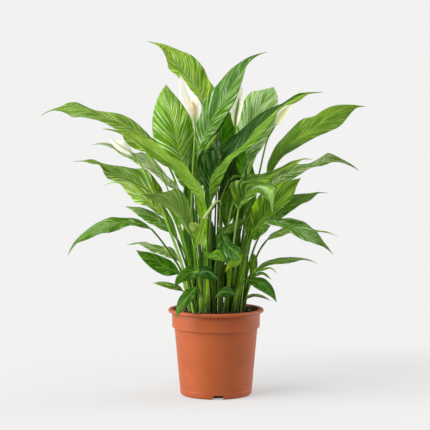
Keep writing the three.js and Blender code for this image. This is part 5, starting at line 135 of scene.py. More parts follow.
     [-298,-69,1121,-317,-76,1314,-339,-82,1507,-366,-91,1698,-401,-102,1889,-445,-111,2077,-503,-116,2262,-578,-112,2441,-675,-94,2608],
     [-675,-93,2608,-675,-93,2608,-675,-93,2608,-724,-78,2658,-698,-52,2694,-743,-110,2634,-774,-67,2707,-725,0,2778,-810,-156,2662,-831,-71,2750,-765,18,2854,-875,-199,2694,-891,-70,2787,-814,27,2923,-938,-226,2726,-953,-36,2821,-871,55,2991,-1006,-210,2752,-1017,3,2852,-937,93,3049,-1076,-180,2777,-1080,34,2884,-1011,150,3067,-1146,-154,2808,-1143,60,2917,-1090,211,3066,-1216,-129,2841,-1207,78,2948,-1168,246,3079,-1278,-112,2875,-1271,86,2979,-1245,259,3101,-1334,-100,2910,-1334,93,3012,-1323,267,3117,-1390,-84,2938,-1397,103,3046,-1400,275,3127,-1447,-62,2961,-1460,115,3079,-1471,281,3129,-1496,-42,3010,-1525,130,3110,-1533,283,3127,-1535,-20,3087,-1590,147,3140,-1604,280,3140,-1582,13,3138,-1660,165,3156,-1680,273,3180,-1664,57,3141,-1732,185,3165,-1745,265,3186,-1735,104,3151,-1804,206,3168,-1808,260,3172,-1800,152,3163,-1877,228,3168,-1878,246,3169,-1875,209,3165,-1950,250,3166,-1950,250,3166,-1950,250,3166]),
    ('leaf_left_light_lower', -1, 2.02, 1.21, 0.1, (2.19, 1.6, 1.92, 2.19, 1.6, 1.92, 1, 1, 1, 1.4, 1.58, 0.15),
     [-324,-180,1123,-354,-182,1290,-389,-181,1457,-425,-184,1623,-463,-195,1789,-510,-205,1952,-571,-214,2111,-631,-226,2270,-685,-240,2431],
     [-685,-240,2431,-685,-240,2431,-685,-240,2431,-717,-244,2470,-699,-225,2491,-728,-267,2454,-749,-252,2509,-716,-199,2549,-770,-316,2479,-783,-264,2546,-740,-189,2602,-811,-354,2509,-819,-280,2581,-770,-189,2651,-851,-390,2544,-856,-301,2616,-805,-200,2696,-892,-423,2575,-894,-320,2649,-846,-213,2736,-935,-447,2598,-933,-333,2681,-893,-220,2772,-980,-457,2615,-972,-331,2711,-942,-214,2804,-1023,-448,2632,-1012,-309,2741,-994,-189,2831,-1064,-417,2648,-1052,-283,2770,-1045,-163,2854,-1100,-384,2670,-1092,-263,2800,-1091,-144,2874,-1126,-362,2703,-1132,-249,2829,-1136,-133,2891,-1150,-347,2741,-1173,-240,2857,-1179,-129,2903,-1180,-335,2778,-1218,-232,2880,-1222,-129,2910,-1214,-323,2818,-1265,-218,2898,-1269,-126,2914,-1255,-303,2865,-1315,-195,2907,-1318,-120,2914,-1305,-269,2898,-1366,-172,2909,-1368,-115,2913,-1366,-228,2903,-1416,-149,2898,-1418,-111,2900,-1421,-186,2894,-1463,-128,2876,-1463,-115,2877,-1466,-140,2874,-1509,-108,2852,-1509,-108,2852,-1509,-108,2852]),
    ('leaf_left_front_arching', 1, 2.25, 1.35, 0.1, (1.07, 0.99, 3.07, 1.07, 0.99, 3.07, 1, 1, 1, 0.25, 1.6, 0.0),
     [-202,-281,1121,-208,-286,1254,-214,-294,1386,-220,-308,1518,-226,-326,1650,-235,-321,1782,-250,-342,1911,-275,-376,2037,-307,-403,2163],
     [-307,-400,2163,-307,-400,2163,-307,-400,2163,-327,-436,2211,-306,-466,2225,-344,-405,2217,-346,-468,2258,-304,-549,2288,-381,-383,2269,-366,-498,2305,-304,-609,2350,-416,-380,2320,-387,-536,2352,-306,-662,2415,-449,-394,2367,-408,-590,2399,-308,-718,2484,-479,-432,2411,-431,-650,2446,-313,-767,2552,-509,-483,2454,-456,-705,2491,-326,-797,2616,-544,-535,2495,-485,-756,2533,-344,-804,2677,-583,-587,2534,-515,-803,2573,-370,-813,2734,-622,-639,2569,-548,-847,2611,-407,-848,2785,-659,-691,2599,-582,-890,2646,-454,-890,2830,-693,-744,2624,-619,-932,2678,-507,-933,2860,-727,-797,2648,-658,-973,2706,-565,-990,2860,-761,-852,2675,-700,-1014,2730,-629,-1066,2843,-794,-907,2700,-743,-1054,2748,-692,-1128,2833,-824,-961,2723,-788,-1094,2761,-755,-1165,2827,-851,-1016,2742,-833,-1133,2775,-815,-1190,2824,-877,-1074,2761,-876,-1172,2792,-868,-1211,2824,-905,-1132,2783,-919,-1211,2811,-915,-1225,2826,-933,-1197,2807,-961,-1250,2830,-961,-1250,2830,-961,-1250,2830]),
    ('leaf_left_mid', -1, 1.87, 1.12, 0.1, (1.24, 1.13, 1.59, 1.24, 1.13, 1.59, 1, 1, 1, 1.0, 1.6, 0.0),
     [-273,134,1118,-288,123,1260,-306,109,1400,-328,95,1540,-354,60,1676,-388,25,1810,-433,5,1944,-493,1,2073,-570,20,2191],
     [-570,20,2191,-570,20,2191,-570,20,2191,-599,36,2215,-583,53,2227,-606,16,2206,-628,51,2240,-597,97,2263,-641,-3,2222,-658,67,2264,-612,131,2299,-678,-9,2237,-688,83,2287,-633,160,2330,-715,-6,2252,-719,99,2310,-662,187,2356,-754,3,2266,-750,115,2332,-696,211,2378,-794,17,2280,-782,131,2353,-730,232,2399,-833,35,2295,-815,147,2373,-762,250,2420,-868,54,2309,-848,164,2393,-794,265,2440,-902,75,2322,-881,180,2412,-828,279,2459,-935,97,2337,-916,197,2429,-867,291,2476,-967,118,2355,-951,213,2446,-910,304,2491,-998,139,2376,-987,230,2461,-956,315,2504,-1028,160,2400,-1022,247,2477,-1001,324,2515,-1060,183,2423,-1058,264,2492,-1047,332,2524,-1092,207,2449,-1095,281,2507,-1092,338,2531,-1124,234,2475,-1132,298,2518,-1135,341,2536,-1156,263,2496,-1170,315,2527,-1173,344,2539,-1187,292,2513,-1209,333,2534,-1210,342,2541,-1218,324,2527,-1248,350,2541,-1248,350,2541,-1248,350,2541]),
    ('leaf_left_drooping', -1, 2.3, 1.38, 0.1, (0.76, 0.83, 0.51, 0.76, 0.83, 0.51, 1, 1, 1, 0.5, 0.92, 0.05),
     [-352,-120,1128,-381,-124,1288,-412,-120,1447,-446,-124,1606,-496,-140,1760,-582,-168,1894,-668,-203,2028,-759,-240,2157,-858,-280,2279],
     [-858,-280,2279,-858,-280,2279,-858,-280,2279,-915,-312,2313,-892,-288,2323,-923,-339,2295,-974,-344,2343,-934,-275,2363,-985,-417,2314,-1034,-374,2367,-996,-275,2404,-1045,-479,2336,-1097,-402,2383,-1065,-281,2429,-1103,-531,2350,-1161,-430,2393,-1138,-291,2439,-1158,-573,2356,-1225,-456,2394,-1205,-308,2443,-1213,-606,2344,-1288,-482,2387,-1268,-331,2442,-1269,-630,2319,-1352,-506,2380,-1337,-358,2451,-1331,-652,2302,-1414,-528,2370,-1408,-386,2458,-1394,-673,2290,-1477,-550,2357,-1471,-411,2439,-1449,-692,2285,-1537,-570,2340,-1532,-433,2408,-1504,-705,2275,-1596,-590,2315,-1592,-457,2371,-1567,-710,2237,-1652,-608,2285,-1652,-483,2330,-1632,-711,2195,-1705,-624,2252,-1715,-512,2289,-1691,-717,2174,-1757,-640,2215,-1776,-543,2246,-1745,-727,2161,-1807,-654,2175,-1827,-575,2198,-1793,-731,2148,-1854,-668,2133,-1871,-608,2146,-1836,-728,2129,-1896,-680,2085,-1908,-640,2094,-1876,-719,2090,-1930,-690,2032,-1936,-677,2037,-1916,-703,2036,-1955,-700,1973,-1955,-700,1973,-1955,-700,1973]),
    ('leaf_left_low_grey', -1, 2.01, 1.21, 0.1, (1.16, 0.91, 2.15, 1.16, 0.91, 2.15, 1, 1, 1, 1.2, 1.4, 0.0),
     [-316,260,1107,-332,248,1256,-355,227,1404,-385,182,1544,-422,106,1669,-490,106,1800],
     [-490,104,1800,-490,104,1800,-490,104,1800,-520,132,1825,-511,149,1846,-524,111,1814,-549,161,1850,-532,206,1892,-556,104,1830,-580,190,1874,-555,253,1933,-591,111,1844,-613,220,1895,-585,298,1962,-629,127,1854,-649,250,1912,-621,341,1980,-670,149,1861,-686,280,1926,-661,381,1992,-711,174,1868,-726,310,1935,-705,418,1998,-752,201,1876,-767,340,1940,-752,452,2000,-791,227,1885,-807,370,1946,-798,485,1999,-831,255,1898,-847,400,1954,-845,516,1994,-872,285,1916,-887,430,1963,-890,545,1991,-912,318,1935,-926,460,1975,-931,570,1996,-947,353,1952,-964,490,1989,-968,591,2006,-979,391,1968,-1003,520,2001,-1006,611,2014,-1012,430,1983,-1044,550,2008,-1047,629,2017,-1046,472,1998,-1086,580,2009,-1088,645,2015,-1083,515,2005,-1128,610,2004,-1130,658,2009,-1125,561,1999,-1170,640,1994,-1171,672,1999,-1168,608,1989,-1211,670,1982,-1211,681,1985,-1210,659,1979,-1252,700,1969,-1252,700,1969,-1252,700,1969]),
    ('leaf_left_low_big', -1, 1.74, 1.04, 0.1, (0.55, 0.76, 0.18, 0.55, 0.76, 0.18, 1, 1, 1, 0.1, 0.66, 0.01),
     [-353,-21,1126,-360,-18,1238,-365,-22,1350,-379,-23,1462,-411,-45,1567,-474,-71,1655],
     [-474,-73,1655,-474,-73,1655,-474,-73,1655,-506,-76,1670,-493,-67,1692,-509,-88,1649,-537,-77,1683,-511,-58,1729,-545,-109,1643,-569,-77,1697,-532,-53,1763,-580,-119,1638,-600,-76,1712,-557,-49,1792,-615,-120,1635,-631,-75,1727,-588,-43,1816,-649,-114,1635,-662,-73,1742,-620,-37,1838,-684,-97,1636,-692,-70,1758,-653,-30,1856,-720,-78,1643,-722,-67,1776,-686,-19,1871,-757,-68,1658,-751,-64,1794,-719,-8,1883,-796,-64,1679,-780,-60,1813,-752,1,1895,-832,-60,1701,-810,-56,1831,-786,7,1906,-865,-56,1723,-839,-51,1849,-818,11,1918,-894,-51,1745,-868,-46,1867,-851,12,1929,-921,-46,1769,-898,-41,1884,-885,13,1939,-947,-41,1793,-928,-35,1901,-919,13,1947,-972,-35,1819,-959,-29,1917,-954,13,1951,-997,-29,1846,-989,-22,1932,-989,10,1955,-1020,-22,1875,-1021,-15,1946,-1023,7,1960,-1043,-15,1906,-1053,-8,1959,-1054,0,1967,-1064,-8,1939,-1085,0,1972,-1085,0,1972,-1085,0,1972]),
    ('leaf_low_left_small', -1, 1.61, 0.97, 0.1, (0.87, 0.78, 0.8, 0.87, 0.78, 0.8, 1, 1, 1, 0.4, 0.5, 0.0),
     [-369,118,1120,-374,117,1176,-382,114,1231,-393,113,1286,-410,118,1339,-437,136,1384],
     [-437,137,1384,-437,137,1384,-437,137,1384,-454,151,1397,-451,163,1404,-462,140,1390,-471,165,1411,-464,198,1423,-487,136,1397,-489,179,1424,-478,224,1441,-511,139,1402,-509,193,1434,-496,247,1455,-535,146,1407,-530,207,1441,-516,267,1464,-558,155,1410,-551,222,1446,-537,285,1471,-580,165,1413,-574,236,1450,-560,302,1476,-601,178,1415,-596,250,1454,-583,317,1480,-622,192,1417,-618,265,1458,-607,331,1485,-644,207,1421,-641,280,1461,-633,344,1490,-665,223,1425,-663,295,1464,-659,356,1495,-685,240,1429,-686,310,1466,-685,366,1498,-706,259,1434,-708,326,1469,-710,377,1500,-727,278,1438,-731,342,1472,-733,387,1499,-748,300,1444,-754,357,1474,-755,397,1497,-770,322,1450,-777,374,1476,-778,406,1494,-791,345,1455,-800,390,1476,-800,414,1490,-811,369,1460,-823,406,1475,-823,423,1484,-831,393,1464,-846,423,1474,-846,429,1478,-850,418,1468,-870,440,1472,-870,440,1472,-870,440,1472]),
    ('leaf_over_rim_left', -1, 1.64, 0.98, 0.1, (0.43, 0.59, 0.08, 0.43, 0.59, 0.08, 1, 1, 1, 0.15, 0.33, 0.0),
     [-268,-397,1118,-261,-411,1214,-248,-424,1309,-235,-442,1403,-228,-470,1495,-253,-540,1548],
     [-253,-540,1548,-253,-540,1548,-253,-540,1548,-270,-566,1532,-279,-556,1545,-248,-570,1531,-288,-591,1516,-306,-564,1541,-241,-593,1513,-305,-615,1499,-332,-579,1536,-238,-615,1495,-322,-637,1483,-357,-596,1529,-240,-637,1475,-339,-658,1466,-380,-614,1518,-249,-658,1454,-357,-677,1450,-403,-633,1504,-263,-677,1431,-374,-695,1433,-425,-651,1488,-280,-695,1409,-390,-711,1415,-445,-667,1468,-298,-714,1387,-406,-726,1396,-464,-681,1444,-319,-739,1368,-421,-740,1377,-482,-694,1417,-343,-767,1349,-436,-752,1358,-497,-707,1389,-366,-787,1329,-450,-763,1338,-509,-718,1362,-387,-799,1310,-465,-773,1318,-517,-728,1334,-408,-806,1290,-478,-781,1297,-523,-737,1306,-428,-810,1270,-491,-788,1275,-527,-748,1279,-448,-812,1251,-501,-793,1252,-530,-759,1253,-466,-812,1231,-509,-797,1228,-531,-771,1228,-483,-810,1212,-516,-799,1204,-531,-782,1204,-499,-807,1193,-523,-800,1179,-531,-794,1179,-515,-804,1174,-531,-800,1154,-531,-800,1154,-531,-800,1154]),
    ('leaf_low_center_left', -1, 1.58, 0.95, 0.1, (0.46, 0.67, 0.07, 0.46, 0.67, 0.07, 1, 1, 1, 0.15, 0.65, 0.0),
     [-148,-234,1115,-141,-246,1245,-125,-259,1373,-112,-264,1503,-121,-267,1633,-188,-304,1722],
     [-188,-340,1726,-188,-340,1726,-188,-340,1726,-211,-418,1733,-202,-409,1751,-202,-425,1713,-234,-429,1733,-215,-408,1768,-216,-444,1693,-258,-414,1729,-232,-385,1780,-232,-431,1670,-281,-399,1725,-255,-365,1789,-255,-412,1651,-305,-390,1721,-284,-353,1795,-282,-395,1633,-328,-391,1717,-316,-354,1799,-311,-392,1620,-351,-396,1712,-345,-360,1798,-337,-399,1611,-373,-403,1704,-372,-369,1793,-360,-419,1608,-394,-411,1695,-399,-378,1784,-380,-444,1608,-414,-421,1684,-424,-389,1771,-400,-464,1607,-433,-430,1672,-449,-400,1754,-420,-479,1603,-451,-440,1658,-474,-412,1734,-441,-489,1596,-468,-450,1642,-497,-427,1710,-462,-498,1588,-483,-460,1626,-517,-442,1685,-481,-504,1578,-498,-470,1609,-531,-458,1658,-497,-509,1568,-511,-480,1590,-540,-473,1631,-511,-512,1558,-523,-490,1572,-545,-487,1602,-524,-514,1547,-535,-500,1553,-550,-499,1573,-536,-516,1536,-547,-510,1534,-554,-508,1544,-548,-516,1525,-560,-520,1515,-560,-520,1515,-560,-520,1515]),
    ('leaf_low_center', 1, 1.5, 0.9, 0.1, (0.11, 0.29, 0.03, 0.11, 0.29, 0.03, 1, 1, 1, 0.02, 0.35, 0.0),
     [-107,-382,1123,-135,-380,1246,-180,-379,1363,-228,-386,1479,-259,-427,1593,-240,-481,1702],
     [-240,-477,1701,-240,-477,1701,-240,-477,1701,-226,-484,1710,-229,-472,1720,-226,-492,1692,-212,-496,1720,-219,-463,1739,-212,-511,1682,-197,-503,1728,-208,-459,1757,-197,-516,1671,-183,-513,1736,-195,-461,1775,-183,-517,1661,-167,-527,1742,-181,-473,1789,-167,-527,1653,-151,-540,1746,-163,-486,1800,-151,-540,1649,-134,-548,1747,-145,-495,1807,-135,-548,1645,-118,-554,1746,-126,-502,1809,-119,-554,1643,-102,-560,1743,-109,-509,1807,-102,-560,1641,-87,-568,1739,-91,-517,1800,-83,-568,1639,-72,-578,1733,-75,-527,1789,-64,-578,1638,-58,-589,1726,-59,-538,1776,-47,-589,1638,-45,-601,1719,-45,-553,1762,-31,-601,1638,-32,-614,1711,-31,-570,1748,-19,-614,1640,-19,-628,1701,-19,-589,1733,-8,-628,1642,-7,-642,1692,-7,-610,1717,2,-642,1644,4,-656,1682,5,-632,1701,11,-656,1646,16,-670,1673,16,-655,1685,21,-671,1649,28,-685,1663,28,-680,1670,30,-686,1651,39,-700,1654,39,-700,1654,39,-700,1654]),
    ('leaf_center_small_left', -1, 1.56, 0.93, 0.1, (1.08, 1.23, 0.75, 1.08, 1.23, 0.75, 1, 1, 1, 0.3, 0.87, 0.0),
     [107,-352,1119,124,-365,1266,154,-383,1410,186,-405,1554,202,-434,1698,173,-478,1836],
     [173,-474,1835,173,-474,1835,173,-474,1835,157,-480,1850,165,-477,1868,155,-493,1844,141,-489,1865,157,-487,1903,137,-523,1855,126,-505,1881,150,-505,1939,119,-552,1865,110,-528,1898,141,-528,1974,101,-584,1876,93,-550,1914,131,-550,2005,82,-610,1885,76,-568,1928,116,-568,2029,62,-629,1893,58,-584,1940,95,-584,2043,40,-642,1898,39,-597,1951,68,-596,2047,17,-651,1901,19,-609,1959,38,-602,2044,-6,-658,1904,-2,-620,1965,11,-597,2038,-28,-665,1910,-23,-630,1966,-14,-593,2028,-49,-675,1917,-44,-639,1964,-38,-595,2014,-69,-686,1924,-65,-648,1963,-62,-602,2001,-88,-696,1934,-85,-657,1966,-85,-611,1994,-106,-702,1945,-105,-665,1975,-106,-624,1995,-123,-706,1960,-122,-673,1988,-123,-638,2003,-137,-707,1977,-138,-680,2002,-139,-654,2013,-149,-706,1994,-154,-687,2017,-154,-670,2024,-161,-704,2011,-169,-694,2032,-169,-688,2036,-173,-700,2028,-185,-700,2046,-185,-700,2046,-185,-700,2046]),
    ('leaf_center_dark_drooping', -1, 1.68, 1.01, 0.1, (0.25, 0.45, 0.03, 0.25, 0.45, 0.03, 1, 1, 1, 0.12, 0.41, 0.0),
     [53,-390,1121,52,-384,1282,47,-367,1442,41,-347,1601,36,-328,1761,31,-316,1921,29,-318,2082,35,-351,2238,66,-483,2291],
     [66,-482,2291,66,-482,2291,66,-482,2291,71,-503,2269,52,-518,2268,87,-487,2274,76,-525,2248,37,-564,2247,108,-482,2257,81,-546,2226,23,-598,2224,129,-488,2241,88,-568,2205,13,-626,2200,149,-501,2224,97,-590,2185,9,-648,2174,167,-517,2205,108,-612,2165,11,-667,2148,183,-534,2183,120,-634,2147,18,-682,2121,197,-553,2161,134,-656,2129,29,-695,2094,212,-574,2141,148,-678,2112,43,-703,2066,229,-601,2125,163,-700,2096,62,-708,2035,251,-635,2116,179,-722,2081,85,-723,2005,274,-680,2111,196,-744,2065,110,-744,1978,295,-730,2107,212,-766,2050,134,-766,1958,311,-765,2097,229,-788,2036,157,-788,1946,320,-788,2082,246,-810,2022,180,-810,1940,325,-810,2065,263,-832,2007,203,-832,1938,327,-832,2045,278,-854,1991,229,-854,1935,328,-854,2023,291,-876,1974,256,-876,1934,325,-876,1996,303,-898,1955,285,-898,1935,319,-898,1966,314,-920,1937,314,-920,1937,314,-920,1937]),
    ('leaf_center_yellow_tipped', 1, 1.47, 0.88, 0.1, (1.22, 1.23, 0.97, 1.22, 1.23, 0.97, 1.5, 1.15, 0.8, 0.1, 1.19, 0.0),
     [215,-312,1122,248,-321,1306,301,-326,1486,359,-332,1664,410,-339,1845,360,-414,1963],
     [360,-411,1963,360,-411,1963,360,-411,1963,349,-415,1950,346,-424,1958,356,-406,1943,337,-420,1937,333,-445,1955,353,-397,1923,326,-426,1925,319,-460,1951,349,-396,1904,314,-434,1912,305,-473,1947,345,-400,1885,302,-442,1900,291,-483,1941,339,-409,1868,289,-451,1890,274,-492,1935,331,-424,1851,275,-462,1880,252,-500,1928,318,-445,1835,259,-474,1873,227,-509,1920,302,-469,1820,244,-488,1866,204,-519,1910,284,-488,1809,229,-504,1859,189,-534,1901,267,-504,1802,213,-521,1852,177,-553,1891,248,-515,1800,198,-537,1845,167,-571,1879,229,-520,1799,185,-545,1835,158,-578,1865,211,-521,1796,173,-544,1822,150,-576,1848,196,-518,1790,164,-543,1807,143,-570,1828,184,-517,1783,154,-543,1792,138,-566,1809,171,-521,1775,145,-545,1778,132,-562,1790,158,-528,1766,137,-549,1763,128,-560,1771,145,-538,1755,128,-555,1748,124,-559,1752,132,-551,1745,119,-562,1734,119,-562,1734,119,-562,1734]),
    ('leaf_low_front', 1, 1.45, 0.87, 0.1, (0.2, 0.31, 0.03, 0.2, 0.31, 0.03, 1, 1, 1, 0.05, 0.3, 0.0),
     [-27,-440,1120,-28,-446,1174,-32,-456,1228,-34,-469,1281,-30,-483,1333,-14,-500,1382],
     [-14,-500,1382,-14,-500,1382,-14,-500,1382,-2,-506,1395,-6,-495,1400,-1,-516,1387,9,-512,1409,1,-482,1416,11,-540,1392,21,-518,1422,8,-476,1434,24,-555,1397,32,-524,1435,16,-475,1452,37,-566,1401,45,-530,1447,25,-477,1470,50,-573,1404,58,-536,1457,39,-482,1487,65,-576,1405,73,-542,1465,57,-491,1505,82,-573,1404,89,-548,1471,79,-503,1521,100,-566,1402,106,-554,1475,102,-517,1534,118,-559,1399,122,-560,1477,123,-533,1541,136,-560,1399,139,-566,1477,144,-549,1543,153,-566,1402,156,-572,1476,164,-566,1541,170,-572,1405,172,-578,1473,183,-577,1536,187,-578,1408,188,-584,1470,201,-584,1527,202,-584,1411,204,-590,1465,217,-590,1516,217,-590,1414,220,-596,1459,231,-596,1502,230,-596,1418,234,-602,1453,244,-602,1485,243,-602,1421,249,-608,1445,255,-608,1467,255,-608,1424,264,-614,1438,266,-614,1448,266,-614,1428,278,-620,1431,278,-620,1431,278,-620,1431]),
    ('leaf_center_dark_tip', 1, 1.77, 1.06, 0.1, (0.68, 1.07, 0.17, 0.68, 1.07, 0.17, 1, 1, 1, 0.05, 0.35, 0.0),
     [-27,180,1120,-25,176,1376,-23,170,1631,-21,161,1886,-17,151,2142,-11,142,2397,0,136,2652,16,135,2907,41,140,3162],
     [41,140,3162,41,140,3162,41,140,3162,46,142,3196,28,158,3199,64,127,3194,51,146,3231,15,186,3235,88,106,3228,57,152,3266,2,205,3272,112,98,3260,63,159,3300,-9,218,3309,134,99,3292,70,168,3334,-15,229,3345,155,108,3322,80,182,3367,-16,240,3379,174,124,3352,90,202,3400,-13,255,3412,192,148,3380,101,223,3432,-7,273,3444,207,175,3409,112,235,3466,3,283,3477,221,198,3440,122,237,3499,17,285,3510,235,219,3471,133,238,3533,35,288,3544,247,234,3504,143,241,3566,55,292,3578,255,240,3538,152,247,3600,72,296,3612,259,247,3574,160,256,3634,90,300,3649,258,256,3610,167,267,3669,107,305,3686,253,267,3648,173,281,3703,125,310,3722,245,281,3686,179,296,3737,142,314,3756,236,296,3725,184,313,3771,158,322,3786,223,313,3763,187,331,3806,175,335,3813,207,331,3802,191,350,3841,191,350,3841,191,350,3841]),
    ('leaf_center_under_fold', 1, 1.67, 1.0, 0.1, (0.68, 0.74, 0.67, 0.68, 0.74, 0.67, 1, 1, 1, 0.05, 0.68, 0.0),
     [68,-60,1120,73,-65,1265,80,-74,1409,90,-84,1553,101,-97,1697,112,-111,1841,122,-126,1984,130,-146,2127,135,-97,2256],
     [135,-46,2251,135,-46,2251,135,-46,2251,135,24,2275,121,39,2273,154,10,2276,135,17,2306,106,59,2302,172,-19,2309,135,3,2338,92,60,2331,191,-44,2342,135,-4,2368,80,62,2362,208,-54,2373,136,-20,2400,71,52,2395,224,-65,2404,137,-41,2432,65,32,2430,240,-71,2434,138,-57,2463,63,17,2466,254,-67,2464,140,-66,2494,61,6,2500,265,-67,2494,143,-70,2524,61,-2,2533,273,-70,2524,146,-70,2554,60,-9,2564,277,-70,2554,149,-68,2584,61,-17,2594,279,-68,2584,153,-64,2614,64,-25,2624,278,-64,2613,157,-58,2643,70,-36,2655,275,-58,2644,162,-52,2672,80,-45,2689,268,-52,2675,168,-45,2701,93,-44,2721,257,-45,2706,174,-37,2730,110,-37,2751,246,-37,2737,180,-28,2759,129,-28,2777,236,-28,2765,188,-19,2788,153,-19,2800,225,-19,2792,195,-10,2816,178,-9,2822,214,-10,2818,203,0,2845,203,0,2845,203,0,2845]),
    ('leaf_center_horizontal', 1, 1.65, 0.99, 0.1, (0.37, 0.45, 0.11, 0.37, 0.45, 0.11, 1, 1, 1, 0.1, 0.99, 0.22),
     [-27,-232,1122,-25,-232,1240,-23,-232,1359,-21,-234,1478,-17,-238,1597,-12,-244,1715,-4,-250,1834,9,-257,1952,27,-265,2069],
     [27,-262,2069,27,-262,2069,27,-262,2069,34,-261,2097,19,-250,2104,51,-271,2090,40,-262,2125,11,-234,2140,75,-287,2112,49,-269,2153,6,-230,2174,98,-302,2133,61,-277,2180,9,-232,2206,120,-314,2152,76,-284,2206,16,-234,2234,140,-322,2168,92,-286,2230,28,-234,2258,159,-324,2184,112,-283,2251,44,-230,2279,179,-321,2200,135,-276,2267,66,-222,2295,199,-317,2215,160,-266,2281,92,-212,2307,219,-313,2231,185,-262,2296,118,-209,2318,238,-310,2246,208,-266,2313,142,-216,2331,258,-312,2262,232,-274,2330,167,-228,2343,278,-314,2278,256,-286,2347,193,-246,2357,298,-318,2295,281,-301,2363,224,-267,2375,318,-325,2313,306,-316,2378,261,-289,2399,340,-331,2333,331,-330,2391,298,-315,2421,362,-336,2353,358,-343,2403,335,-339,2433,382,-344,2373,385,-355,2412,370,-355,2435,402,-356,2392,413,-366,2421,405,-365,2431,421,-366,2410,440,-374,2429,440,-374,2429,440,-374,2429]),
    ('leaf_center_lit_small', 1, 1.53, 0.92, 0.1, (2.34, 1.69, 8.41, 2.34, 1.69, 8.41, 1, 1, 1, 0.2, 0.76, 0.0),
     [-174,-421,1120,-171,-425,1236,-165,-427,1351,-157,-430,1466,-149,-435,1582,-142,-441,1697,-138,-452,1812,-139,-473,1926,-147,-496,2038],
     [-147,-497,2039,-147,-497,2039,-147,-497,2039,-150,-504,2060,-140,-514,2063,-163,-495,2050,-154,-510,2081,-132,-538,2089,-179,-489,2060,-157,-516,2102,-124,-554,2113,-195,-491,2072,-162,-521,2123,-120,-565,2138,-211,-498,2084,-170,-527,2143,-121,-574,2162,-226,-511,2099,-179,-534,2162,-127,-581,2187,-240,-526,2114,-190,-540,2180,-136,-587,2212,-254,-539,2130,-201,-547,2198,-147,-591,2236,-266,-547,2146,-212,-555,2216,-159,-594,2260,-278,-555,2163,-222,-563,2235,-169,-596,2282,-289,-563,2182,-232,-573,2254,-180,-594,2304,-298,-573,2202,-242,-585,2273,-192,-592,2324,-306,-585,2223,-252,-599,2293,-205,-600,2345,-314,-599,2244,-264,-616,2311,-219,-616,2365,-322,-616,2266,-276,-636,2329,-234,-636,2384,-330,-636,2289,-290,-657,2347,-251,-657,2401,-337,-657,2313,-305,-682,2363,-272,-682,2412,-344,-682,2337,-321,-706,2377,-297,-706,2413,-349,-706,2359,-339,-719,2389,-327,-719,2406,-352,-719,2379,-356,-722,2399,-356,-722,2399,-356,-722,2399]),
    ('leaf_center_hanging_stalk', 1, 1.52, 0.91, 0.1, (0.69, 1.1, 0.06, 0.69, 1.1, 0.06, 1, 1, 1, 0.1, 0.36, 0.0),
     [-68,-192,1119,-81,-192,1379,-96,-191,1640,-113,-189,1900,-140,-189,2159,-138,-192,2415,10,-184,2626,112,-147,2858,336,-112,2960],
     [337,-111,2960,337,-111,2960,337,-111,2960,338,-101,2981,326,-111,2979,350,-91,2980,339,-91,3001,314,-118,2998,364,-64,2999,340,-77,3021,304,-113,3017,376,-40,3019,341,-61,3041,295,-102,3037,386,-18,3038,342,-47,3061,287,-89,3058,393,0,3058,343,-35,3081,280,-76,3080,399,13,3078,343,-24,3102,275,-61,3102,403,23,3098,344,-16,3122,271,-45,3124,407,30,3119,345,-8,3143,268,-26,3144,411,33,3141,346,0,3163,266,-6,3164,415,32,3164,347,7,3184,265,6,3184,419,26,3187,349,14,3204,266,14,3205,421,19,3210,351,20,3225,271,20,3225,421,21,3232,352,26,3246,279,26,3246,417,26,3252,354,32,3266,290,32,3266,411,32,3272,356,38,3287,304,38,3287,403,38,3292,359,44,3308,319,44,3308,393,44,3311,361,50,3328,335,50,3328,384,50,3331,363,55,3349,351,55,3349,374,55,3350,365,60,3370,365,60,3370,365,60,3370]),
    ('leaf_center_right_small', 1, 1.5, 0.9, 0.1, (1.28, 1.26, 0.4, 1.28, 1.26, 0.4, 1, 1, 1, 0.2, 1.2, 0.02),
     [273,80,1120,282,69,1253,293,48,1385,306,22,1515,323,-5,1645,345,-29,1775,373,-45,1904,411,-46,2032,460,-21,2154],
     [460,-22,2154,460,-22,2154,460,-22,2154,470,-14,2168,465,0,2175,471,-18,2144,479,-7,2182,468,31,2196,481,-9,2133,487,-2,2196,471,51,2218,491,-2,2121,497,2,2211,475,64,2240,501,2,2112,507,3,2224,482,71,2261,513,3,2105,519,4,2237,493,74,2280,526,4,2104,533,3,2247,511,75,2294,542,3,2111,548,3,2255,534,76,2304,558,3,2124,564,5,2261,558,78,2311,576,5,2140,581,16,2265,582,86,2316,594,16,2155,598,41,2268,604,106,2320,615,41,2167,616,70,2268,626,129,2320,638,67,2180,633,95,2268,647,146,2319,660,84,2194,651,115,2270,665,159,2317,678,96,2209,668,132,2274,682,170,2315,692,111,2223,684,147,2278,696,177,2312,705,128,2238,701,161,2283,710,183,2308,717,147,2253,718,174,2288,723,189,2305,728,165,2267,734,187,2292,737,192,2301,739,183,2282,751,200,2297,751,200,2297,751,200,2297]),
    ('leaf_back_left', 1, 2.34, 1.41, 0.1, (1.15, 1.1, 1.2, 1.15, 1.1, 1.2, 1, 1, 1, 0.4, 1.25, 0.03),
     [-137,280,1120,-149,281,1321,-166,274,1522,-185,265,1723,-209,258,1923,-237,262,2122,-269,287,2320,-305,345,2509,-344,450,2676],
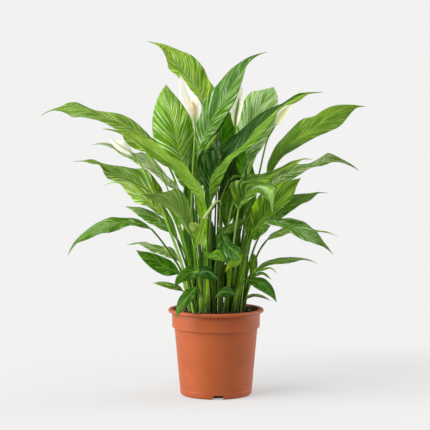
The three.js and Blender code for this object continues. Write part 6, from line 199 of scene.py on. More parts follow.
     [-344,450,2676,-344,450,2676,-344,450,2676,-360,517,2716,-383,484,2710,-332,548,2714,-376,582,2757,-423,493,2745,-319,668,2750,-392,646,2798,-461,522,2781,-309,765,2789,-408,708,2840,-494,561,2822,-307,851,2831,-424,769,2881,-524,606,2866,-312,928,2876,-440,828,2923,-551,657,2914,-322,997,2922,-456,886,2966,-576,712,2961,-334,1059,2968,-472,942,3008,-599,769,3008,-344,1115,3013,-488,997,3051,-621,828,3054,-355,1166,3056,-504,1050,3094,-640,889,3100,-367,1211,3100,-521,1102,3138,-658,952,3146,-382,1251,3143,-538,1152,3181,-675,1016,3192,-401,1288,3188,-556,1201,3224,-690,1082,3239,-422,1319,3232,-574,1248,3268,-702,1149,3285,-446,1347,3277,-590,1294,3312,-709,1220,3334,-470,1369,3323,-606,1338,3357,-714,1295,3384,-497,1383,3370,-620,1381,3402,-712,1368,3431,-528,1396,3416,-633,1422,3448,-701,1420,3473,-565,1424,3460,-644,1462,3495,-679,1461,3507,-610,1463,3501,-655,1500,3541,-655,1500,3541,-655,1500,3541]),
    ('leaf_back_center', 1, 2.41, 1.45, 0.1, (0.62, 0.62, 0.6, 0.62, 0.62, 0.6, 1, 1, 1, 0.3, 0.35, 0.0),
     [0,320,1120,-6,322,1319,-16,317,1518,-29,310,1717,-43,306,1916,-58,313,2115,-71,339,2312,-80,397,2502,-83,500,2672],
     [-83,500,2672,-83,500,2672,-83,500,2672,-79,573,2722,-107,539,2720,-50,606,2715,-75,643,2772,-133,551,2770,-16,735,2757,-71,711,2823,-156,584,2819,15,838,2802,-67,777,2875,-174,627,2870,40,927,2850,-63,840,2926,-189,677,2922,62,1005,2901,-59,901,2978,-200,731,2974,79,1073,2953,-56,959,3031,-208,789,3027,92,1134,3006,-53,1015,3084,-213,846,3079,99,1190,3059,-51,1069,3137,-213,903,3132,102,1242,3113,-49,1120,3191,-211,961,3185,101,1288,3167,-48,1169,3244,-208,1019,3238,98,1329,3222,-48,1215,3299,-201,1076,3291,92,1365,3277,-48,1259,3353,-193,1135,3345,83,1395,3332,-49,1301,3408,-183,1194,3399,72,1420,3388,-50,1340,3463,-172,1254,3452,58,1439,3444,-53,1377,3518,-161,1317,3505,41,1453,3500,-55,1411,3574,-146,1383,3560,20,1463,3557,-59,1443,3629,-125,1437,3618,-5,1473,3617,-65,1473,3685,-98,1470,3679,-38,1483,3679,-71,1500,3741,-71,1500,3741,-71,1500,3741]),
    ('leaf_back_right', 1, 2.39, 1.43, 0.1, (1.15, 1.1, 1.3, 1.15, 1.1, 1.3, 1, 1, 1, 0.5, 1.19, 0.0),
     [138,300,1120,146,301,1316,157,295,1512,171,287,1708,187,282,1904,207,286,2099,233,308,2292,264,359,2479,303,450,2648],
     [303,450,2648,303,450,2648,303,450,2648,322,509,2695,287,540,2696,327,499,2692,341,568,2742,269,650,2744,352,539,2737,360,626,2789,256,738,2793,376,586,2782,379,682,2837,251,816,2843,400,634,2828,398,738,2885,257,887,2894,423,685,2875,417,792,2933,269,951,2946,445,737,2924,436,846,2982,286,1010,2998,467,789,2973,456,898,3030,304,1065,3049,490,842,3021,477,949,3079,327,1117,3099,512,895,3069,497,1000,3128,352,1164,3148,533,947,3118,518,1049,3176,380,1207,3196,555,1000,3166,540,1098,3225,408,1246,3242,577,1053,3216,563,1146,3274,439,1280,3287,599,1105,3265,585,1192,3323,470,1309,3332,619,1157,3315,606,1238,3372,502,1335,3381,638,1209,3366,627,1282,3422,535,1356,3433,654,1260,3417,646,1326,3473,570,1373,3486,669,1311,3469,664,1368,3524,609,1394,3535,681,1360,3522,681,1409,3576,653,1418,3582,690,1407,3575,698,1450,3629,698,1450,3629,698,1450,3629]),
    ('leaf_back_low_right', 1, 2.17, 1.3, 0.1, (1, 1, 1, 1, 1, 1, 1, 1, 1, 0.4, 1.97, 0.27),
     [234,270,1116,249,258,1275,269,242,1433,294,229,1590,323,221,1747,358,223,1903,399,242,2056,445,290,2201,495,380,2323],
     [495,380,2323,495,380,2323,495,380,2323,513,433,2345,501,457,2349,525,409,2338,532,486,2368,507,552,2375,556,420,2354,551,538,2390,513,630,2401,587,448,2370,570,590,2413,522,700,2428,617,483,2385,590,643,2435,535,764,2454,646,525,2401,611,694,2456,554,823,2479,672,571,2418,634,746,2477,577,879,2503,697,620,2435,657,798,2497,603,933,2526,722,671,2453,681,849,2516,629,983,2550,748,725,2469,706,900,2534,658,1029,2574,774,781,2484,733,951,2551,689,1073,2599,801,840,2498,761,1002,2566,723,1113,2622,829,901,2510,791,1052,2579,761,1149,2645,860,967,2521,822,1102,2590,803,1180,2666,893,1036,2530,854,1152,2597,843,1208,2678,922,1108,2538,888,1202,2602,883,1232,2680,948,1183,2543,923,1252,2602,921,1260,2671,971,1248,2548,957,1302,2597,958,1303,2649,991,1301,2556,992,1351,2587,992,1352,2614,1009,1350,2567,1026,1400,2577,1026,1400,2577,1026,1400,2577]),
]
# Each flower stalk: name, radius at the soil and at the top, centreline points.
SCAPES = [
    ('flower_left_of_center_scape', 1.5, 1.15, [-217,-53,1124,-233,-69,1330,-253,-84,1535,-274,-89,1740,-295,-88,1945,-313,-89,2151,-325,-92,2357,-330,-99,2564,-326,-110,2770,-315,-124,2976,-307,-139,3181,-293,-157,3387,-282,-175,3592,-289,-195,3797]),
    ('flower_center_right_scape', 1.5, 1.15, [41,100,1120,53,102,1331,67,106,1543,82,112,1754,97,118,1965,117,124,2175,143,131,2385,171,138,2595,194,144,2806,215,148,3016,234,152,3227,252,160,3438,269,175,3648,282,191,3859]),
    ('flower_left_scape', 1.5, 1.15, [-296,-258,1122,-333,-254,1304,-375,-254,1485,-418,-259,1665,-466,-267,1844,-524,-277,2019,-587,-290,2193,-649,-303,2367,-715,-317,2540,-799,-331,2705,-876,-345,2872,-944,-361,3044,-1033,-378,3205,-1145,-395,3352]),
    ('flower_bud_right_scape', 1.5, 1.15, [219,118,1123,243,117,1322,273,115,1520,303,114,1718,335,113,1916,370,113,2113,414,113,2309,463,113,2503,512,114,2697,561,116,2891,605,110,3087,647,97,3282,699,81,3475,795,68,3648]),
]
# Each open hood: name, rows of midrib, left edge and right edge points.
SPATHES = [
    ('flower_left_of_center_spathe',
     [-289,-140,3648,-289,-140,3648,-289,-140,3648,-293,-136,3685,-309,-159,3702,-264,-155,3695,-299,-130,3740,-339,-203,3782,-228,-187,3765,-306,-123,3795,-369,-222,3847,-205,-199,3824,-310,-118,3831,-390,-225,3882,-195,-201,3857,-316,-113,3868,-410,-221,3915,-190,-197,3889,-327,-105,3922,-439,-207,3963,-193,-189,3935,-343,-96,3975,-466,-187,4011,-211,-184,3981,-355,-90,4010,-481,-171,4042,-228,-178,4010,-366,-84,4045,-491,-157,4073,-247,-172,4039,-384,-75,4098,-497,-141,4119,-282,-159,4079,-403,-65,4150,-497,-126,4166,-322,-138,4120,-416,-58,4184,-496,-114,4198,-346,-117,4151,-431,-51,4218,-493,-100,4229,-369,-87,4185,-454,-40,4269,-488,-74,4276,-405,-44,4241,-473,-28,4321,-486,-39,4324,-450,-28,4307,-484,-20,4356,-484,-20,4356,-484,-20,4356]),
    ('flower_center_right_spathe',
     [264,111,3598,264,111,3598,264,111,3598,264,109,3628,251,121,3634,277,121,3627,263,107,3673,230,143,3689,296,146,3672,263,106,3719,214,151,3743,314,157,3717,265,106,3749,207,153,3775,324,161,3747,269,106,3779,204,153,3804,332,163,3777,276,107,3823,205,152,3845,343,164,3822,284,109,3868,210,151,3887,353,164,3866,290,111,3898,217,151,3916,358,162,3896,295,113,3927,227,153,3946,363,160,3926,304,117,3971,244,154,3991,369,154,3970,314,122,4016,263,153,4035,374,146,4015,322,126,4045,277,151,4063,375,139,4044,329,130,4074,292,147,4090,375,134,4074,340,137,4118,315,141,4130,372,137,4118,348,145,4162,337,146,4168,361,146,4162,352,151,4192,352,151,4192,352,151,4192]),
    ('flower_left_spathe',
     [-1089,-460,3276,-1089,-460,3276,-1089,-460,3276,-1104,-463,3292,-1101,-450,3303,-1112,-451,3279,-1128,-467,3317,-1120,-423,3344,-1146,-427,3284,-1153,-469,3341,-1142,-412,3383,-1181,-416,3292,-1171,-469,3354,-1160,-411,3407,-1205,-411,3300,-1191,-469,3365,-1182,-415,3430,-1228,-408,3309,-1221,-467,3381,-1215,-424,3459,-1263,-404,3324,-1250,-463,3399,-1247,-422,3478,-1295,-401,3344,-1270,-460,3411,-1268,-414,3485,-1315,-399,3359,-1289,-456,3424,-1289,-405,3489,-1334,-398,3375,-1317,-449,3443,-1320,-395,3495,-1359,-396,3401,-1345,-441,3463,-1349,-389,3501,-1380,-393,3429,-1363,-434,3477,-1368,-386,3504,-1392,-391,3449,-1380,-427,3492,-1385,-385,3511,-1403,-390,3470,-1405,-414,3516,-1408,-388,3526,-1419,-392,3502,-1428,-400,3541,-1429,-393,3546,-1433,-394,3536,-1443,-390,3558,-1443,-390,3558,-1443,-390,3558]),
]
SPADICES = [
    ('flower_left_of_center_spadix', [-289,-195,3805,-292,-195,3833,-295,-195,3861,-299,-195,3885,-302,-195,3904,-307,-195,3924,-311,-195,3948,-316,-195,3976,-321,-195,4005]),
    ('flower_center_right_spadix', [284,191,3867,287,191,3887,290,191,3907,293,191,3927,296,191,3947,300,191,3969,304,191,3991,308,191,4013,312,191,4035]),
    ('flower_left_spadix', [-1151,-395,3357,-1162,-395,3364,-1174,-395,3371,-1185,-395,3379,-1198,-395,3387,-1212,-395,3395,-1227,-395,3405,-1242,-395,3414,-1257,-395,3424]),
]
BUDS = [
    ('flower_bud_right_spathe', [799,68,3655,834,71,3709,868,76,3765,907,81,3821,954,88,3876,988,96,3919,1034,106,3979,1086,116,4061,1137,128,4165]),
]
# How much the margins of some leaves ripple, in mm.
WAVE = {"leaf_left_low_big": 2.6, "leaf_low_left_small": 1.2, "leaf_right_drooping": 2.2, "leaf_left_big": 2.0, "leaf_left_drooping": 2.0, "leaf_right_folded": 2.0, "leaf_left_low_grey": 2.2}
# Young leaves in the heart of the plant, as the leaves above; the darkest of them are tinted near black-green to stand
# for the shade in the heart, painted shade.
INNER_LEAVES = [
    ('young_behind_left', 1, 1.5, 1.0, 0.1, (0.4, 0.5, 0.3, 0.4, 0.5, 0.3, 1, 1, 1, 0.3, 0.55, 0.0),
     [-177,100,1128,-193,107,1369,-208,114,1610,-219,121,1851,-225,127,2093,-228,134,2334,-231,140,2576],
     [-231,140,2617,-235,139,2616,-229,139,2617,-239,143,2704,-292,130,2699,-205,134,2707,-248,145,2792,-326,125,2784,-195,132,2797,-256,148,2879,-351,124,2870,-192,132,2885,-264,152,2966,-365,127,2957,-196,135,2973,-272,160,3054,-371,135,3044,-206,144,3060,-280,172,3140,-367,151,3132,-222,158,3146,-289,188,3226,-364,169,3219,-238,175,3231,-297,205,3312,-348,193,3307,-263,197,3315,-305,223,3398,-331,217,3395,-288,219,3399,-313,240,3483,-313,240,3483,-313,240,3483]),
    ('young_dark_wedge', 1, 1.5, 1.0, 0.1, (0.2, 0.3, 0.1, 0.2, 0.3, 0.1, 1, 1, 1, 0.1, 0.55, 0.0),
     [0,60,1119,14,58,1341,28,55,1562,39,51,1784,44,43,2006,42,32,2228,41,20,2449],
     [41,20,2531,38,19,2532,43,20,2530,61,16,2613,29,1,2620,93,13,2605,80,11,2695,32,-11,2706,129,7,2684,100,6,2776,42,-21,2791,159,1,2763,121,2,2858,59,-26,2875,184,-3,2842,144,0,2939,85,-27,2958,205,-5,2921,171,1,3019,120,-23,3038,224,-3,3001,201,5,3097,157,-16,3116,246,1,3080,233,10,3175,204,-4,3189,263,7,3163,266,15,3253,250,8,3260,281,14,3247,297,20,3331,297,20,3331,297,20,3331]),
    ('young_light_strip', -1, 1.5, 1.0, 0.1, (1.3, 1.25, 1.0, 1.3, 1.25, 1.0, 1, 1, 1, 0.1, 1.0, 0.0),
     [-135,-200,1113,-138,-205,1301,-141,-209,1490,-144,-214,1678,-148,-220,1866,-154,-229,2054,-161,-240,2242],
     [-161,-240,2269,-163,-240,2269,-159,-241,2269,-172,-246,2337,-197,-248,2334,-146,-258,2340,-181,-253,2405,-220,-256,2400,-143,-270,2410,-191,-259,2473,-238,-263,2467,-145,-280,2480,-202,-265,2541,-252,-269,2533,-153,-288,2549,-215,-270,2609,-262,-274,2600,-167,-292,2618,-229,-273,2676,-271,-276,2668,-187,-292,2686,-245,-275,2743,-281,-278,2735,-209,-292,2752,-261,-277,2810,-286,-279,2805,-237,-288,2817,-278,-278,2877,-291,-279,2874,-266,-284,2881,-295,-280,2944,-295,-280,2944,-295,-280,2944]),
    ('young_left_band', 1, 1.7, 1.3, 0.1, (0.85, 0.9, 0.6, 0.85, 0.9, 0.6, 1, 1, 1, 0.2, 0.78, 0.0),
     [-271,-100,1127,-301,-111,1292,-330,-123,1457,-362,-135,1622,-404,-148,1784,-457,-164,1943,-512,-180,2101],
     [-512,-180,2101,-513,-180,2101,-510,-181,2102,-535,-186,2162,-555,-186,2156,-516,-197,2170,-558,-192,2223,-588,-192,2214,-530,-208,2234,-581,-198,2284,-617,-197,2273,-547,-218,2298,-605,-203,2345,-643,-203,2332,-568,-224,2360,-630,-208,2406,-666,-208,2392,-594,-228,2422,-656,-211,2466,-688,-211,2452,-626,-229,2481,-685,-212,2525,-712,-212,2512,-659,-228,2539,-716,-212,2582,-734,-212,2573,-699,-222,2593,-748,-211,2640,-757,-211,2635,-739,-216,2645,-779,-210,2698,-779,-210,2698,-779,-210,2698]),
    ('young_left_second', 1, 1.6, 1.2, 0.1, (0.7, 0.8, 0.5, 0.7, 0.8, 0.5, 1, 1, 1, 0.2, 1.7, 0.2),
     [-231,0,1127,-259,-9,1321,-289,-18,1515,-328,-27,1708,-373,-37,1898,-421,-41,2089,-474,-40,2278],
     [-474,-40,2278,-475,-40,2277,-472,-41,2278,-491,-34,2323,-511,-34,2316,-475,-43,2331,-508,-28,2369,-537,-28,2358,-483,-42,2380,-525,-22,2415,-560,-22,2402,-495,-39,2429,-543,-16,2461,-580,-16,2445,-511,-34,2476,-562,-8,2506,-597,-9,2489,-532,-26,2522,-584,1,2549,-613,0,2531,-559,-15,2566,-610,13,2589,-633,11,2570,-590,0,2607,-641,28,2624,-655,27,2610,-629,19,2638,-673,44,2657,-681,44,2650,-667,40,2664,-705,60,2691,-705,60,2691,-705,60,2691]),
    ('young_right_under', 1, 1.6, 1.2, 0.1, (0.6, 0.7, 0.4, 0.6, 0.7, 0.4, 1, 1, 1, 0.1, 0.57, 0.0),
     [272,-40,1133,278,-52,1312,285,-64,1491,294,-77,1671,313,-91,1849,338,-105,2026,364,-120,2204],
     [364,-120,2258,362,-121,2259,366,-120,2257,382,-126,2308,359,-140,2317,407,-126,2301,400,-132,2359,365,-153,2371,437,-132,2348,418,-139,2409,375,-163,2424,463,-139,2396,436,-145,2460,391,-171,2476,484,-144,2445,455,-149,2510,411,-175,2527,501,-149,2495,474,-153,2560,435,-175,2575,514,-153,2547,493,-155,2611,460,-174,2624,528,-155,2598,512,-157,2661,490,-170,2670,536,-157,2652,532,-158,2711,520,-165,2716,544,-158,2707,551,-160,2761,551,-160,2761,551,-160,2761]),
    ('young_mid_band', 1, 1.4, 1.1, 0.1, (0.3, 0.42, 0.2, 0.3, 0.42, 0.2, 1, 1, 1, 0.1, 0.55, 0.0),
     [-14,-100,1127,-7,-95,1310,-1,-90,1494,5,-85,1677,14,-79,1861,31,-71,2043,54,-60,2225],
     [54,-60,2253,53,-60,2253,55,-60,2252,55,-64,2308,41,-69,2308,72,-67,2308,56,-69,2364,34,-77,2364,81,-73,2363,58,-74,2419,31,-83,2420,87,-78,2419,59,-77,2475,30,-87,2475,90,-82,2474,60,-80,2530,33,-89,2531,91,-85,2530,61,-79,2586,37,-88,2587,89,-84,2585,63,-76,2642,42,-83,2643,86,-80,2641,64,-71,2697,50,-76,2698,80,-74,2697,66,-65,2753,59,-68,2753,74,-66,2752,67,-60,2808,67,-60,2808,67,-60,2808]),
    ('young_right_first', 1, 1.5, 1.1, 0.1, (0.65, 0.75, 0.4, 0.65, 0.75, 0.4, 1, 1, 1, 0.1, 0.6, 0.0),
     [190,0,1127,210,1,1345,229,1,1563,255,-2,1780,291,-14,1995,328,-21,2210,365,-20,2426],
     [365,-20,2426,364,-21,2426,367,-20,2425,382,-17,2471,365,-26,2478,401,-17,2464,398,-14,2517,373,-28,2527,428,-14,2507,415,-11,2563,384,-29,2576,450,-11,2551,431,-8,2609,399,-26,2623,469,-8,2595,449,-3,2654,417,-21,2669,485,-3,2640,468,2,2699,441,-13,2713,499,2,2685,488,10,2742,466,-3,2756,515,10,2729,510,20,2785,495,11,2794,528,20,2775,533,30,2827,525,26,2832,542,30,2822,555,40,2869,555,40,2869,555,40,2869]),
    ('young_right_second', 1, 1.5, 1.2, 0.1, (1.0, 1.0, 0.7, 1.0, 1.0, 0.7, 1, 1, 1, 0.1, 2.2, 0.4),
     [270,-160,1135,297,-166,1311,325,-170,1487,356,-168,1662,389,-163,1837,431,-154,2010,485,-140,2179],
     [499,-140,2179,498,-141,2179,500,-140,2178,515,-136,2219,499,-147,2227,534,-134,2212,531,-131,2260,507,-148,2272,560,-128,2249,547,-126,2301,519,-146,2315,582,-123,2287,564,-123,2342,533,-144,2357,601,-119,2327,581,-120,2382,551,-141,2397,617,-117,2368,599,-119,2423,573,-137,2436,630,-116,2410,617,-119,2463,595,-134,2474,645,-116,2451,636,-119,2503,621,-130,2511,655,-118,2495,655,-120,2543,647,-125,2547,664,-119,2539,674,-120,2583,674,-120,2583,674,-120,2583]),
    ('young_right_third', 1, 1.6, 1.2, 0.1, (0.9, 0.95, 0.6, 0.9, 0.95, 0.6, 1, 1, 1, 0.1, 2.0, 0.35),
     [244,-100,1127,269,-105,1312,295,-110,1496,325,-111,1680,357,-110,1864,393,-106,2047,432,-100,2229],
     [432,-100,2229,431,-101,2230,434,-100,2228,449,-96,2276,433,-107,2283,468,-94,2269,466,-92,2322,442,-109,2333,495,-89,2312,482,-88,2369,453,-108,2382,518,-85,2356,499,-84,2416,469,-106,2429,537,-81,2402,517,-81,2462,487,-102,2476,553,-78,2448,536,-79,2508,510,-98,2521,568,-76,2495,556,-79,2553,534,-94,2565,584,-76,2542,578,-79,2598,563,-90,2606,596,-77,2590,599,-80,2643,592,-85,2647,609,-79,2639,621,-80,2688,621,-80,2688,621,-80,2688]),
    ('young_low_upright', 1, 1.2, 1.0, 0.1, (0.7, 0.75, 0.4, 0.7, 0.75, 0.4, 1, 1, 1, 0.1, 0.62, 0.0),
     [176,-120,1130,187,-126,1191,197,-131,1253,208,-137,1314,218,-141,1376,228,-141,1438,236,-140,1500],
     [236,-140,1486,235,-140,1487,238,-140,1486,241,-143,1527,223,-147,1529,258,-147,1525,245,-145,1568,218,-152,1571,271,-152,1565,249,-148,1609,217,-156,1612,281,-156,1605,253,-150,1650,219,-158,1653,287,-158,1646,258,-150,1690,225,-158,1694,291,-158,1687,263,-149,1731,234,-156,1735,292,-156,1728,268,-147,1772,243,-153,1775,293,-153,1769,273,-145,1813,256,-149,1815,290,-149,1810,278,-142,1853,270,-144,1854,287,-144,1852,283,-140,1894,283,-140,1894,283,-140,1894]),
    ('young_dark_center', 1, 1.3, 1.0, 0.1, (0.15, 0.25, 0.1, 0.15, 0.25, 0.1, 1, 1, 1, 0.1, 0.55, 0.0),
     [-109,40,1122,-105,43,1222,-102,45,1322,-98,48,1422,-94,51,1522,-88,55,1622,-82,60,1722],
     [-82,60,1722,-85,59,1723,-78,59,1722,-79,60,1787,-124,48,1788,-36,49,1785,-76,59,1851,-144,42,1854,-12,43,1848,-73,59,1915,-155,38,1918,4,39,1911,-70,59,1979,-157,37,1983,12,38,1975,-67,61,2043,-152,39,2047,13,41,2038,-63,64,2107,-138,45,2111,7,46,2103,-59,67,2171,-124,51,2175,2,52,2167,-55,72,2235,-99,61,2237,-14,61,2232,-51,76,2299,-74,70,2300,-30,71,2297,-48,80,2362,-48,80,2362,-48,80,2362]),
    ('young_dark_low', 1, 1.3, 1.0, 0.1, (0.15, 0.22, 0.1, 0.15, 0.22, 0.1, 1, 1, 1, 0.05, 0.55, 0.0),
     [136,40,1122,136,43,1163,136,45,1204,136,48,1245,136,50,1286,136,51,1327,136,50,1368],
     [136,50,1340,133,49,1340,139,49,1340,137,52,1392,100,43,1393,175,43,1391,139,55,1444,82,41,1445,195,41,1443,140,58,1496,72,41,1498,208,41,1494,142,59,1548,69,41,1551,214,41,1545,144,60,1600,74,43,1604,215,43,1596,148,61,1652,86,45,1656,210,45,1647,152,61,1704,98,47,1708,205,47,1700,155,60,1755,119,51,1758,192,51,1753,159,60,1807,141,55,1809,178,55,1806,163,60,1859,163,60,1859,163,60,1859]),
    ('young_dark_low_second', 1, 1.3, 1.0, 0.1, (0.15, 0.22, 0.1, 0.15, 0.22, 0.1, 1, 1, 1, 0.05, 0.55, 0.0),
     [0,70,1118,0,72,1157,0,75,1195,0,77,1234,0,80,1273,2,81,1312,7,80,1350],
     [7,80,1323,4,79,1323,9,79,1323,8,80,1420,-27,71,1420,41,72,1419,10,79,1517,-43,66,1518,59,67,1516,11,79,1614,-53,63,1615,70,64,1613,13,80,1711,-55,63,1712,76,64,1710,15,81,1808,-51,64,1810,76,65,1807,17,82,1905,-41,68,1907,71,69,1904,20,84,2002,-31,72,2004,66,72,2001,22,86,2099,-12,78,2100,54,78,2098,25,88,2196,7,84,2197,41,84,2196,27,90,2293,27,90,2293,27,90,2293]),
    ('young_right_fourth', 1, 1.5, 1.1, 0.1, (0.4, 0.5, 0.25, 0.4, 0.5, 0.25, 1, 1, 1, 0.1, 0.7, 0.0),
     [150,80,1117,177,85,1298,204,90,1480,229,94,1662,253,98,1844,271,107,2026,286,120,2209],
     [286,120,2209,283,119,2209,288,119,2208,294,128,2266,260,119,2271,324,121,2261,303,136,2323,251,123,2331,347,125,2316,311,144,2380,248,128,2390,365,131,2372,320,153,2437,253,136,2448,378,138,2428,330,163,2494,264,146,2505,385,149,2484,340,173,2550,282,159,2561,389,161,2541,350,185,2606,301,172,2616,393,174,2598,361,197,2663,327,188,2669,389,189,2657,371,208,2719,354,204,2722,386,205,2716,382,220,2775,382,220,2775,382,220,2775]),
    ('young_right_fifth', 1, 1.5, 1.1, 0.1, (0.45, 0.55, 0.3, 0.45, 0.55, 0.3, 1, 1, 1, 0.1, 0.7, 0.0),
     [233,160,1120,265,159,1287,296,160,1454,327,163,1621,358,168,1788,390,174,1954,423,180,2121],
     [423,180,2121,420,179,2121,425,179,2120,435,188,2178,401,179,2185,464,181,2171,447,196,2234,396,183,2245,491,185,2225,459,204,2291,397,188,2304,513,190,2280,470,213,2348,403,196,2360,527,198,2337,480,222,2404,415,206,2415,536,208,2395,489,233,2461,431,219,2470,538,221,2454,497,245,2518,447,232,2525,540,234,2512,505,256,2575,471,248,2579,533,249,2571,512,268,2632,495,264,2634,527,265,2630,520,280,2688,520,280,2688,520,280,2688]),
    ('young_left_third', 1, 1.5, 1.1, 0.1, (0.5, 0.6, 0.3, 0.5, 0.6, 0.3, 1, 1, 1, 0.1, 0.7, 0.0),
     [-178,160,1120,-213,160,1299,-246,160,1480,-277,159,1660,-306,159,1841,-332,167,2022,-355,180,2203],
     [-355,180,2203,-357,179,2203,-352,179,2203,-360,192,2258,-390,184,2255,-330,184,2261,-365,203,2313,-410,192,2309,-320,192,2317,-370,215,2367,-424,202,2362,-315,202,2373,-376,228,2422,-433,213,2415,-318,213,2429,-383,241,2476,-439,227,2467,-327,227,2485,-393,256,2530,-442,243,2520,-344,243,2539,-403,271,2582,-446,261,2573,-361,261,2591,-415,288,2635,-443,280,2629,-386,280,2641,-427,304,2688,-441,300,2684,-412,300,2691,-438,320,2740,-438,320,2740,-438,320,2740]),
    ('young_center_back', 1, 1.5, 1.1, 0.1, (0.5, 0.65, 0.3, 0.5, 0.65, 0.3, 1, 1, 1, 0.1, 0.7, 0.0),
     [-55,200,1114,-54,208,1265,-54,217,1416,-57,226,1567,-64,235,1718,-76,247,1868,-96,260,2017],
     [-96,260,2017,-98,260,2017,-94,260,2017,-105,269,2070,-130,263,2065,-81,263,2074,-115,278,2122,-152,268,2116,-78,268,2129,-125,287,2175,-170,276,2167,-80,276,2183,-134,296,2228,-182,284,2220,-86,284,2236,-142,306,2281,-189,295,2274,-95,295,2288,-150,317,2334,-191,307,2328,-108,307,2339,-157,328,2386,-193,319,2382,-121,319,2391,-164,338,2439,-188,332,2436,-140,332,2442,-171,349,2492,-183,346,2490,-159,346,2494,-178,360,2545,-178,360,2545,-178,360,2545]),
    ('young_right_sprig', 1, 1.0, 0.8, 0.1, (0.8, 0.85, 0.6, 0.8, 0.85, 0.6, 1, 1, 1, 0.3, 0.75, 0.0),
     [339,-40,1133,362,-45,1209,384,-51,1285,406,-56,1361,429,-63,1437,451,-71,1513,474,-80,1588],
     [474,-80,1602,473,-80,1603,474,-80,1601,503,-80,1618,498,-83,1626,509,-83,1607,532,-80,1636,524,-84,1648,541,-85,1620,560,-81,1653,552,-85,1669,570,-86,1633,591,-81,1666,586,-86,1685,597,-86,1644,624,-80,1670,626,-85,1688,622,-86,1647,655,-78,1658,663,-82,1673,646,-83,1641,683,-76,1639,692,-80,1650,672,-81,1626,708,-74,1617,714,-77,1624,700,-77,1608,732,-72,1594,736,-73,1598,729,-74,1590,758,-70,1573,758,-70,1573,758,-70,1573]),
    ('young_thin_arc', 1, 0.9, 0.8, 0.1, (1.1, 1.1, 0.8, 1.1, 1.1, 0.8, 1, 1, 1, 0.1, 1.5, 0.35),
     [40,-200,1127,40,-200,1433,39,-201,1740,43,-198,2047,49,-192,2353,63,-185,2659,175,-170,2937],
     [175,-170,2937,174,-170,2938,175,-170,2937,193,-168,2949,188,-171,2957,199,-171,2941,211,-167,2961,203,-170,2974,220,-170,2949,229,-165,2974,220,-169,2989,239,-169,2958,249,-163,2984,241,-168,3002,256,-168,2966,270,-160,2991,266,-165,3009,273,-165,2972,291,-156,2992,292,-160,3008,291,-160,2975,313,-152,2989,315,-156,3003,310,-156,2975,334,-148,2984,336,-151,2994,332,-151,2975,355,-144,2980,356,-145,2984,354,-145,2975,376,-140,2976,376,-140,2976,376,-140,2976]),
    ('young_pale_petiole', -1, 1.3, 1.7, 0.1, (1.6, 1.4, 1.8, 1.6, 1.4, 1.8, 1, 1, 1, 0.1, 1.3, 0.9),
     [14,-40,1133,36,-34,1492,56,-30,1853,65,-27,2213,75,-45,2572,-3,-341,2655,-166,-580,2446],
     [-166,-580,2446,-164,-581,2446,-169,-581,2447,-176,-587,2409,-147,-595,2401,-210,-596,2418,-187,-595,2371,-143,-607,2359,-238,-609,2385,-197,-603,2333,-144,-616,2319,-259,-619,2350,-207,-608,2295,-151,-623,2280,-273,-625,2312,-217,-611,2257,-162,-625,2243,-281,-628,2273,-227,-612,2218,-179,-625,2206,-284,-627,2232,-237,-612,2179,-195,-623,2169,-286,-625,2191,-246,-611,2141,-218,-619,2134,-279,-620,2149,-256,-610,2102,-241,-614,2098,-273,-615,2106,-265,-610,2063,-265,-610,2063,-265,-610,2063]),
    ('young_pale_curl', -1, 1.0, 0.8, 0.1, (1.7, 1.5, 1.8, 1.7, 1.5, 1.8, 1, 1, 1, 0.2, 0.8, 0.0),
     [-149,-100,1127,-157,-107,1490,-162,-120,1854,-163,-148,2216,-163,-181,2578,-159,-210,2941,-148,-230,3303],
     [-147,-230,3330,-148,-230,3331,-147,-230,3330,-131,-233,3359,-138,-235,3363,-120,-236,3354,-115,-235,3389,-125,-238,3395,-99,-240,3380,-98,-238,3418,-110,-242,3426,-79,-243,3407,-80,-240,3447,-93,-244,3455,-61,-245,3433,-60,-240,3474,-72,-244,3483,-42,-246,3460,-38,-239,3500,-49,-242,3508,-23,-244,3486,-16,-237,3524,-24,-240,3532,-3,-241,3513,7,-235,3549,2,-236,3554,16,-237,3541,30,-232,3573,28,-233,3576,35,-234,3569,53,-230,3598,53,-230,3598,53,-230,3598]),
    ('young_folded_dark', 1, 1.0, 0.9, 0.1, (0.12, 0.24, 0.08, 0.12, 0.24, 0.08, 1, 1, 1, 0.4, 0.6, 0.0),
     [-14,-140,1132,-5,-152,1461,4,-165,1790,13,-179,2118,22,-198,2446,31,-219,2775,40,-240,3103],
     [40,-240,3156,38,-241,3156,42,-241,3157,37,-245,3199,9,-252,3197,67,-253,3201,34,-251,3242,-8,-261,3239,79,-262,3245,31,-255,3285,-19,-268,3281,85,-269,3288,28,-259,3328,-26,-272,3324,86,-274,3331,25,-261,3371,-27,-274,3367,82,-275,3374,22,-261,3414,-23,-273,3411,72,-274,3416,20,-261,3457,-19,-271,3454,63,-272,3459,18,-261,3500,-9,-267,3498,47,-268,3501,15,-260,3543,2,-264,3542,30,-264,3544,13,-260,3586,13,-260,3586,13,-260,3586]),
    ('young_back_dark_first', 1, 1.3, 1.0, 0.1, (0.16, 0.24, 0.1, 0.16, 0.24, 0.1, 1, 1, 1, 0.05, 0.5, 0.0),
     [206,220,1112,210,223,1224,214,226,1336,218,229,1448,223,233,1561,228,236,1673,233,240,1785],
     [233,240,1771,229,239,1772,236,239,1771,237,244,1840,192,233,1843,282,233,1837,241,249,1908,174,232,1912,309,232,1904,246,253,1977,164,233,1982,327,233,1971,250,258,2045,163,236,2051,337,236,2039,256,262,2113,171,240,2120,340,240,2106,262,265,2182,187,247,2189,336,247,2175,268,269,2250,203,253,2256,332,253,2244,274,273,2318,231,262,2323,318,262,2314,281,276,2387,259,271,2389,303,271,2385,287,280,2455,287,280,2455,287,280,2455]),
    ('young_back_dark_second', 1, 1.3, 1.0, 0.1, (0.2, 0.3, 0.12, 0.2, 0.3, 0.12, 1, 1, 1, 0.05, 0.5, 0.0),
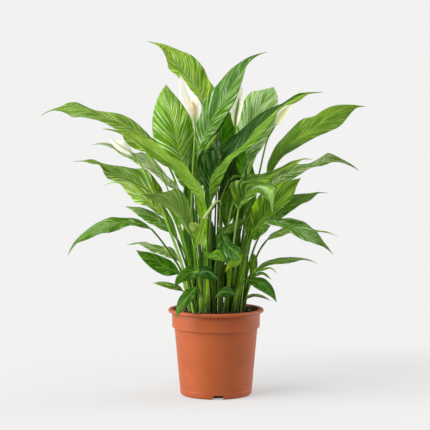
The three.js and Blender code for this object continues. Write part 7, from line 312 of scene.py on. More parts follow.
     [316,240,1109,325,243,1212,333,246,1315,342,250,1418,351,253,1522,361,257,1625,370,260,1728],
     [370,260,1700,368,260,1701,372,260,1700,382,264,1763,357,258,1768,406,258,1759,393,268,1827,356,259,1833,430,259,1820,404,273,1890,359,261,1898,449,261,1881,416,277,1953,368,265,1962,463,265,1944,428,281,2016,381,269,2025,474,269,2007,440,285,2079,400,274,2087,481,274,2070,454,289,2141,418,280,2149,489,280,2134,467,292,2204,443,286,2209,491,286,2199,480,296,2267,468,293,2269,492,293,2264,493,300,2330,493,300,2330,493,300,2330]),
    ('young_back_dark_third', 1, 1.3, 1.0, 0.1, (0.14, 0.22, 0.1, 0.14, 0.22, 0.1, 1, 1, 1, 0.05, 0.5, 0.0),
     [14,240,1109,18,243,1217,22,246,1325,26,249,1432,31,252,1540,36,256,1648,41,260,1755],
     [41,260,1755,38,259,1755,44,259,1755,43,262,1810,5,253,1811,80,253,1809,44,265,1865,-12,250,1867,101,250,1863,46,267,1920,-22,250,1922,114,250,1918,47,269,1975,-25,251,1977,120,251,1973,49,271,2030,-22,253,2031,119,253,2028,50,273,2084,-12,257,2086,112,257,2083,51,275,2139,-3,261,2141,105,261,2138,52,276,2194,16,267,2195,89,267,2193,54,278,2249,35,274,2249,72,274,2249,55,280,2304,55,280,2304,55,280,2304]),
    ('young_upper_dark', 1, 1.2, 1.0, 0.1, (0.18, 0.34, 0.1, 0.18, 0.34, 0.1, 1, 1, 1, 0.1, 0.5, 0.0),
     [83,300,1101,83,306,1424,84,312,1747,83,320,2071,79,332,2394,74,346,2717,69,360,3040],
     [69,360,3067,64,359,3067,72,359,3067,72,374,3155,12,359,3157,112,364,3154,74,388,3243,-16,365,3246,135,373,3241,78,401,3331,-31,374,3338,151,383,3326,86,415,3419,-30,386,3431,163,396,3410,97,429,3506,-15,401,3523,172,411,3495,112,443,3593,14,419,3610,178,427,3581,128,458,3679,43,436,3696,185,443,3669,145,472,3766,88,457,3777,183,462,3758,162,486,3852,133,478,3858,182,481,3848,179,500,3939,179,500,3939,179,500,3939]),
    ('young_scape_back', 1, 1.2, 1.0, 0.1, (0.35, 0.5, 0.2, 0.35, 0.5, 0.2, 1, 1, 1, 0.1, 0.5, 0.0),
     [-110,280,1104,-133,279,1372,-155,279,1640,-178,279,1909,-199,282,2177,-216,290,2446,-233,300,2714],
     [-233,300,2742,-236,299,2742,-230,299,2742,-230,304,2813,-267,294,2814,-192,294,2811,-227,307,2884,-283,293,2886,-171,293,2882,-224,311,2955,-292,294,2958,-156,294,2952,-221,315,3026,-294,297,3029,-149,297,3023,-219,320,3097,-289,302,3100,-148,302,3094,-216,327,3168,-278,311,3170,-154,311,3165,-213,335,3239,-267,321,3241,-159,321,3237,-211,343,3309,-247,334,3311,-174,334,3308,-208,352,3380,-227,347,3381,-189,347,3379,-205,360,3451,-205,360,3451,-205,360,3451]),
    ('young_right_back_dark', 1, 1.2, 1.0, 0.1, (0.25, 0.36, 0.15, 0.25, 0.36, 0.15, 1, 1, 1, 0.05, 0.5, 0.0),
     [275,280,1104,275,286,1347,276,291,1590,275,297,1833,273,304,2076,267,312,2319,260,320,2562],
     [260,320,2562,258,319,2562,263,319,2562,263,322,2634,233,315,2635,293,315,2633,265,324,2707,220,313,2709,311,313,2705,268,326,2780,214,313,2782,323,313,2777,271,329,2852,213,314,2855,329,314,2849,275,331,2925,219,316,2928,332,316,2921,280,333,2997,230,320,3001,330,320,2994,285,334,3070,242,324,3073,328,324,3067,290,336,3142,261,329,3145,319,329,3140,296,338,3215,281,334,3216,311,334,3214,301,340,3287,301,340,3287,301,340,3287]),
    ('young_bright_sheath', 1, 2.3, 1.2, 0.1, (0.9, 1.0, 0.6, 0.9, 1.0, 0.6, 1, 1, 1, 0.1, 2.0, 0.0),
     [-101,-220,1143,-105,-221,1258,-109,-221,1373,-113,-221,1488,-119,-217,1603,-127,-209,1718,-135,-200,1833],
     [-135,-200,1833,-136,-200,1832,-133,-200,1833,-137,-194,1867,-155,-199,1866,-120,-199,1869,-139,-189,1902,-166,-196,1901,-113,-196,1904,-141,-183,1937,-173,-191,1935,-110,-191,1939,-144,-178,1972,-178,-186,1969,-110,-186,1975,-147,-172,2007,-180,-180,2003,-114,-180,2010,-151,-166,2042,-180,-173,2037,-122,-173,2046,-157,-160,2076,-182,-166,2072,-132,-166,2080,-163,-153,2110,-180,-157,2107,-146,-157,2113,-169,-147,2144,-178,-149,2143,-161,-149,2146,-175,-140,2179,-175,-140,2179,-175,-140,2179]),
    ('young_left_lower_dark', 1, 1.2, 1.0, 0.1, (0.5, 0.65, 0.3, 0.5, 0.65, 0.3, 1, 1, 1, 0.1, 0.7, 0.0),
     [-274,200,1114,-291,205,1329,-308,210,1544,-326,215,1759,-344,221,1974,-363,229,2189,-383,240,2403],
     [-383,240,2403,-386,239,2403,-379,239,2403,-382,244,2457,-422,234,2457,-337,233,2456,-382,247,2510,-442,232,2511,-314,230,2510,-382,251,2563,-454,233,2563,-300,230,2563,-382,255,2617,-459,236,2616,-294,234,2618,-383,261,2670,-458,242,2668,-298,240,2672,-385,268,2723,-451,251,2720,-310,249,2726,-387,275,2775,-445,261,2772,-323,259,2779,-390,284,2828,-429,274,2826,-347,273,2831,-394,292,2881,-414,287,2880,-371,286,2882,-396,300,2934,-396,300,2934,-396,300,2934]),
    ('young_mid_left', 1, 1.1, 0.9, 0.1, (0.5, 0.65, 0.3, 0.5, 0.65, 0.3, 1, 1, 1, 0.1, 0.7, 0.0),
     [-137,140,1122,-137,145,1337,-137,150,1551,-136,155,1766,-136,161,1980,-136,169,2194,-136,180,2409],
     [-136,180,2409,-138,180,2409,-135,180,2409,-135,180,2456,-151,176,2457,-117,175,2456,-133,179,2504,-157,173,2505,-106,172,2503,-131,179,2552,-160,171,2553,-98,170,2551,-130,179,2600,-161,171,2600,-95,170,2599,-129,180,2647,-160,173,2647,-95,172,2647,-130,183,2695,-157,176,2695,-100,176,2696,-131,187,2743,-154,181,2742,-105,181,2744,-133,191,2790,-149,187,2790,-115,187,2791,-135,196,2838,-143,194,2838,-126,194,2838,-136,200,2885,-136,200,2885,-136,200,2885]),
    ('young_left_mass', 1, 1.4, 1.1, 0.1, (0.7, 0.8, 0.45, 0.7, 0.8, 0.45, 1, 1, 1, 0.1, 1.6, 0.0),
     [-218,60,1119,-242,60,1228,-267,59,1338,-290,60,1447,-313,61,1556,-333,66,1666,-354,70,1776],
     [-354,70,1776,-356,69,1776,-352,70,1776,-362,72,1836,-390,65,1832,-338,66,1839,-371,74,1896,-412,64,1890,-334,65,1901,-380,76,1956,-429,64,1949,-335,65,1962,-388,78,2015,-441,65,2008,-340,66,2022,-396,80,2075,-448,67,2068,-349,69,2082,-404,82,2135,-449,71,2129,-363,72,2141,-412,84,2195,-451,74,2190,-376,75,2200,-420,86,2255,-446,80,2252,-395,80,2258,-427,88,2315,-441,85,2314,-415,85,2317,-435,90,2375,-435,90,2375,-435,90,2375]),
    ('young_right_high', 1, 1.2, 1.0, 0.1, (0.85, 1.0, 0.5, 0.85, 1.0, 0.5, 1, 1, 1, 0.1, 0.7, 0.0),
     [384,240,1109,401,246,1363,417,252,1617,434,258,1871,449,265,2125,464,272,2379,479,280,2633],
     [479,280,2661,476,279,2661,481,279,2661,480,280,2706,450,272,2707,510,272,2705,481,279,2751,436,268,2752,526,268,2750,482,279,2796,428,265,2798,537,265,2795,484,279,2842,426,264,2844,542,264,2840,486,280,2887,429,266,2889,542,266,2884,488,283,2932,438,271,2935,538,271,2929,490,287,2977,447,276,2979,534,276,2974,493,291,3022,464,284,3024,522,284,3020,496,296,3067,481,292,3068,511,292,3066,499,300,3112,499,300,3112,499,300,3112]),
]


# ------------------------------------------------------------------ helpers


def unit(v):
    v = np.asarray(v, float)
    return v / np.maximum(np.linalg.norm(v, axis=-1, keepdims=True), 1e-12)


def ss(x, a=0.0, b=1.0):
    t = np.clip((np.asarray(x, float) - a) / (b - a), 0, 1)
    return t * t * (3 - 2 * t)


def spline(A, t):
    """Points on a smooth curve through the rows of A, at t from 0 to 1."""
    A = np.asarray(A, float)
    n = len(A)
    x = np.clip(np.asarray(t, float), 0, 1) * (n - 1)
    i = np.clip(x.astype(int), 0, n - 2)
    f = (x - i)[..., None]
    Q = np.vstack([2 * A[0] - A[1], A, 2 * A[-1] - A[-2]])
    a, b, c, d = Q[i], Q[i + 1], Q[i + 2], Q[i + 3]
    return 0.5 * (2 * b + (c - a) * f + (2 * a - 5 * b + 4 * c - d) * f ** 2 + (3 * b - a - 3 * c + d) * f ** 3)


def waves(x, seed, n=5, low=1.0, high=6.0):
    """A smooth, seeded one-dimensional noise in about -1 to 1."""
    r = np.random.default_rng(seed)
    f = np.geomspace(low, high, n)
    a = 1 / (1 + np.arange(n)) ** 0.7
    p = r.uniform(0, 2 * math.pi, n)
    x = np.asarray(x, float)[..., None]
    return (np.sin(2 * math.pi * f * x + p) * a).sum(-1) / a.sum() * 1.3


def clamp(co):
    """Keeps points, in metres, inside the part's own box."""
    return np.clip(co, CAD_LO + 1e-5, CAD_HI - 1e-5)


def make_mesh(name, co, quads, tris=(), smooth=True):
    """A mesh object from vertices in millimetres."""
    co = clamp(np.asarray(co, float) * MM)
    quads = np.asarray(quads, np.int32).reshape(-1, 4)
    tris = np.asarray(tris, np.int32).reshape(-1, 3)
    me = bpy.data.meshes.new(name)
    me.vertices.add(len(co))
    me.vertices.foreach_set("co", co.astype(np.float32).ravel())
    loops = np.concatenate([quads.ravel(), tris.ravel()]).astype(np.int32)
    me.loops.add(len(loops))
    me.loops.foreach_set("vertex_index", loops)
    nq, nt = len(quads), len(tris)
    me.polygons.add(nq + nt)
    start = np.concatenate([np.arange(nq) * 4, nq * 4 + np.arange(nt) * 3]).astype(np.int32)
    me.polygons.foreach_set("loop_start", start)
    me.update(calc_edges=True)
    me.polygons.foreach_set("use_smooth", np.full(nq + nt, smooth))
    me.update()
    ob = bpy.data.objects.new(name, me)
    bpy.context.scene.collection.objects.link(ob)
    return ob


def turn_out(co, quads, tris):
    """Flips all the faces if the closed mesh is inside out."""
    co = np.asarray(co, float)
    quads = np.asarray(quads, int).reshape(-1, 4)
    tris = np.asarray(tris, int).reshape(-1, 3)
    t = np.concatenate([quads[:, [0, 1, 2]], quads[:, [0, 2, 3]], tris])
    v = (co[t[:, 0]] * np.cross(co[t[:, 1]], co[t[:, 2]])).sum()
    return (quads, tris) if v > 0 else (quads[:, ::-1], tris[:, ::-1])


def put_attr(ob, name, data):
    """A colour per vertex."""
    data = np.asarray(data, np.float32)
    if data.shape[1] == 3:
        data = np.concatenate([data, np.ones((len(data), 1), np.float32)], 1)
    a = ob.data.attributes.new(name, "FLOAT_COLOR", "POINT")
    a.data.foreach_set("color", data.ravel())


def put_uv(ob, name, uv):
    """A UV map from one value per vertex."""
    me = ob.data
    idx = np.zeros(len(me.loops), np.int32)
    me.loops.foreach_get("vertex_index", idx)
    layer = me.uv_layers.new(name=name)
    layer.uv.foreach_set("vector", np.asarray(uv, np.float32)[idx].ravel())


def finish_piece(ob, slot, *nodes):
    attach(ob, "root")
    if nodes:
        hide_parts(*nodes)
    return ob


# ------------------------------------------------------------------ node helpers


class Nodes:
    """A small builder for shader node trees."""

    def __init__(self, mat):
        mat.use_nodes = True
        self.t = mat.node_tree
        self.t.nodes.clear()
        self.out = self.t.nodes.new("ShaderNodeOutputMaterial")

    def link(self, a, b):
        self.t.links.new(a, b)

    def new(self, kind, **props):
        n = self.t.nodes.new(kind)
        for k, v in props.items():
            setattr(n, k, v)
        return n

    def set(self, socket, v):
        if isinstance(v, bpy.types.NodeSocket):
            self.link(v, socket)
        elif isinstance(v, (tuple, list)) and len(v) == 3 and len(socket.default_value) == 4:
            socket.default_value = (*v, 1)
        else:
            socket.default_value = v

    def math(self, op, a, b=0.0, c=None, clamp=False):
        n = self.new("ShaderNodeMath", operation=op, use_clamp=clamp)
        self.set(n.inputs[0], a)
        self.set(n.inputs[1], b)
        if c is not None:
            self.set(n.inputs[2], c)
        return n.outputs[0]

    def mix(self, f, a, b, blend="MIX", clamp_f=True):
        n = self.new("ShaderNodeMix", data_type="RGBA", blend_type=blend, clamp_factor=clamp_f)
        self.set(n.inputs[0], f)
        self.set(n.inputs[6], a)
        self.set(n.inputs[7], b)
        return n.outputs[2]

    def lerp(self, f, a, b):
        n = self.new("ShaderNodeMix", data_type="FLOAT")
        self.set(n.inputs[0], f)
        self.set(n.inputs[2], a)
        self.set(n.inputs[3], b)
        return n.outputs[0]

    def ramp(self, f, lo, hi, a=0.0, b=1.0):
        n = self.new("ShaderNodeMapRange", interpolation_type="SMOOTHSTEP")
        self.set(n.inputs[0], f)
        for i, v in ((1, lo), (2, hi), (3, a), (4, b)):
            n.inputs[i].default_value = v
        return n.outputs[0]

    def noise(self, vec, scale, detail=3.0, rough=0.55, dist=0.0):
        n = self.new("ShaderNodeTexNoise")
        self.link(vec, n.inputs["Vector"])
        n.inputs["Scale"].default_value = scale
        n.inputs["Detail"].default_value = detail
        n.inputs["Roughness"].default_value = rough
        n.inputs["Distortion"].default_value = dist
        return n.outputs["Fac"]

    def obj(self):
        return self.new("ShaderNodeTexCoord").outputs["Object"]

    def attr(self, name):
        n = self.new("ShaderNodeAttribute", attribute_type="GEOMETRY", attribute_name=name)
        s = self.new("ShaderNodeSeparateColor")
        self.link(n.outputs["Color"], s.inputs[0])
        self.alpha = n.outputs["Alpha"]
        return n.outputs["Color"], s.outputs[0], s.outputs[1], s.outputs[2]

    def uv(self, name):
        n = self.new("ShaderNodeUVMap", uv_map=name)
        s = self.new("ShaderNodeSeparateXYZ")
        self.link(n.outputs[0], s.inputs[0])
        return n.outputs[0], s.outputs[0], s.outputs[1]

    def bump(self, height, strength, distance, normal=None):
        n = self.new("ShaderNodeBump")
        n.inputs["Strength"].default_value = strength
        n.inputs["Distance"].default_value = distance
        self.link(height, n.inputs["Height"])
        if normal is not None:
            self.link(normal, n.inputs["Normal"])
        return n.outputs[0]


# ------------------------------------------------------------------ materials


def leaf_material():
    """Waxy leaf. mask: R stalk, G upper side, B midrib. tint: the leaf's own colour, darkened or lightened with painted
    shade and painted light, with the strength of its painted sheen streaks as alpha. place: R height, G pale edge, its
    own paler margin and partly painted highlight, B way along.
    veins: U counts the side veins, V runs from edge to edge."""
    m = bpy.data.materials.new("leaf")
    N = Nodes(m)
    _, stalk, upper, rib = N.attr("mask")
    tint, _, _, _ = N.attr("tint")
    sheen_amount = N.alpha
    _, height, warm, _ = N.attr("place")
    _, u, v = N.uv("veins")
    obj = N.obj()
    # side veins: 1 on a vein, 0 half way between two
    tri = N.math("ABSOLUTE", N.math("SUBTRACT", N.math("MULTIPLY", N.math("FRACT", u), 2.0), 1.0))
    vein = N.math("POWER", tri, 7.0)
    broad = N.ramp(tri, 0.36, 0.96)
    fine = N.math("POWER", N.math("ABSOLUTE", N.math("SUBTRACT", N.math("MULTIPLY", N.math("FRACT", N.math("MULTIPLY", u, 5.0)), 2.0), 1.0)), 2.0)
    blot = N.noise(obj, 38.0, 3.0, 0.6)
    small = N.noise(obj, 420.0, 2.0, 0.5)

    def along(ku, kv, scale, detail, rough):
        """Noise drawn out along the side veins."""
        comb = N.new("ShaderNodeCombineXYZ")
        N.link(N.math("MULTIPLY", u, ku), comb.inputs[0])
        N.link(N.math("MULTIPLY", v, kv), comb.inputs[1])
        N.link(N.math("MULTIPLY", height, 1.0), comb.inputs[2])
        return N.noise(comb.outputs[0], scale, detail, rough)

    streak = along(1.7, 2.2, 1.0, 2.0, 0.5)
    thin = along(3.4, 3.0, 1.0, 3.0, 0.6)
    sheen_noise = along(1.0, 5.0, 1.0, 2.0, 0.5)
    # upper side: deep green; the lighter streaks between and along the veins are painted highlight and the darkest
    # grooves painted shade of the pillowed relief
    up_a = N.mix(N.ramp(blot, 0.36, 0.64), (0.092, 0.245, 0.001), (0.218, 0.425, 0.007))
    up_b = N.mix(N.math("MULTIPLY", N.ramp(streak, 0.42, 0.62), 0.85), up_a, (0.270, 0.490, 0.022))
    up_c = N.mix(N.math("MULTIPLY", N.ramp(thin, 0.54, 0.38), 0.84), up_b, (0.032, 0.130, 0.001))
    up_d = N.mix(N.math("MULTIPLY", broad, 0.90), up_c, (0.022, 0.100, 0.001))
    up_e = N.mix(N.math("MULTIPLY", N.math("MULTIPLY", vein, N.ramp(sheen_noise, 0.45, 0.65)), 0.35), up_d, (0.230, 0.420, 0.040))
    up_f = N.mix(N.math("MULTIPLY", fine, 0.10), up_e, (0.200, 0.420, 0.020))
    # under side, with painted shade in the grooves along the veins
    un_a = N.mix(N.ramp(blot, 0.34, 0.66), (0.185, 0.350, 0.009), (0.300, 0.475, 0.027))
    un_b = N.mix(N.math("MULTIPLY", broad, 0.72), un_a, (0.080, 0.215, 0.004))
    un_c = N.mix(N.math("MULTIPLY", N.ramp(thin, 0.56, 0.38), 0.60), un_b, (0.080, 0.210, 0.006))
    blade = N.mix(upper, un_c, up_f)
    blade = N.mix(1.0, blade, tint, "MULTIPLY")
    # painted sheen: pale streaks on the crowns between the veins stand for the glossy highlights
    pale = N.math("MULTIPLY", N.math("MULTIPLY", N.ramp(thin, 0.44, 0.60), N.ramp(sheen_noise, 0.34, 0.56)), N.math("SUBTRACT", 1.0, N.math("MULTIPLY", broad, 0.96)))
    pale = N.math("POWER", pale, N.math("DIVIDE", 1.0, N.math("MAXIMUM", sheen_amount, 1.0)))
    pale = N.math("MULTIPLY", pale, N.math("MINIMUM", sheen_amount, 1.0), clamp=True)
    blade = N.mix(pale, blade, (0.560, 0.690, 0.430))
    ribcol = N.mix(upper, (0.190, 0.350, 0.040), (0.380, 0.560, 0.120))
    ribcol = N.mix(0.7, ribcol, N.mix(1.0, ribcol, tint, "MULTIPLY"))
    blade = N.mix(N.math("MULTIPLY", rib, 0.88), blade, ribcol)
    # stalk: paler and yellowish at the foot, greener above, dark lines along it
    st_low = N.mix(N.ramp(blot, 0.3, 0.7), (0.085, 0.190, 0.003), (0.165, 0.310, 0.010))
    st_high = N.mix(N.ramp(blot, 0.3, 0.7), (0.060, 0.165, 0.002), (0.115, 0.260, 0.005))
    lines = along(0.5, 9.0, 1.0, 2.0, 0.5)
    st = N.mix(N.ramp(height, 0.0, 0.55), st_low, st_high)
    st = N.mix(N.math("MULTIPLY", N.ramp(lines, 0.46, 0.66), 0.65), st, (0.020, 0.080, 0.001))
    # painted shade: the stalk darkens just above the soil, where the stalks crowd and shade each other
    st = N.mix(N.math("MULTIPLY", N.ramp(height, 0.20, 0.03), 0.78), st, (0.018, 0.060, 0.001))
    st = N.mix(1.0, st, tint, "MULTIPLY")
    # lighter sheath edges and pale stalks: their own paler margins, and partly painted highlight
    st = N.mix(N.math("MULTIPLY", warm, 1.0), st, (0.460, 0.560, 0.200))
    col = N.mix(stalk, blade, st)
    bsdf = N.new("ShaderNodeBsdfPrincipled")
    N.link(col, bsdf.inputs["Base Color"])
    r_up = N.lerp(N.ramp(thin, 0.35, 0.65), 0.30, 0.15)
    r = N.lerp(upper, 0.52, r_up)
    r = N.lerp(stalk, r, 0.36)
    N.link(r, bsdf.inputs["Roughness"])
    bsdf.inputs["Specular IOR Level"].default_value = 0.15
    bsdf.inputs["IOR"].default_value = 1.45
    h = N.math("ADD", N.math("MULTIPLY", fine, 0.45), N.math("MULTIPLY", small, 0.55))
    h = N.math("SUBTRACT", h, N.math("MULTIPLY", vein, 1.0))
    h = N.math("ADD", h, N.math("MULTIPLY", thin, 2.2))
    b = N.bump(h, 0.75, 0.00028)
    N.link(b, bsdf.inputs["Normal"])
    tr = N.new("ShaderNodeBsdfTranslucent")
    tcol = N.mix(0.5, col, (0.34, 0.66, 0.01))
    tcol = N.mix(0.8, tcol, N.mix(1.0, tcol, tint, "MULTIPLY"))
    N.link(N.mix(1.0, tcol, (1.5, 1.5, 1.2), "MULTIPLY"), tr.inputs[0])
    N.link(b, tr.inputs["Normal"])
    mixs = N.new("ShaderNodeMixShader")
    N.link(N.lerp(stalk, 0.22, 0.08), mixs.inputs[0])
    N.link(bsdf.outputs[0], mixs.inputs[1])
    N.link(tr.outputs[0], mixs.inputs[2])
    N.link(mixs.outputs[0], N.out.inputs[0])
    return m


def spathe_material(name, cream, thin, painted_glow, painted_glow_col=(1.0, 1.0, 0.84)):
    """Thin petal-like hood: creamy white, greenish along the middle and at the foot."""
    m = bpy.data.materials.new(name)
    N = Nodes(m)
    _, foot, upper, rib = N.attr("mask")
    _, u, v = N.uv("veins")
    obj = N.obj()
    blot = N.noise(obj, 60.0, 3.0, 0.6)
    line = N.math("ABSOLUTE", N.math("SUBTRACT", N.math("MULTIPLY", N.math("FRACT", N.math("MULTIPLY", v, 16.0)), 2.0), 1.0))
    line = N.math("POWER", line, 4.0)
    base = N.mix(N.ramp(blot, 0.3, 0.7), cream[0], cream[1])
    base = N.mix(N.math("MULTIPLY", line, 0.18), base, cream[2])
    base = N.mix(N.math("MULTIPLY", foot, 0.85), base, (0.46, 0.55, 0.16))
    base = N.mix(N.math("MULTIPLY", rib, 1.0, clamp=True), base, (0.15, 0.24, 0.01))
    bsdf = N.new("ShaderNodeBsdfPrincipled")
    N.link(base, bsdf.inputs["Base Color"])
    N.link(N.lerp(blot, 0.42, 0.6), bsdf.inputs["Roughness"])
    bsdf.inputs["Specular IOR Level"].default_value = 0.4
    # painted light: the hood glows a little, so it stays bright where the leaves shade it
    N.link(N.mix(1.0, base, painted_glow_col, "MULTIPLY"), bsdf.inputs["Emission Color"])
    bsdf.inputs["Emission Strength"].default_value = painted_glow
    small = N.noise(obj, 900.0, 2.0, 0.5)
    b = N.bump(N.math("ADD", N.math("MULTIPLY", line, -0.7), N.math("MULTIPLY", small, 0.4)), 0.5, 0.00015)
    N.link(b, bsdf.inputs["Normal"])
    tr = N.new("ShaderNodeBsdfTranslucent")
    N.link(N.mix(0.5, base, (0.95, 0.93, 0.80)), tr.inputs[0])
    mixs = N.new("ShaderNodeMixShader")
    mixs.inputs[0].default_value = thin
    N.link(bsdf.outputs[0], mixs.inputs[1])
    N.link(tr.outputs[0], mixs.inputs[2])
    N.link(mixs.outputs[0], N.out.inputs[0])
    return m


def spadix_material():
    m = bpy.data.materials.new("spadix")
    N = Nodes(m)
    _, top, _, _ = N.attr("mask")
    obj = N.obj()
    blot = N.noise(obj, 260.0, 3.0, 0.6)
    c = N.mix(N.ramp(blot, 0.35, 0.65), (0.43, 0.295, 0.095), (0.62, 0.495, 0.210))
    c = N.mix(N.math("MULTIPLY", top, 0.75), c, (0.78, 0.71, 0.40))
    bsdf = N.new("ShaderNodeBsdfPrincipled")
    N.link(c, bsdf.inputs["Base Color"])
    N.link(N.lerp(blot, 0.6, 0.8), bsdf.inputs["Roughness"])
    N.link(N.bump(N.noise(obj, 2400.0, 2.0), 0.5, 0.0001), bsdf.inputs["Normal"])
    N.link(bsdf.outputs[0], N.out.inputs[0])
    return m


def scape_material():
    m = bpy.data.materials.new("flower_stalk")
    N = Nodes(m)
    _, height, _, _ = N.attr("mask")
    _, u, v = N.uv("veins")
    obj = N.obj()
    blot = N.noise(obj, 50.0, 3.0, 0.6)
    comb = N.new("ShaderNodeCombineXYZ")
    N.link(N.math("MULTIPLY", u, 0.35), comb.inputs[0])
    N.link(N.math("MULTIPLY", v, 14.0), comb.inputs[1])
    lines = N.noise(comb.outputs[0], 1.0, 2.0)
    low = N.mix(N.ramp(blot, 0.3, 0.7), (0.180, 0.400, 0.028), (0.285, 0.530, 0.052))
    high = N.mix(N.ramp(blot, 0.3, 0.7), (0.170, 0.340, 0.020), (0.255, 0.445, 0.032))
    c = N.mix(height, low, high)
    c = N.mix(N.math("MULTIPLY", N.ramp(lines, 0.5, 0.7), 0.4), c, (0.130, 0.190, 0.020))
    bsdf = N.new("ShaderNodeBsdfPrincipled")
    N.link(c, bsdf.inputs["Base Color"])
    N.link(N.lerp(blot, 0.36, 0.5), bsdf.inputs["Roughness"])
    N.link(N.bump(lines, 0.4, 0.00015), bsdf.inputs["Normal"])
    N.link(bsdf.outputs[0], N.out.inputs[0])
    return m


def pot_material():
    """Moulded plastic: fine grain, faint turning marks, slight scuffs and dust, a painted highlight along the lip top
    and the collar edge, and painted shade on the inside wall.
    """
    m = bpy.data.materials.new("pot_plastic")
    N = Nodes(m)
    _, inside, edge, _ = N.attr("mask")
    obj = N.obj()
    sep = N.new("ShaderNodeSeparateXYZ")
    N.link(obj, sep.inputs[0])
    mp = N.new("ShaderNodeMapping")
    N.link(obj, mp.inputs[0])
    mp.inputs["Scale"].default_value = (1.0, 1.0, 14.0)
    rings = N.noise(mp.outputs[0], 22.0, 3.0, 0.6)
    cloud = N.noise(obj, 26.0, 4.0, 0.6)
    grain = N.noise(obj, 1500.0, 2.0, 0.5)
    speck = N.noise(obj, 700.0, 1.0, 0.5)
    c = N.mix(N.ramp(cloud, 0.3, 0.7), (0.345, 0.071, 0.014), (0.388, 0.085, 0.018))
    c = N.mix(N.math("MULTIPLY", N.ramp(rings, 0.45, 0.7), 0.22), c, (0.305, 0.056, 0.012))
    c = N.mix(N.math("MULTIPLY", N.ramp(speck, 0.68, 0.8), 0.35), c, (0.46, 0.18, 0.09))
    # painted highlight along the lip top and the collar's lower edge
    c = N.mix(N.math("MULTIPLY", edge, 0.30), c, (0.50, 0.15, 0.06))
    # painted shade on the inside wall and floor of the pot
    c = N.mix(N.math("MULTIPLY", inside, 0.80), c, (0.085, 0.024, 0.010))
    bsdf = N.new("ShaderNodeBsdfPrincipled")
    N.link(c, bsdf.inputs["Base Color"])
    N.link(N.lerp(N.ramp(cloud, 0.2, 0.8), 0.40, 0.52), bsdf.inputs["Roughness"])
    bsdf.inputs["Specular IOR Level"].default_value = 0.30
    h = N.math("ADD", N.math("MULTIPLY", grain, 0.5), N.math("MULTIPLY", rings, 0.9))
    N.link(N.bump(h, 0.35, 0.00015), bsdf.inputs["Normal"])
    N.link(bsdf.outputs[0], N.out.inputs[0])
    return m


def soil_material(name, chips=False):
    m = bpy.data.materials.new(name)
    N = Nodes(m)
    obj = N.obj()
    clod = N.noise(obj, 180.0, 5.0, 0.7)
    fleck = N.noise(obj, 900.0, 2.0, 0.6)
    c = N.mix(N.ramp(clod, 0.35, 0.7), (0.006, 0.0035, 0.002), (0.026, 0.015, 0.009))
    c = N.mix(N.math("MULTIPLY", N.ramp(fleck, 0.62, 0.74), 0.7), c, (0.105, 0.060, 0.031))
    if chips:
        col, _, _, _ = N.attr("tint")
        c = N.mix(0.75, c, N.mix(N.math("MULTIPLY", fleck, 0.6), col, (0.03, 0.018, 0.01)))
    bsdf = N.new("ShaderNodeBsdfPrincipled")
    N.link(c, bsdf.inputs["Base Color"])
    N.link(N.lerp(clod, 0.75, 0.98), bsdf.inputs["Roughness"])
    bsdf.inputs["Specular IOR Level"].default_value = 0.12
    N.link(N.bump(N.math("ADD", clod, N.math("MULTIPLY", fleck, 0.6)), 0.9, 0.0012), bsdf.inputs["Normal"])
    N.link(bsdf.outputs[0], N.out.inputs[0])
    return m


MAT = {
    "leaf": leaf_material(),
    # the last number of each hood and of the bud is the strength of its painted glow
    "spathe": spathe_material("spathe", ((0.93, 0.92, 0.86), (0.96, 0.955, 0.92), (0.88, 0.88, 0.76)), 0.45, 0.13),
    "spathe_back": spathe_material("spathe_back", ((0.96, 0.95, 0.86), (0.98, 0.97, 0.91), (0.92, 0.92, 0.78)), 0.08, 0.33),
    "bud": spathe_material("spathe_bud", ((0.94, 0.92, 0.55), (0.98, 0.96, 0.70), (0.90, 0.90, 0.47)), 0.03, 0.27, (1.0, 0.99, 0.80)),
    "spadix": spadix_material(),
    "scape": scape_material(),
    "pot": pot_material(),
    "soil": soil_material("potting_soil"),
    "chips": soil_material("potting_soil_chips", True),
}

# ------------------------------------------------------------------ leaves

COLS = np.array([-1, -0.93, -0.8, -0.62, -0.42, -0.22, -0.08, 0, 0.08, 0.22, 0.42, 0.62, 0.8, 0.93, 1.0])
NC = len(COLS)
RIB = 1.25          # mm from the middle to the columns beside the midrib


def blade_grid(M, L, R, c, kappa, arch, face, wave, seed, ripple):
    """Surface points of a blade on a grid of veins by columns."""
    M, L, R = (np.asarray(a, float) for a in (M, L, R))
    v = COLS[None, :]
    av = np.abs(v)
    cc = c[:, None]
    s = 1 - (1 - cc) ** (1 + kappa * av ** 1.15)
    m, l, r = spline(M, s), spline(L, s), spline(R, s)
    # arclength, facing and widths along the blade
    t = np.linspace(0, 1, 121)
    mm, ll, rr = spline(M, t), spline(L, t), spline(R, t)
    T = unit(np.gradient(mm, axis=0))
    S = rr - ll
    wide = np.linalg.norm(S, axis=1)
    ok = wide > 0.25 * wide.max()
    for k in range(3):
        S[:, k] = np.interp(t, t[ok], (S / np.maximum(wide, 1e-9)[:, None])[ok, k])
    nn = unit(np.cross(S, T)) * face
    for _ in range(6):
        nn[1:-1] = unit(nn[:-2] + 2 * nn[1:-1] + nn[2:])
    Nr = np.stack([np.interp(s, t, nn[:, k]) for k in range(3)], -1)
    wl, wr = np.linalg.norm(l - m, axis=-1), np.linalg.norm(r - m, axis=-1)
    neg = (v < 0)
    w = np.where(neg, wl, wr)
    half = np.where(neg[..., None], l, r)
    # columns beside the midrib keep to a steady distance
    a = np.broadcast_to(av, s.shape).copy()
    near = np.abs(av - 0.08) < 1e-6
    a = np.where(near, np.clip(RIB / np.maximum(w, 0.6), 0.02, 0.17), a)
    P = m + a[..., None] * (half - m)
    bow = arch * w * 4 * a * (1 - a)
    if wave:
        sl = waves(s * 1.0, seed + 1, 4, 1.2, 4.5)
        sr = waves(s * 1.0, seed + 2, 4, 1.2, 4.5)
        env = ss(s / 0.12) * ss((1 - s) / 0.2)
        bow = bow + np.where(neg, sl, sr) * wave * a ** 2.2 * env * np.minimum(w / 12.0, 1.0)
    P = P + Nr * bow[..., None]
    return P, s, a, w, Nr, half - m


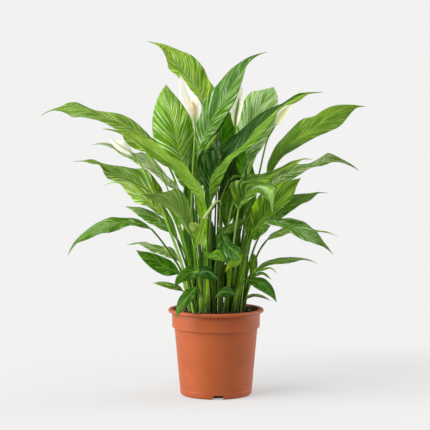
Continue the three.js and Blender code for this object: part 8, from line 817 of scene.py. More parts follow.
def leaf_piece(name, face, r0, r1, arch, tint, stalk, rows, seed, wave=1.6):
    P0 = np.array(stalk, float).reshape(-1, 3) / 10
    B = np.array(rows, float).reshape(-1, 9) / 10
    M, L, R = B[:, :3], B[:, 3:6], B[:, 6:9]
    length = np.linalg.norm(np.diff(M, axis=0), axis=1).sum()
    W = max(np.linalg.norm(L - M, axis=1).max(), np.linalg.norm(R - M, axis=1).max())
    small = length < 75
    nv = max(7, length / 7.2)
    nr = int(np.clip(nv * 8, 44 if small else 56, 180))
    c = np.linspace(0, 1, nr + 1)[:-1]
    c = c * 0.985
    kappa = float(np.clip(8.5 * W / length, 0.55, 2.1))
    P, s, a, w, Nr, half = blade_grid(M, L, R, c, kappa, arch, face, wave if not small else 0.7, seed, 0)
    # numeric normals of the sheet
    du = np.gradient(P, axis=0)
    dv = np.gradient(P, axis=1)
    n = np.cross(dv, du)
    ln = np.linalg.norm(n, axis=-1, keepdims=True)
    n = np.where(ln > 1e-3, n / np.maximum(ln, 1e-9), Nr)
    n = np.where((n * Nr).sum(-1, keepdims=True) < 0, -n, n)
    n = unit(np.where(ln > 1e-3, n, 0) + 0.15 * Nr)
    # relief: the sheet is pillowed between impressed side veins
    left = (COLS < 0)[None]
    jl, jr = (0.42 * waves(c, seed + k, 4, 2.5, 11)[:, None] for k in (5, 6))
    ph = (c * nv)[:, None] + np.where(left, jl, jr) * ss(a / 0.10) + 0.25 * np.where(left, -1, 1) * ss(a / 0.10)
    pil = np.abs(np.sin(math.pi * ph)) ** 0.75 - 0.55
    pil = pil * (1 + 0.45 * waves(ph / nv, seed + 7, 4, 3, 14)) + 0.35 * np.sin(2 * math.pi * (ph * 1.0 / 2.7 + 0.2))
    env = ss(a / 0.16) * (1 - a ** 3) * ss(c / 0.05)[:, None] * ss((1 - c) / 0.10)[:, None] * np.minimum(w / 10, 1)
    relief = 0.66 * pil * env
    # the midrib: a groove above, a keel below
    core = np.exp(-((a * w) / 0.8) ** 2)
    taper = (1 - c) ** 0.8
    groove = -0.28 * core * taper[:, None] * ss(c / 0.1)[:, None] * np.minimum(w / 6, 1)
    thick = 0.20 * (1 - 0.55 * a ** 2)
    keel = (0.95 * r1 * taper + 0.10)[:, None] * np.exp(-((a * w) / 1.15) ** 2) * np.minimum(1, w / 4 + 0.4)
    top = P + n * (relief + groove + thick)[..., None]
    bot = P + n * (relief * 0.85 - thick - keel)[..., None]
    # both sheets meet at the edge
    for j in (0, NC - 1):
        top[:, j] = bot[:, j] = P[:, j]
    # stalk frames, carried down from the blade
    k = max(2, int(0.06 * nr))
    side = unit(P[k, -1] - P[k, 0])
    seg = np.linalg.norm(np.diff(P0, axis=0), axis=1).sum()
    ns = int(np.clip(seg / 5.5, 8, 46))
    q = np.linspace(0, 1, ns + 1)
    C = spline(P0, q)
    C[:, 2] = np.maximum(C[:, 2], FOOT)
    C = np.vstack([C[0] - [0, 0, 4.0], C])
    q = np.r_[0, q]
    Tn = unit(np.gradient(np.vstack([C, M[3]]), axis=0))[:-1]
    Tn[0] = [0, 0, 1]
    up = Nr[k, NC // 2]
    sides, ups = [None] * len(C), [None] * len(C)
    for i in range(len(C) - 1, -1, -1):
        side = unit(side - Tn[i] * (side @ Tn[i]))
        nu = np.cross(side, Tn[i])
        if nu @ up < 0:
            nu = -nu
        up = nu
        sides[i], ups[i] = side, up
    sides, ups = np.array(sides), np.array(ups)

    def section(r, sheath, chan):
        """Ring of a channelled stalk: top columns, then bottom columns."""
        th = math.pi * (1 - (COLS + 1) / 2)
        x, y = np.cos(th), np.sin(th)
        wide = r * (1 + 1.05 * sheath)
        tx, ty = x * wide, y * r * 0.80 * (1 - 0.25 * sheath)
        ty = ty - chan * r * np.exp(-(x / 0.45) ** 2)
        bx, by = x * wide * (1 - 0.10 * sheath), -np.abs(y) ** 0.9 * r * 0.92
        return tx, ty, bx, by

    ring_co, ring_uv, ring_mask, ring_place = [], [], [], []
    dist = np.r_[0, np.cumsum(np.linalg.norm(np.diff(C, axis=0), axis=1))]
    wob = waves(q, seed + 9, 4, 2, 8)
    for i in range(len(C)):
        f = q[i]
        r = r0 + (r1 - r0) * f ** 0.8
        sheath = float(ss((0.62 - f) / 0.45)) if seg > 60 else float(ss((0.5 - f) / 0.5)) * 0.7
        sheath *= 0.9 + 0.25 * wob[i]
        neck = 0.18 * math.exp(-((f - 0.96) / 0.035) ** 2)
        r = r * (1 + neck)
        tx, ty, bx, by = section(r, sheath, 0.45 + 0.15 * sheath)
        t_ = C[i] + tx[:, None] * sides[i] + ty[:, None] * ups[i]
        b_ = C[i] + bx[1:-1, None][::-1] * sides[i] + by[1:-1, None][::-1] * ups[i]
        ring_co.append(np.concatenate([t_, b_]))
        vv = np.r_[(COLS + 1) / 2, (COLS[1:-1][::-1] + 1) / 2]
        ring_uv.append(np.stack([np.full(len(vv), -dist[-1] / 9 + dist[i] / 9), vv], -1))
        edge = np.exp(-((1 - np.abs(np.r_[COLS, COLS[1:-1][::-1]])) / 0.17) ** 2) * sheath
        ring_mask.append(np.stack([np.ones(len(vv)), np.r_[np.ones(NC), np.zeros(NC - 2)], 0 * vv], -1))
        hz = (C[i][2] - 107) / 200
        ring_place.append(np.stack([np.full(len(vv), max(hz, 0)), np.clip(edge * 0.80 + tint[11] * ss(f, 0.45, 0.75), 0, 1), 0 * vv], -1))
    fr_side, fr_up = sides[-1], ups[-1]
    join = 0.055 if not small else 0.10
    for i in range(len(c)):
        wgt = float(1 - ss(c[i] / join))
        t_, b_ = top[i], bot[i][1:-1][::-1]
        if wgt > 0:
            rr = r1 * (1 - 0.25 * c[i] / join)
            tx, ty, bx, by = section(rr, 0.0, 0.45)
            mid = spline(M, np.array([c[i]]))[0]
            sd = unit(P[i, -1] - P[i, 0]) if i > 1 else fr_side
            sd = unit(fr_side * (1 - c[i] / join) + sd * (c[i] / join))
            nn = unit(fr_up * (1 - c[i] / join) + Nr[i, NC // 2] * (c[i] / join))
            T_ = mid + tx[:, None] * sd + ty[:, None] * nn
            B_ = mid + bx[1:-1, None][::-1] * sd + by[1:-1, None][::-1] * nn
            t_ = t_ * (1 - wgt) + T_ * wgt
            b_ = b_ * (1 - wgt) + B_ * wgt
        if i == 0:
            continue    # the last ring of the stalk stands for it
        ring_co.append(np.concatenate([t_, b_]))
        vv = np.r_[(COLS + 1) / 2, (COLS[1:-1][::-1] + 1) / 2]
        uu = np.r_[ph[i], ph[i][1:-1][::-1]]
        ring_uv.append(np.stack([uu, vv], -1))
        ribm = np.exp(-((a[i] * w[i]) / 0.9) ** 2) * taper[i] ** 0.7
        ribm = np.r_[ribm, (np.exp(-((a[i] * w[i]) / 1.1) ** 2) * taper[i] ** 0.7)[1:-1][::-1]]
        ring_mask.append(np.stack([np.full(len(vv), wgt * 0.9 + 0.1 * (wgt > 0.5)), np.r_[np.ones(NC), np.zeros(NC - 2)], ribm], -1))
        hz = (P[i, NC // 2, 2] - 107) / 200
        ring_place.append(np.stack([np.full(len(vv), max(hz, 0)), 0 * vv, np.full(len(vv), c[i])], -1))
    K = 2 * NC - 2
    co = np.concatenate(ring_co + [M[-1][None]])
    n_r = len(ring_co)
    quads = []
    for j in range(K):
        j2 = (j + 1) % K
        i = np.arange(n_r - 1) * K
        quads.append(np.stack([i + j, i + j2, i + K + j2, i + K + j], -1))
    quads = np.concatenate(quads)
    tip = len(co) - 1
    last = (n_r - 1) * K
    tris = [[last + j, last + (j + 1) % K, tip] for j in range(K)]
    # foot: strips between the top and the bottom of the first ring
    def bi(j):
        return 0 if j == 0 else (NC - 1 if j == NC - 1 else NC + (NC - 2 - j))
    foot = []
    for j in range(NC - 1):
        if j == 0:
            tris.append([0, bi(1), 1])
        elif j == NC - 2:
            tris.append([j, bi(j), NC - 1])
        else:
            foot.append([j, bi(j), bi(j + 1), j + 1])
    quads = np.concatenate([quads, np.array(foot)])
    quads, tris = turn_out(co, quads, tris)
    ob = make_mesh(name, co, quads, tris)
    put_uv(ob, "veins", np.concatenate(ring_uv + [np.array([[nv, 0.5]])]))
    mask = np.concatenate(ring_mask + [np.array([[0, 1, 0.0]])])
    put_attr(ob, "mask", mask)
    # the per-leaf tints hold painted shade and painted light; alpha is the strength of the painted sheen
    tl, tr, tip_f = (np.array(tint[k:k + 3], float) for k in (0, 3, 6))
    sheen_amount, stalk_f, _ = tint[9:12]
    across = np.r_[(COLS + 1) / 2, (COLS[1:-1][::-1] + 1) / 2]
    side_w = ss(across, 0.46, 0.54)[None, :, None]
    way = np.r_[np.zeros(len(C)), c[1:]][:, None, None]
    tt = (tl * (1 - side_w) + tr * side_w) * (1 + (tip_f - 1) * ss(way, 0.32, 0.62))
    on_stalk = np.r_[np.ones(len(C)), 1 - ss(c[1:] / join)][:, None, None]
    tt = (tt * (1 - on_stalk) + stalk_f * on_stalk).reshape(-1, 3)
    tt = np.vstack([tt, tt[-1]])
    put_attr(ob, "tint", np.concatenate([tt, np.full((len(tt), 1), sheen_amount)], 1))
    put_attr(ob, "place", np.concatenate(ring_place + [np.array([[1, 0, 1.0]])]))
    ob.data.materials.append(MAT["leaf"])
    return ob


for i, (name, face, r0, r1, arch, tint, stalk, rows) in enumerate(LEAVES):
    ob = leaf_piece(name + "_look", face, r0, r1, arch, tint, stalk, rows, 100 + 17 * i, WAVE.get(name, 1.6))
    finish_piece(ob, "leaf", name)

# the crowded heart of the plant: younger leaves and stalks between the big ones, the darkest of them painted shade that
# fills the gaps
for i, (name, face, r0, r1, arch, tint, stalk, rows) in enumerate(INNER_LEAVES):
    finish_piece(leaf_piece(name, face, r0, r1, arch, tint, stalk, rows, 3100 + 13 * i), "leaf")

# ------------------------------------------------------------------ flowers


def tube(points, radii, sides, uscale=8.0, ref=(0, 1, 0)):
    """Rings of a round stalk with its foot straight down; closed ends."""
    C = np.asarray(points, float)
    T = unit(np.gradient(C, axis=0))
    a = unit(np.cross(ref, T[0]))
    rings, A, Bv = [], [], []
    for i in range(len(C)):
        a = unit(a - T[i] * (a @ T[i]))
        b = np.cross(T[i], a)
        A.append(a)
        Bv.append(b)
    A, Bv = np.array(A), np.array(Bv)
    th = 2 * math.pi * np.arange(sides) / sides
    rad = radii if np.ndim(radii) == 2 else np.asarray(radii)[:, None] * np.ones(sides)
    co = C[:, None] + rad[..., None] * (np.cos(th)[None, :, None] * A[:, None] + np.sin(th)[None, :, None] * Bv[:, None])
    n = len(C)
    quads = []
    for j in range(sides):
        j2 = (j + 1) % sides
        i = np.arange(n - 1) * sides
        quads.append(np.stack([i + j, i + j2, i + sides + j2, i + sides + j], -1))
    quads = np.concatenate(quads)
    flat = co.reshape(-1, 3)
    flat = np.vstack([flat, C[0], C[-1]])
    p, e = len(flat) - 2, len(flat) - 1
    tris = [[(j + 1) % sides, j, p] for j in range(sides)] + [[(n - 1) * sides + j, (n - 1) * sides + (j + 1) % sides, e] for j in range(sides)]
    d = np.r_[0, np.cumsum(np.linalg.norm(np.diff(C, axis=0), axis=1))]
    uv = np.stack([np.repeat(d / uscale, sides), np.tile(np.arange(sides) / sides, n)], -1)
    uv = np.vstack([uv, [0, 0], [d[-1] / uscale, 0]])
    quads, tris = turn_out(flat, quads, tris)
    return flat, quads, tris, uv, d


for i, (name, r0, r1, pts) in enumerate(SCAPES):
    C0 = np.array(pts, float).reshape(-1, 3) / 10
    q = np.linspace(0, 1, 64)
    C = spline(C0, q)
    C = np.vstack([C[0] - [0, 0, 4.0], C])
    q = np.r_[0, q]
    th = 2 * math.pi * np.arange(16) / 16
    rad = (r0 + (r1 - r0) * q ** 0.8)[:, None] * (1 + 0.05 * np.cos(3 * th + i)[None] + 0.03 * waves(q, 900 + i, 4, 3, 14)[:, None])
    rad *= (1 + 0.35 * ss((0.12 - q) / 0.12))[:, None]
    co, quads, tris, uv, d = tube(C, rad, 16)
    ob = make_mesh(name + "_look", co, quads, tris)
    put_uv(ob, "veins", uv)
    hgt = np.r_[np.repeat(q, 16), 0, 1]
    put_attr(ob, "mask", np.stack([hgt, 0 * hgt, 0 * hgt], -1))
    ob.data.materials.append(MAT["scape"])
    finish_piece(ob, "flower_stalk", name)


def spathe_piece(name, rows, seed, back=False):
    """The white hood of a flower; with back it is seen from outside, along its green midrib."""
    B = np.array(rows, float).reshape(-1, 9) / 10
    M, L, R = B[:, :3], B[:, 3:6], B[:, 6:9]
    nr = 70
    c = np.linspace(0, 1, nr + 1)[:-1] * 0.985
    P, s, a, w, Nr, half = blade_grid(M, L, R, c, 0.0, 0.12, 1, 0.7, seed, 0)
    du, dv = np.gradient(P, axis=0), np.gradient(P, axis=1)
    n = np.cross(dv, du)
    ln = np.linalg.norm(n, axis=-1, keepdims=True)
    n = np.where(ln > 1e-3, n / np.maximum(ln, 1e-9), Nr)
    n = np.where((n * Nr).sum(-1, keepdims=True) < 0, -n, n)
    ribs = 0.10 * np.cos(2 * math.pi * a * 6) * (1 - a ** 2) * ss(c / 0.1)[:, None] * np.minimum(w / 6, 1)
    thick = 0.22 * (1 - 0.5 * a ** 2)
    keel = 0.45 * (1 - c)[:, None] * np.exp(-((a * w) / 0.9) ** 2)
    top = P + n * (ribs + thick)[..., None]
    bot = P + n * (ribs - thick - keel)[..., None]
    for j in (0, NC - 1):
        top[:, j] = bot[:, j] = P[:, j]
    co, uv, mask = [], [], []
    for i in range(nr):
        co.append(np.concatenate([top[i], bot[i][1:-1][::-1]]))
        vv = np.r_[(COLS + 1) / 2, (COLS[1:-1][::-1] + 1) / 2]
        uv.append(np.stack([np.full(len(vv), c[i]), vv], -1))
        ribm = np.exp(-((a[i] * w[i]) / 1.0) ** 2) * (1 - c[i]) ** 0.6
        foot = np.full(len(vv), float(ss((0.22 - c[i]) / 0.22)))
        tipg = float(ss((c[i] - 0.86) / 0.14)) * 0.6
        if back:
            ribm = 2.2 * np.exp(-((a[i] * w[i]) / 1.8) ** 2) * float(ss((0.85 - c[i]) / 0.45))
        rib_both = np.r_[(1.0 if back else 0.25) * ribm, ribm[1:-1][::-1]]
        mask.append(np.stack([np.maximum(foot, tipg), np.r_[np.ones(NC), np.zeros(NC - 2)], rib_both], -1))
    K = 2 * NC - 2
    co = np.concatenate(co + [M[-1][None]])
    quads = []
    for j in range(K):
        j2 = (j + 1) % K
        i = np.arange(nr - 1) * K
        quads.append(np.stack([i + j, i + j2, i + K + j2, i + K + j], -1))
    quads = np.concatenate(quads)
    tip, last = len(co) - 1, (nr - 1) * K
    tris = [[last + j, last + (j + 1) % K, tip] for j in range(K)]

    def bi(j):
        return 0 if j == 0 else (NC - 1 if j == NC - 1 else NC + (NC - 2 - j))
    # the first row has no width, so it is drawn out to a small foot
    base = M[0] - unit(M[1] - M[0]) * 0.2
    co[:K] = co[:K] * 0.5 + base * 0.5 + (co[K:2 * K] - co[K:2 * K].mean(0)) * 0.35
    foot = []
    for j in range(NC - 1):
        if j == 0:
            tris.append([0, bi(1), 1])
        elif j == NC - 2:
            tris.append([j, bi(j), NC - 1])
        else:
            foot.append([j, bi(j), bi(j + 1), j + 1])
    quads = np.concatenate([quads, np.array(foot)])
    quads, tris = turn_out(co, quads, tris)
    ob = make_mesh(name, co, quads, tris)
    put_uv(ob, "veins", np.concatenate(uv + [np.array([[1, 0.5]])]))
    put_attr(ob, "mask", np.concatenate(mask + [np.array([[0.5, 1, 0]])]))
    ob.data.materials.append(MAT["spathe_back" if back else "spathe"])
    return ob


for i, (name, rows) in enumerate(SPATHES):
    finish_piece(spathe_piece(name + "_look", rows, 700 + i * 13, "center_right" in name), "spathe", name)

for i, (name, pts) in enumerate(SPADICES):
    C0 = np.array(pts, float).reshape(-1, 3) / 10
    n, sides = 96, 36
    q = np.linspace(0, 1, n)
    C = spline(C0, q)
    prof = 3.0 * np.interp(q, [0, 0.06, 0.12, 0.5, 0.85, 0.96, 1], [0.45, 0.72, 0.92, 1.0, 0.84, 0.55, 0.15])
    L_ = np.linalg.norm(np.diff(C, axis=0), axis=1).sum()
    th = 2 * math.pi * np.arange(sides) / sides
    # small florets in a staggered pattern
    ku, kv = 9, L_ / 1.9
    uu = (th[None] / (2 * math.pi) * ku)
    vv = (q[:, None] * kv)
    row = np.floor(vv)
    fu = (uu + 0.5 * (row % 2)) % 1 - 0.5
    fv = vv - row - 0.5
    d2 = np.clip(1 - (fu ** 2 + fv ** 2) * 3.6, 0, 1)
    knob = np.sqrt(d2)
    rad = prof[:, None] * (0.90 + 0.17 * knob)
    co, quads, tris, uv, d = tube(C, rad, sides)
    ob = make_mesh(name + "_look", co, quads, tris)
    put_uv(ob, "veins", uv)
    k = np.r_[knob.ravel(), 0, 0]
    put_attr(ob, "mask", np.stack([k, 0 * k, 0 * k], -1))
    ob.data.materials.append(MAT["spadix"])
    finish_piece(ob, "spadix", name)

for i, (name, pts) in enumerate(BUDS):
    C0 = np.array(pts, float).reshape(-1, 3) / 10
    n, sides = 84, 36
    q = np.linspace(0, 1, n)
    C = spline(C0, q)
    prof = np.interp(q, [0, 0.06, 0.15, 0.3, 0.5, 0.68, 0.82, 0.93, 1], [1.2, 2.6, 4.1, 4.9, 4.2, 2.9, 1.9, 1.1, 0.35])
    th = 2 * math.pi * np.arange(sides) / sides
    # a rolled sheet: its free edge winds round the bud as a low step
    turn = (th[None] + 2.2 * q[:, None] * math.pi + 0.8) % (2 * math.pi) / (2 * math.pi)
    roll = 0.10 * (1 - turn) + 0.06 * np.exp(-((turn - 0.03) / 0.03) ** 2)
    rad = prof[:, None] * (0.93 + roll)
    co, quads, tris, uv, d = tube(C, rad, sides)
    ob = make_mesh(name + "_look", co, quads, tris)
    put_uv(ob, "veins", uv)
    foot = np.repeat(np.maximum(ss((0.12 - q) / 0.12), 0.8 * ss((q - 0.72) / 0.28)), sides)
    seam = (0.8 * np.exp(-((turn - 0.0) / 0.03) ** 2)).ravel()
    k = np.r_[foot, 1, 1]
    put_attr(ob, "mask", np.stack([k, 0 * k, np.r_[seam * 0.4, 0, 0]], -1))
    ob.data.materials.append(MAT["bud"])
    finish_piece(ob, "spathe_bud", name)

# ------------------------------------------------------------------ pot


def lathe(profile, sides):
    """A closed turned mesh from a profile of (radius, height), in mm, that starts and ends on the axis."""
    prof = np.array(profile, float)
    th = 2 * math.pi * np.arange(sides) / sides
    mid = prof[1:-1]
    co = np.stack([mid[:, 0:1] * np.cos(th), mid[:, 0:1] * np.sin(th), mid[:, 1:2] * np.ones(sides)], -1).reshape(-1, 3)
    n = len(mid)
    quads = []
    for j in range(sides):
        j2 = (j + 1) % sides
        i = np.arange(n - 1) * sides
        quads.append(np.stack([i + j, i + j2, i + sides + j2, i + sides + j], -1))
    quads = np.concatenate(quads)
    co = np.vstack([co, [0, 0, prof[0, 1]], [0, 0, prof[-1, 1]]])
    a, b = len(co) - 2, len(co) - 1
    tris = [[(j + 1) % sides, j, a] for j in range(sides)] + [[(n - 1) * sides + j, (n - 1) * sides + (j + 1) % sides, b] for j in range(sides)]
    quads, tris = turn_out(co, quads, tris)
    return co, quads, tris


H, LIP_R, LIP_H, COLLAR_R, COLLAR_Z = 118.0, 65.0, 6.0, 59.6, 93.0
BODY_TOP, BODY_FOOT, WALL, FLOOR = 56.6, 48.3, 1.8, 2.2


def body_r(z):
    return BODY_FOOT + (BODY_TOP - BODY_FOOT) * z / COLLAR_Z


def arc(cx, cz, rx, rz, a0, a1, n):
    t = np.radians(np.linspace(a0, a1, n))
    return [(cx + rx * math.cos(x), cz + rz * math.sin(x)) for x in t]


foot_r = 4.0
lip_in = COLLAR_R - WALL
prof = [(0, 0.6), (20, 0.6), (40, 0.6), (42.2, 0.05)]
prof += arc(body_r(foot_r) - foot_r, foot_r, foot_r, foot_r - 0.02, -90, 0, 9)
prof += [(body_r(6.2), 6.2), (body_r(6.8) + 0.05, 6.8), (body_r(7.1) + 0.20, 7.1), (body_r(7.5) + 0.25, 7.5), (body_r(7.9) + 0.15, 7.9), (body_r(8.3), 8.3)]
for z in np.linspace(10, 91.0, 40):
    prof.append((body_r(z) + 0.03 * math.sin(z * 0.9), z))
prof += [(body_r(91.8), 91.8), (body_r(92.2) + 0.10, 92.2)]
prof += arc(COLLAR_R - 1.1, 93.6, 1.1, 1.1, -90, 0, 7)
for z in np.linspace(95.5, 110.2, 8):
    prof.append((COLLAR_R + 0.2 * (z - 94) / 17, z))
prof += [(COLLAR_R + 0.10, 111.0), (COLLAR_R - 0.10, 111.6), (COLLAR_R - 0.10, 112.5), (COLLAR_R + 0.9, 113.1)]
prof += arc(LIP_R - 3, H - 2.5, 3, 2.48, -84, 90, 15)
prof += [(lip_in + 3.2, H - 0.02), (lip_in + 2.2, H - 0.06)]
prof += arc(lip_in + 1.6, H - 1.7, 1.6, 1.6, 100, 180, 6)
prof += [(lip_in, H - 6), (lip_in, H - 12), (lip_in, 100), (lip_in, COLLAR_Z + 1.2), (body_r(COLLAR_Z) - WALL, COLLAR_Z - 1)]
prof += [(body_r(z) - WALL, z) for z in (80, 60, 40, 20, 8)]
prof += [(body_r(FLOOR) - WALL, FLOOR + 1.6), (body_r(FLOOR) - WALL - 1.6, FLOOR), (30, FLOOR), (0, FLOOR)]
SIDES = 200
co, quads, tris = lathe(prof, SIDES)
pot = make_mesh("nursery_pot_look", co, quads, tris)

# the drain notches are cut through the foot
cut_co, cut_q = [], []
for k in range(3):
    ang = math.radians(-86.4 + 120 * k)
    out, side = np.array([math.cos(ang), math.sin(ang), 0]), np.array([-math.sin(ang), math.cos(ang), 0])
    sec = [(-7.6, -2.0), (7.6, -2.0), (6.45, 5.0), (5.9, 5.6), (-5.9, 5.6), (-6.45, 5.0)]
    n0 = len(cut_co)
    for d in (37.0, 56.0):
        for x, z in sec:
            cut_co.append(out * d + side * x + np.array([0, 0, z]))
    m = len(sec)
    for j in range(m):
        j2 = (j + 1) % m
        cut_q.append([n0 + j, n0 + j2, n0 + m + j2, n0 + m + j])
    cut_q.append([n0, n0 + m - 1, n0 + m - 2, n0 + 3])
    cut_q.append([n0, n0 + 3, n0 + 2, n0 + 1])
    cut_q.append([n0 + m + 3, n0 + 2 * m - 2, n0 + 2 * m - 1, n0 + m])
    cut_q.append([n0 + m + 1, n0 + m + 2, n0 + m + 3, n0 + m])
me = bpy.data.meshes.new("notch_cutter")
me.from_pydata([tuple(np.array(p) * MM) for p in cut_co], [], cut_q)
me.update()
cutter = bpy.data.objects.new("notch_cutter", me)
bpy.context.scene.collection.objects.link(cutter)
import bmesh
bm = bmesh.new()
bm.from_mesh(me)
bmesh.ops.recalc_face_normals(bm, faces=bm.faces)
bm.to_mesh(me)
bm.free()
mod = pot.modifiers.new("notches", "BOOLEAN")
mod.operation, mod.object, mod.solver = "DIFFERENCE", cutter, "EXACT"
dg = bpy.context.evaluated_depsgraph_get()
cut = bpy.data.meshes.new_from_object(pot.evaluated_get(dg))
pot.modifiers.clear()
pot.data = cut
cut.name = "nursery_pot_look"
bpy.data.objects.remove(cutter)
for p in cut.polygons:
    p.use_smooth = True
bm = bmesh.new()
bm.from_mesh(cut)
for e in bm.edges:
    if len(e.link_faces) == 2 and e.calc_face_angle(0) > math.radians(38):
        e.smooth = False
bm.to_mesh(cut)
bm.free()
xyz = np.zeros(len(cut.vertices) * 3, np.float32)
cut.vertices.foreach_get("co", xyz)
xyz = xyz.reshape(-1, 3).astype(float) / MM
rr = np.hypot(xyz[:, 0], xyz[:, 1])
# masks for painted shade inside the pot and painted highlight along the lip top and the collar's lower edge
inner = np.where(xyz[:, 2] > COLLAR_Z, rr < lip_in + 0.6, rr < body_r(xyz[:, 2]) - WALL + 0.3) & (xyz[:, 2] > 2.0)
edge = np.exp(-((xyz[:, 2] - 93.2) / 0.9) ** 2) * (rr > COLLAR_R - 1.5) + 0.7 * np.exp(-((xyz[:, 2] - 117.6) / 1.0) ** 2)
put_attr(pot, "mask", np.stack([inner * 1.0, np.clip(edge, 0, 1), 0 * rr], -1))
pot.data.materials.clear()
pot.data.materials.append(MAT["pot"])
finish_piece(pot, "pot_plastic", "nursery_pot")

# ------------------------------------------------------------------ soil


def bumpy(x, y, seed):
    """A seeded sum of waves in many directions, about -1 to 1."""
    r = np.random.default_rng(seed)
    v = np.zeros_like(x)
    tot = 0
    for f, a in ((0.05, 1.0), (0.11, 0.8), (0.24, 0.6), (0.5, 0.45), (1.1, 0.3)):
        for _ in range(5):
            t = r.uniform(0, 2 * math.pi)
            p = r.uniform(0, 2 * math.pi)
            g = f * r.uniform(0.8, 1.25)
            v += a * np.sin(2 * math.pi * g * (x * math.cos(t) + y * math.sin(t)) + p)
            tot += a * 0.5
    return v / tot


sides, rad = 160, np.r_[np.linspace(1.0, 56.9, 62)]
th = 2 * math.pi * np.arange(sides) / sides
x = rad[:, None] * np.cos(th)
y = rad[:, None] * np.sin(th)
zt = 115.1 + 0.7 * bumpy(x, y, 31) - 1.2 * ss((rad - 47) / 10)[:, None] + 0.9 * ss((52 - rad) / 34)[:, None]
topc = np.stack([x, y, zt], -1).reshape(-1, 3)
wall_z = [110.5, 98.0, 94.6, 92.4, 60, 30, 8, 4.1, 2.5]
wall_r = [57.4, 57.4, 57.2, 54.4, 51.4, 48.9, 47.0, 46.1, 44.6]
wall = np.concatenate([np.stack([r * np.cos(th), r * np.sin(th), np.full(sides, z)], -1) for r, z in zip(wall_r, wall_z)])
co = np.vstack([topc, wall, [0, 0, 116.0], [0, 0, 2.5]])
n = len(rad) + len(wall_z)
quads = []
for j in range(sides):
    j2 = (j + 1) % sides
    i = np.arange(n - 1) * sides
    quads.append(np.stack([i + j, i + j2, i + sides + j2, i + sides + j], -1))
quads = np.concatenate(quads)
a, b = len(co) - 2, len(co) - 1
tris = [[(j + 1) % sides, j, a] for j in range(sides)] + [[(n - 1) * sides + j, (n - 1) * sides + (j + 1) % sides, b] for j in range(sides)]
quads, tris = turn_out(co, quads, tris)
soil = make_mesh("soil_look", co, quads, tris)
soil.data.materials.append(MAT["soil"])
finish_piece(soil, "potting_soil", "soil")

# crumbs, bark chips and pale flecks lying in the surface
ico_v = []
g = (1 + 5 ** 0.5) / 2
for p in ((-1, g, 0), (1, g, 0), (-1, -g, 0), (1, -g, 0), (0, -1, g), (0, 1, g), (0, -1, -g), (0, 1, -g), (g, 0, -1), (g, 0, 1), (-g, 0, -1), (-g, 0, 1)):
    ico_v.append(unit(np.array(p, float)))
ico_v = np.array(ico_v)
ico_f = np.array([[0, 11, 5], [0, 5, 1], [0, 1, 7], [0, 7, 10], [0, 10, 11], [1, 5, 9], [5, 11, 4], [11, 10, 2], [10, 7, 6], [7, 1, 8],
                  [3, 9, 4], [3, 4, 2], [3, 2, 6], [3, 6, 8], [3, 8, 9], [4, 9, 5], [2, 4, 11], [6, 2, 10], [8, 6, 7], [9, 8, 1]])
cco, cf, ccol = [], [], []
for k in range(1500):
    r = 55.8 * math.sqrt(RNG.uniform(0.02, 1))
    t = RNG.uniform(0, 2 * math.pi)
    px, py = r * math.cos(t), r * math.sin(t)
    kind = RNG.uniform()
    size = RNG.uniform(0.45, 1.3) if kind < 0.82 else RNG.uniform(1.0, 2.1)
    shape = np.array([RNG.uniform(0.7, 1.4), RNG.uniform(0.5, 1.0), RNG.uniform(0.35, 0.8)]) * size
    if kind > 0.82:
        shape[0] *= 1.6
    v = ico_v * (1 + RNG.uniform(-0.22, 0.22, (12, 1))) * shape
    ax = unit(RNG.normal(size=3))
    an = RNG.uniform(0, 0.7)
    zr = RNG.uniform(0, 2 * math.pi)
    cz, sz = math.cos(zr), math.sin(zr)
    v = v @ np.array([[cz, sz, 0], [-sz, cz, 0], [0, 0, 1]])
    kx = np.array([[0, -ax[2], ax[1]], [ax[2], 0, -ax[0]], [-ax[1], ax[0], 0]])
    v = v @ (np.eye(3) + math.sin(an) * kx + (1 - math.cos(an)) * kx @ kx).T
    i0 = int(np.clip((r - 1.0) / 55.9 * 61, 0, 61))
    j0 = int(t / (2 * math.pi) * sides) % sides
    z = zt[i0, j0] + 0.25 * size
    cco.append(v + [px, py, z])
    cf.append(ico_f + 12 * k)
    if kind < 0.62:
        col = np.array([0.018, 0.011, 0.007]) * RNG.uniform(0.6, 1.8)
    elif kind < 0.82:
        col = np.array([0.075, 0.042, 0.022]) * RNG.uniform(0.7, 1.6)
    elif kind < 0.95:
        col = np.array([0.16, 0.090, 0.045]) * RNG.uniform(0.7, 1.4)
    else:
        col = np.array([0.42, 0.34, 0.24]) * RNG.uniform(0.8, 1.2)
    ccol.append(np.tile(col, (12, 1)))
chips = make_mesh("soil_crumbs", np.concatenate(cco), [], np.concatenate(cf), smooth=False)
put_attr(chips, "tint", np.concatenate(ccol))
chips.data.materials.append(MAT["chips"])
finish_piece(chips, "potting_soil")

# ------------------------------------------------------------------ stage, light and camera


def stage_material(name, col, lit):
    """A plain sheet, softly lit from behind so that the shadows on it stay light."""
    m = bpy.data.materials.new(name)
    N = Nodes(m)
    b = N.new("ShaderNodeBsdfDiffuse")
    b.inputs[0].default_value = (*col, 1)
    e = N.new("ShaderNodeEmission")
    e.inputs[0].default_value = (1, 1, 0.995, 1)
    e.inputs[1].default_value = lit
    both = N.new("ShaderNodeAddShader")
    N.link(b.outputs[0], both.inputs[0])
    N.link(e.outputs[0], both.inputs[1])
    N.link(both.outputs[0], N.out.inputs[0])
    return m


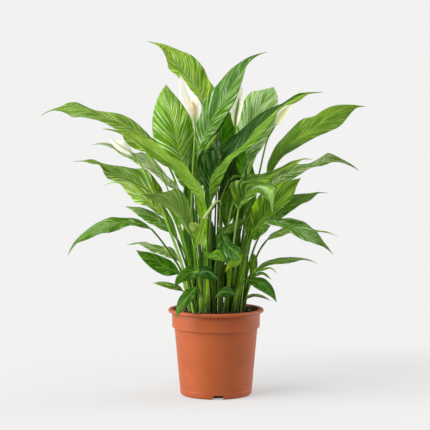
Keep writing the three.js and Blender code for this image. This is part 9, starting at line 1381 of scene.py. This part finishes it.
me = bpy.data.meshes.new("floor")
S = 400.0
me.from_pydata([(-S, -S, 0), (S, -S, 0), (S, S, 0), (-S, S, 0)], [], [(0, 1, 2, 3)])
floor = bpy.data.objects.new("floor", me)
bpy.context.scene.collection.objects.link(floor)
floor.data.materials.append(stage_material("floor", (0.296, 0.296, 0.294), 0.42))
floor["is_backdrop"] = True

# white all round at eye level, dimmer overhead
world = bpy.data.worlds.new("studio")
bpy.context.scene.world = world
world.use_nodes = True
wt = world.node_tree
wt.nodes.clear()
wo = wt.nodes.new("ShaderNodeOutputWorld")
bg = wt.nodes.new("ShaderNodeBackground")
wt.links.new(bg.outputs[0], wo.inputs[0])
tc = wt.nodes.new("ShaderNodeTexCoord")
sx = wt.nodes.new("ShaderNodeSeparateXYZ")
wt.links.new(tc.outputs["Generated"], sx.inputs[0])
mr = wt.nodes.new("ShaderNodeMapRange")
mr.interpolation_type = "SMOOTHSTEP"
wt.links.new(sx.outputs[2], mr.inputs[0])
for i, v in ((1, 0.04), (2, 0.16), (3, 0.885), (4, WORLD_MID)):
    mr.inputs[i].default_value = v
cap = wt.nodes.new("ShaderNodeMapRange")
cap.interpolation_type = "SMOOTHSTEP"
wt.links.new(sx.outputs[2], cap.inputs[0])
for i, v in ((1, 0.55), (2, 0.85), (3, 0.0), (4, WORLD_TOP)):
    cap.inputs[i].default_value = v
add = wt.nodes.new("ShaderNodeMath")
wt.links.new(mr.outputs[0], add.inputs[0])
wt.links.new(cap.outputs[0], add.inputs[1])
wt.links.new(add.outputs[0], bg.inputs[1])
bg.inputs[0].default_value = (1, 1, 1, 1)


def sun(name, direction, strength, angle, color=(1, 1, 1)):
    l = bpy.data.lights.new(name, "SUN")
    l.energy, l.angle, l.color = strength, math.radians(angle), color
    o = bpy.data.objects.new(name, l)
    bpy.context.scene.collection.objects.link(o)
    d = -np.array(unit(direction))
    from mathutils import Vector
    o.rotation_mode = "QUATERNION"
    o.rotation_quaternion = Vector(d).to_track_quat("-Z", "Y")
    return o


sun("key", (-0.96, -0.18, 0.26), 3.8, 46)
sun("front", (-0.50, -0.50, 0.71), 1.5, 22)
sun("fill", (1.0, 0.36, 0.17), 2.2, 44)

cam = bpy.data.cameras.new("camera")
cam.lens = 165.0
cam.sensor_width = 36.0
cam.clip_end = 200
co_ = bpy.data.objects.new("camera", cam)
bpy.context.scene.collection.objects.link(co_)
co_.location = (-0.00136, -2.660, 0.468)
co_.rotation_euler = (math.radians(85.21), 0, 0)
bpy.context.scene.camera = co_
bpy.context.scene.view_settings.view_transform = "Standard"
bpy.context.scene.view_settings.look = "None"
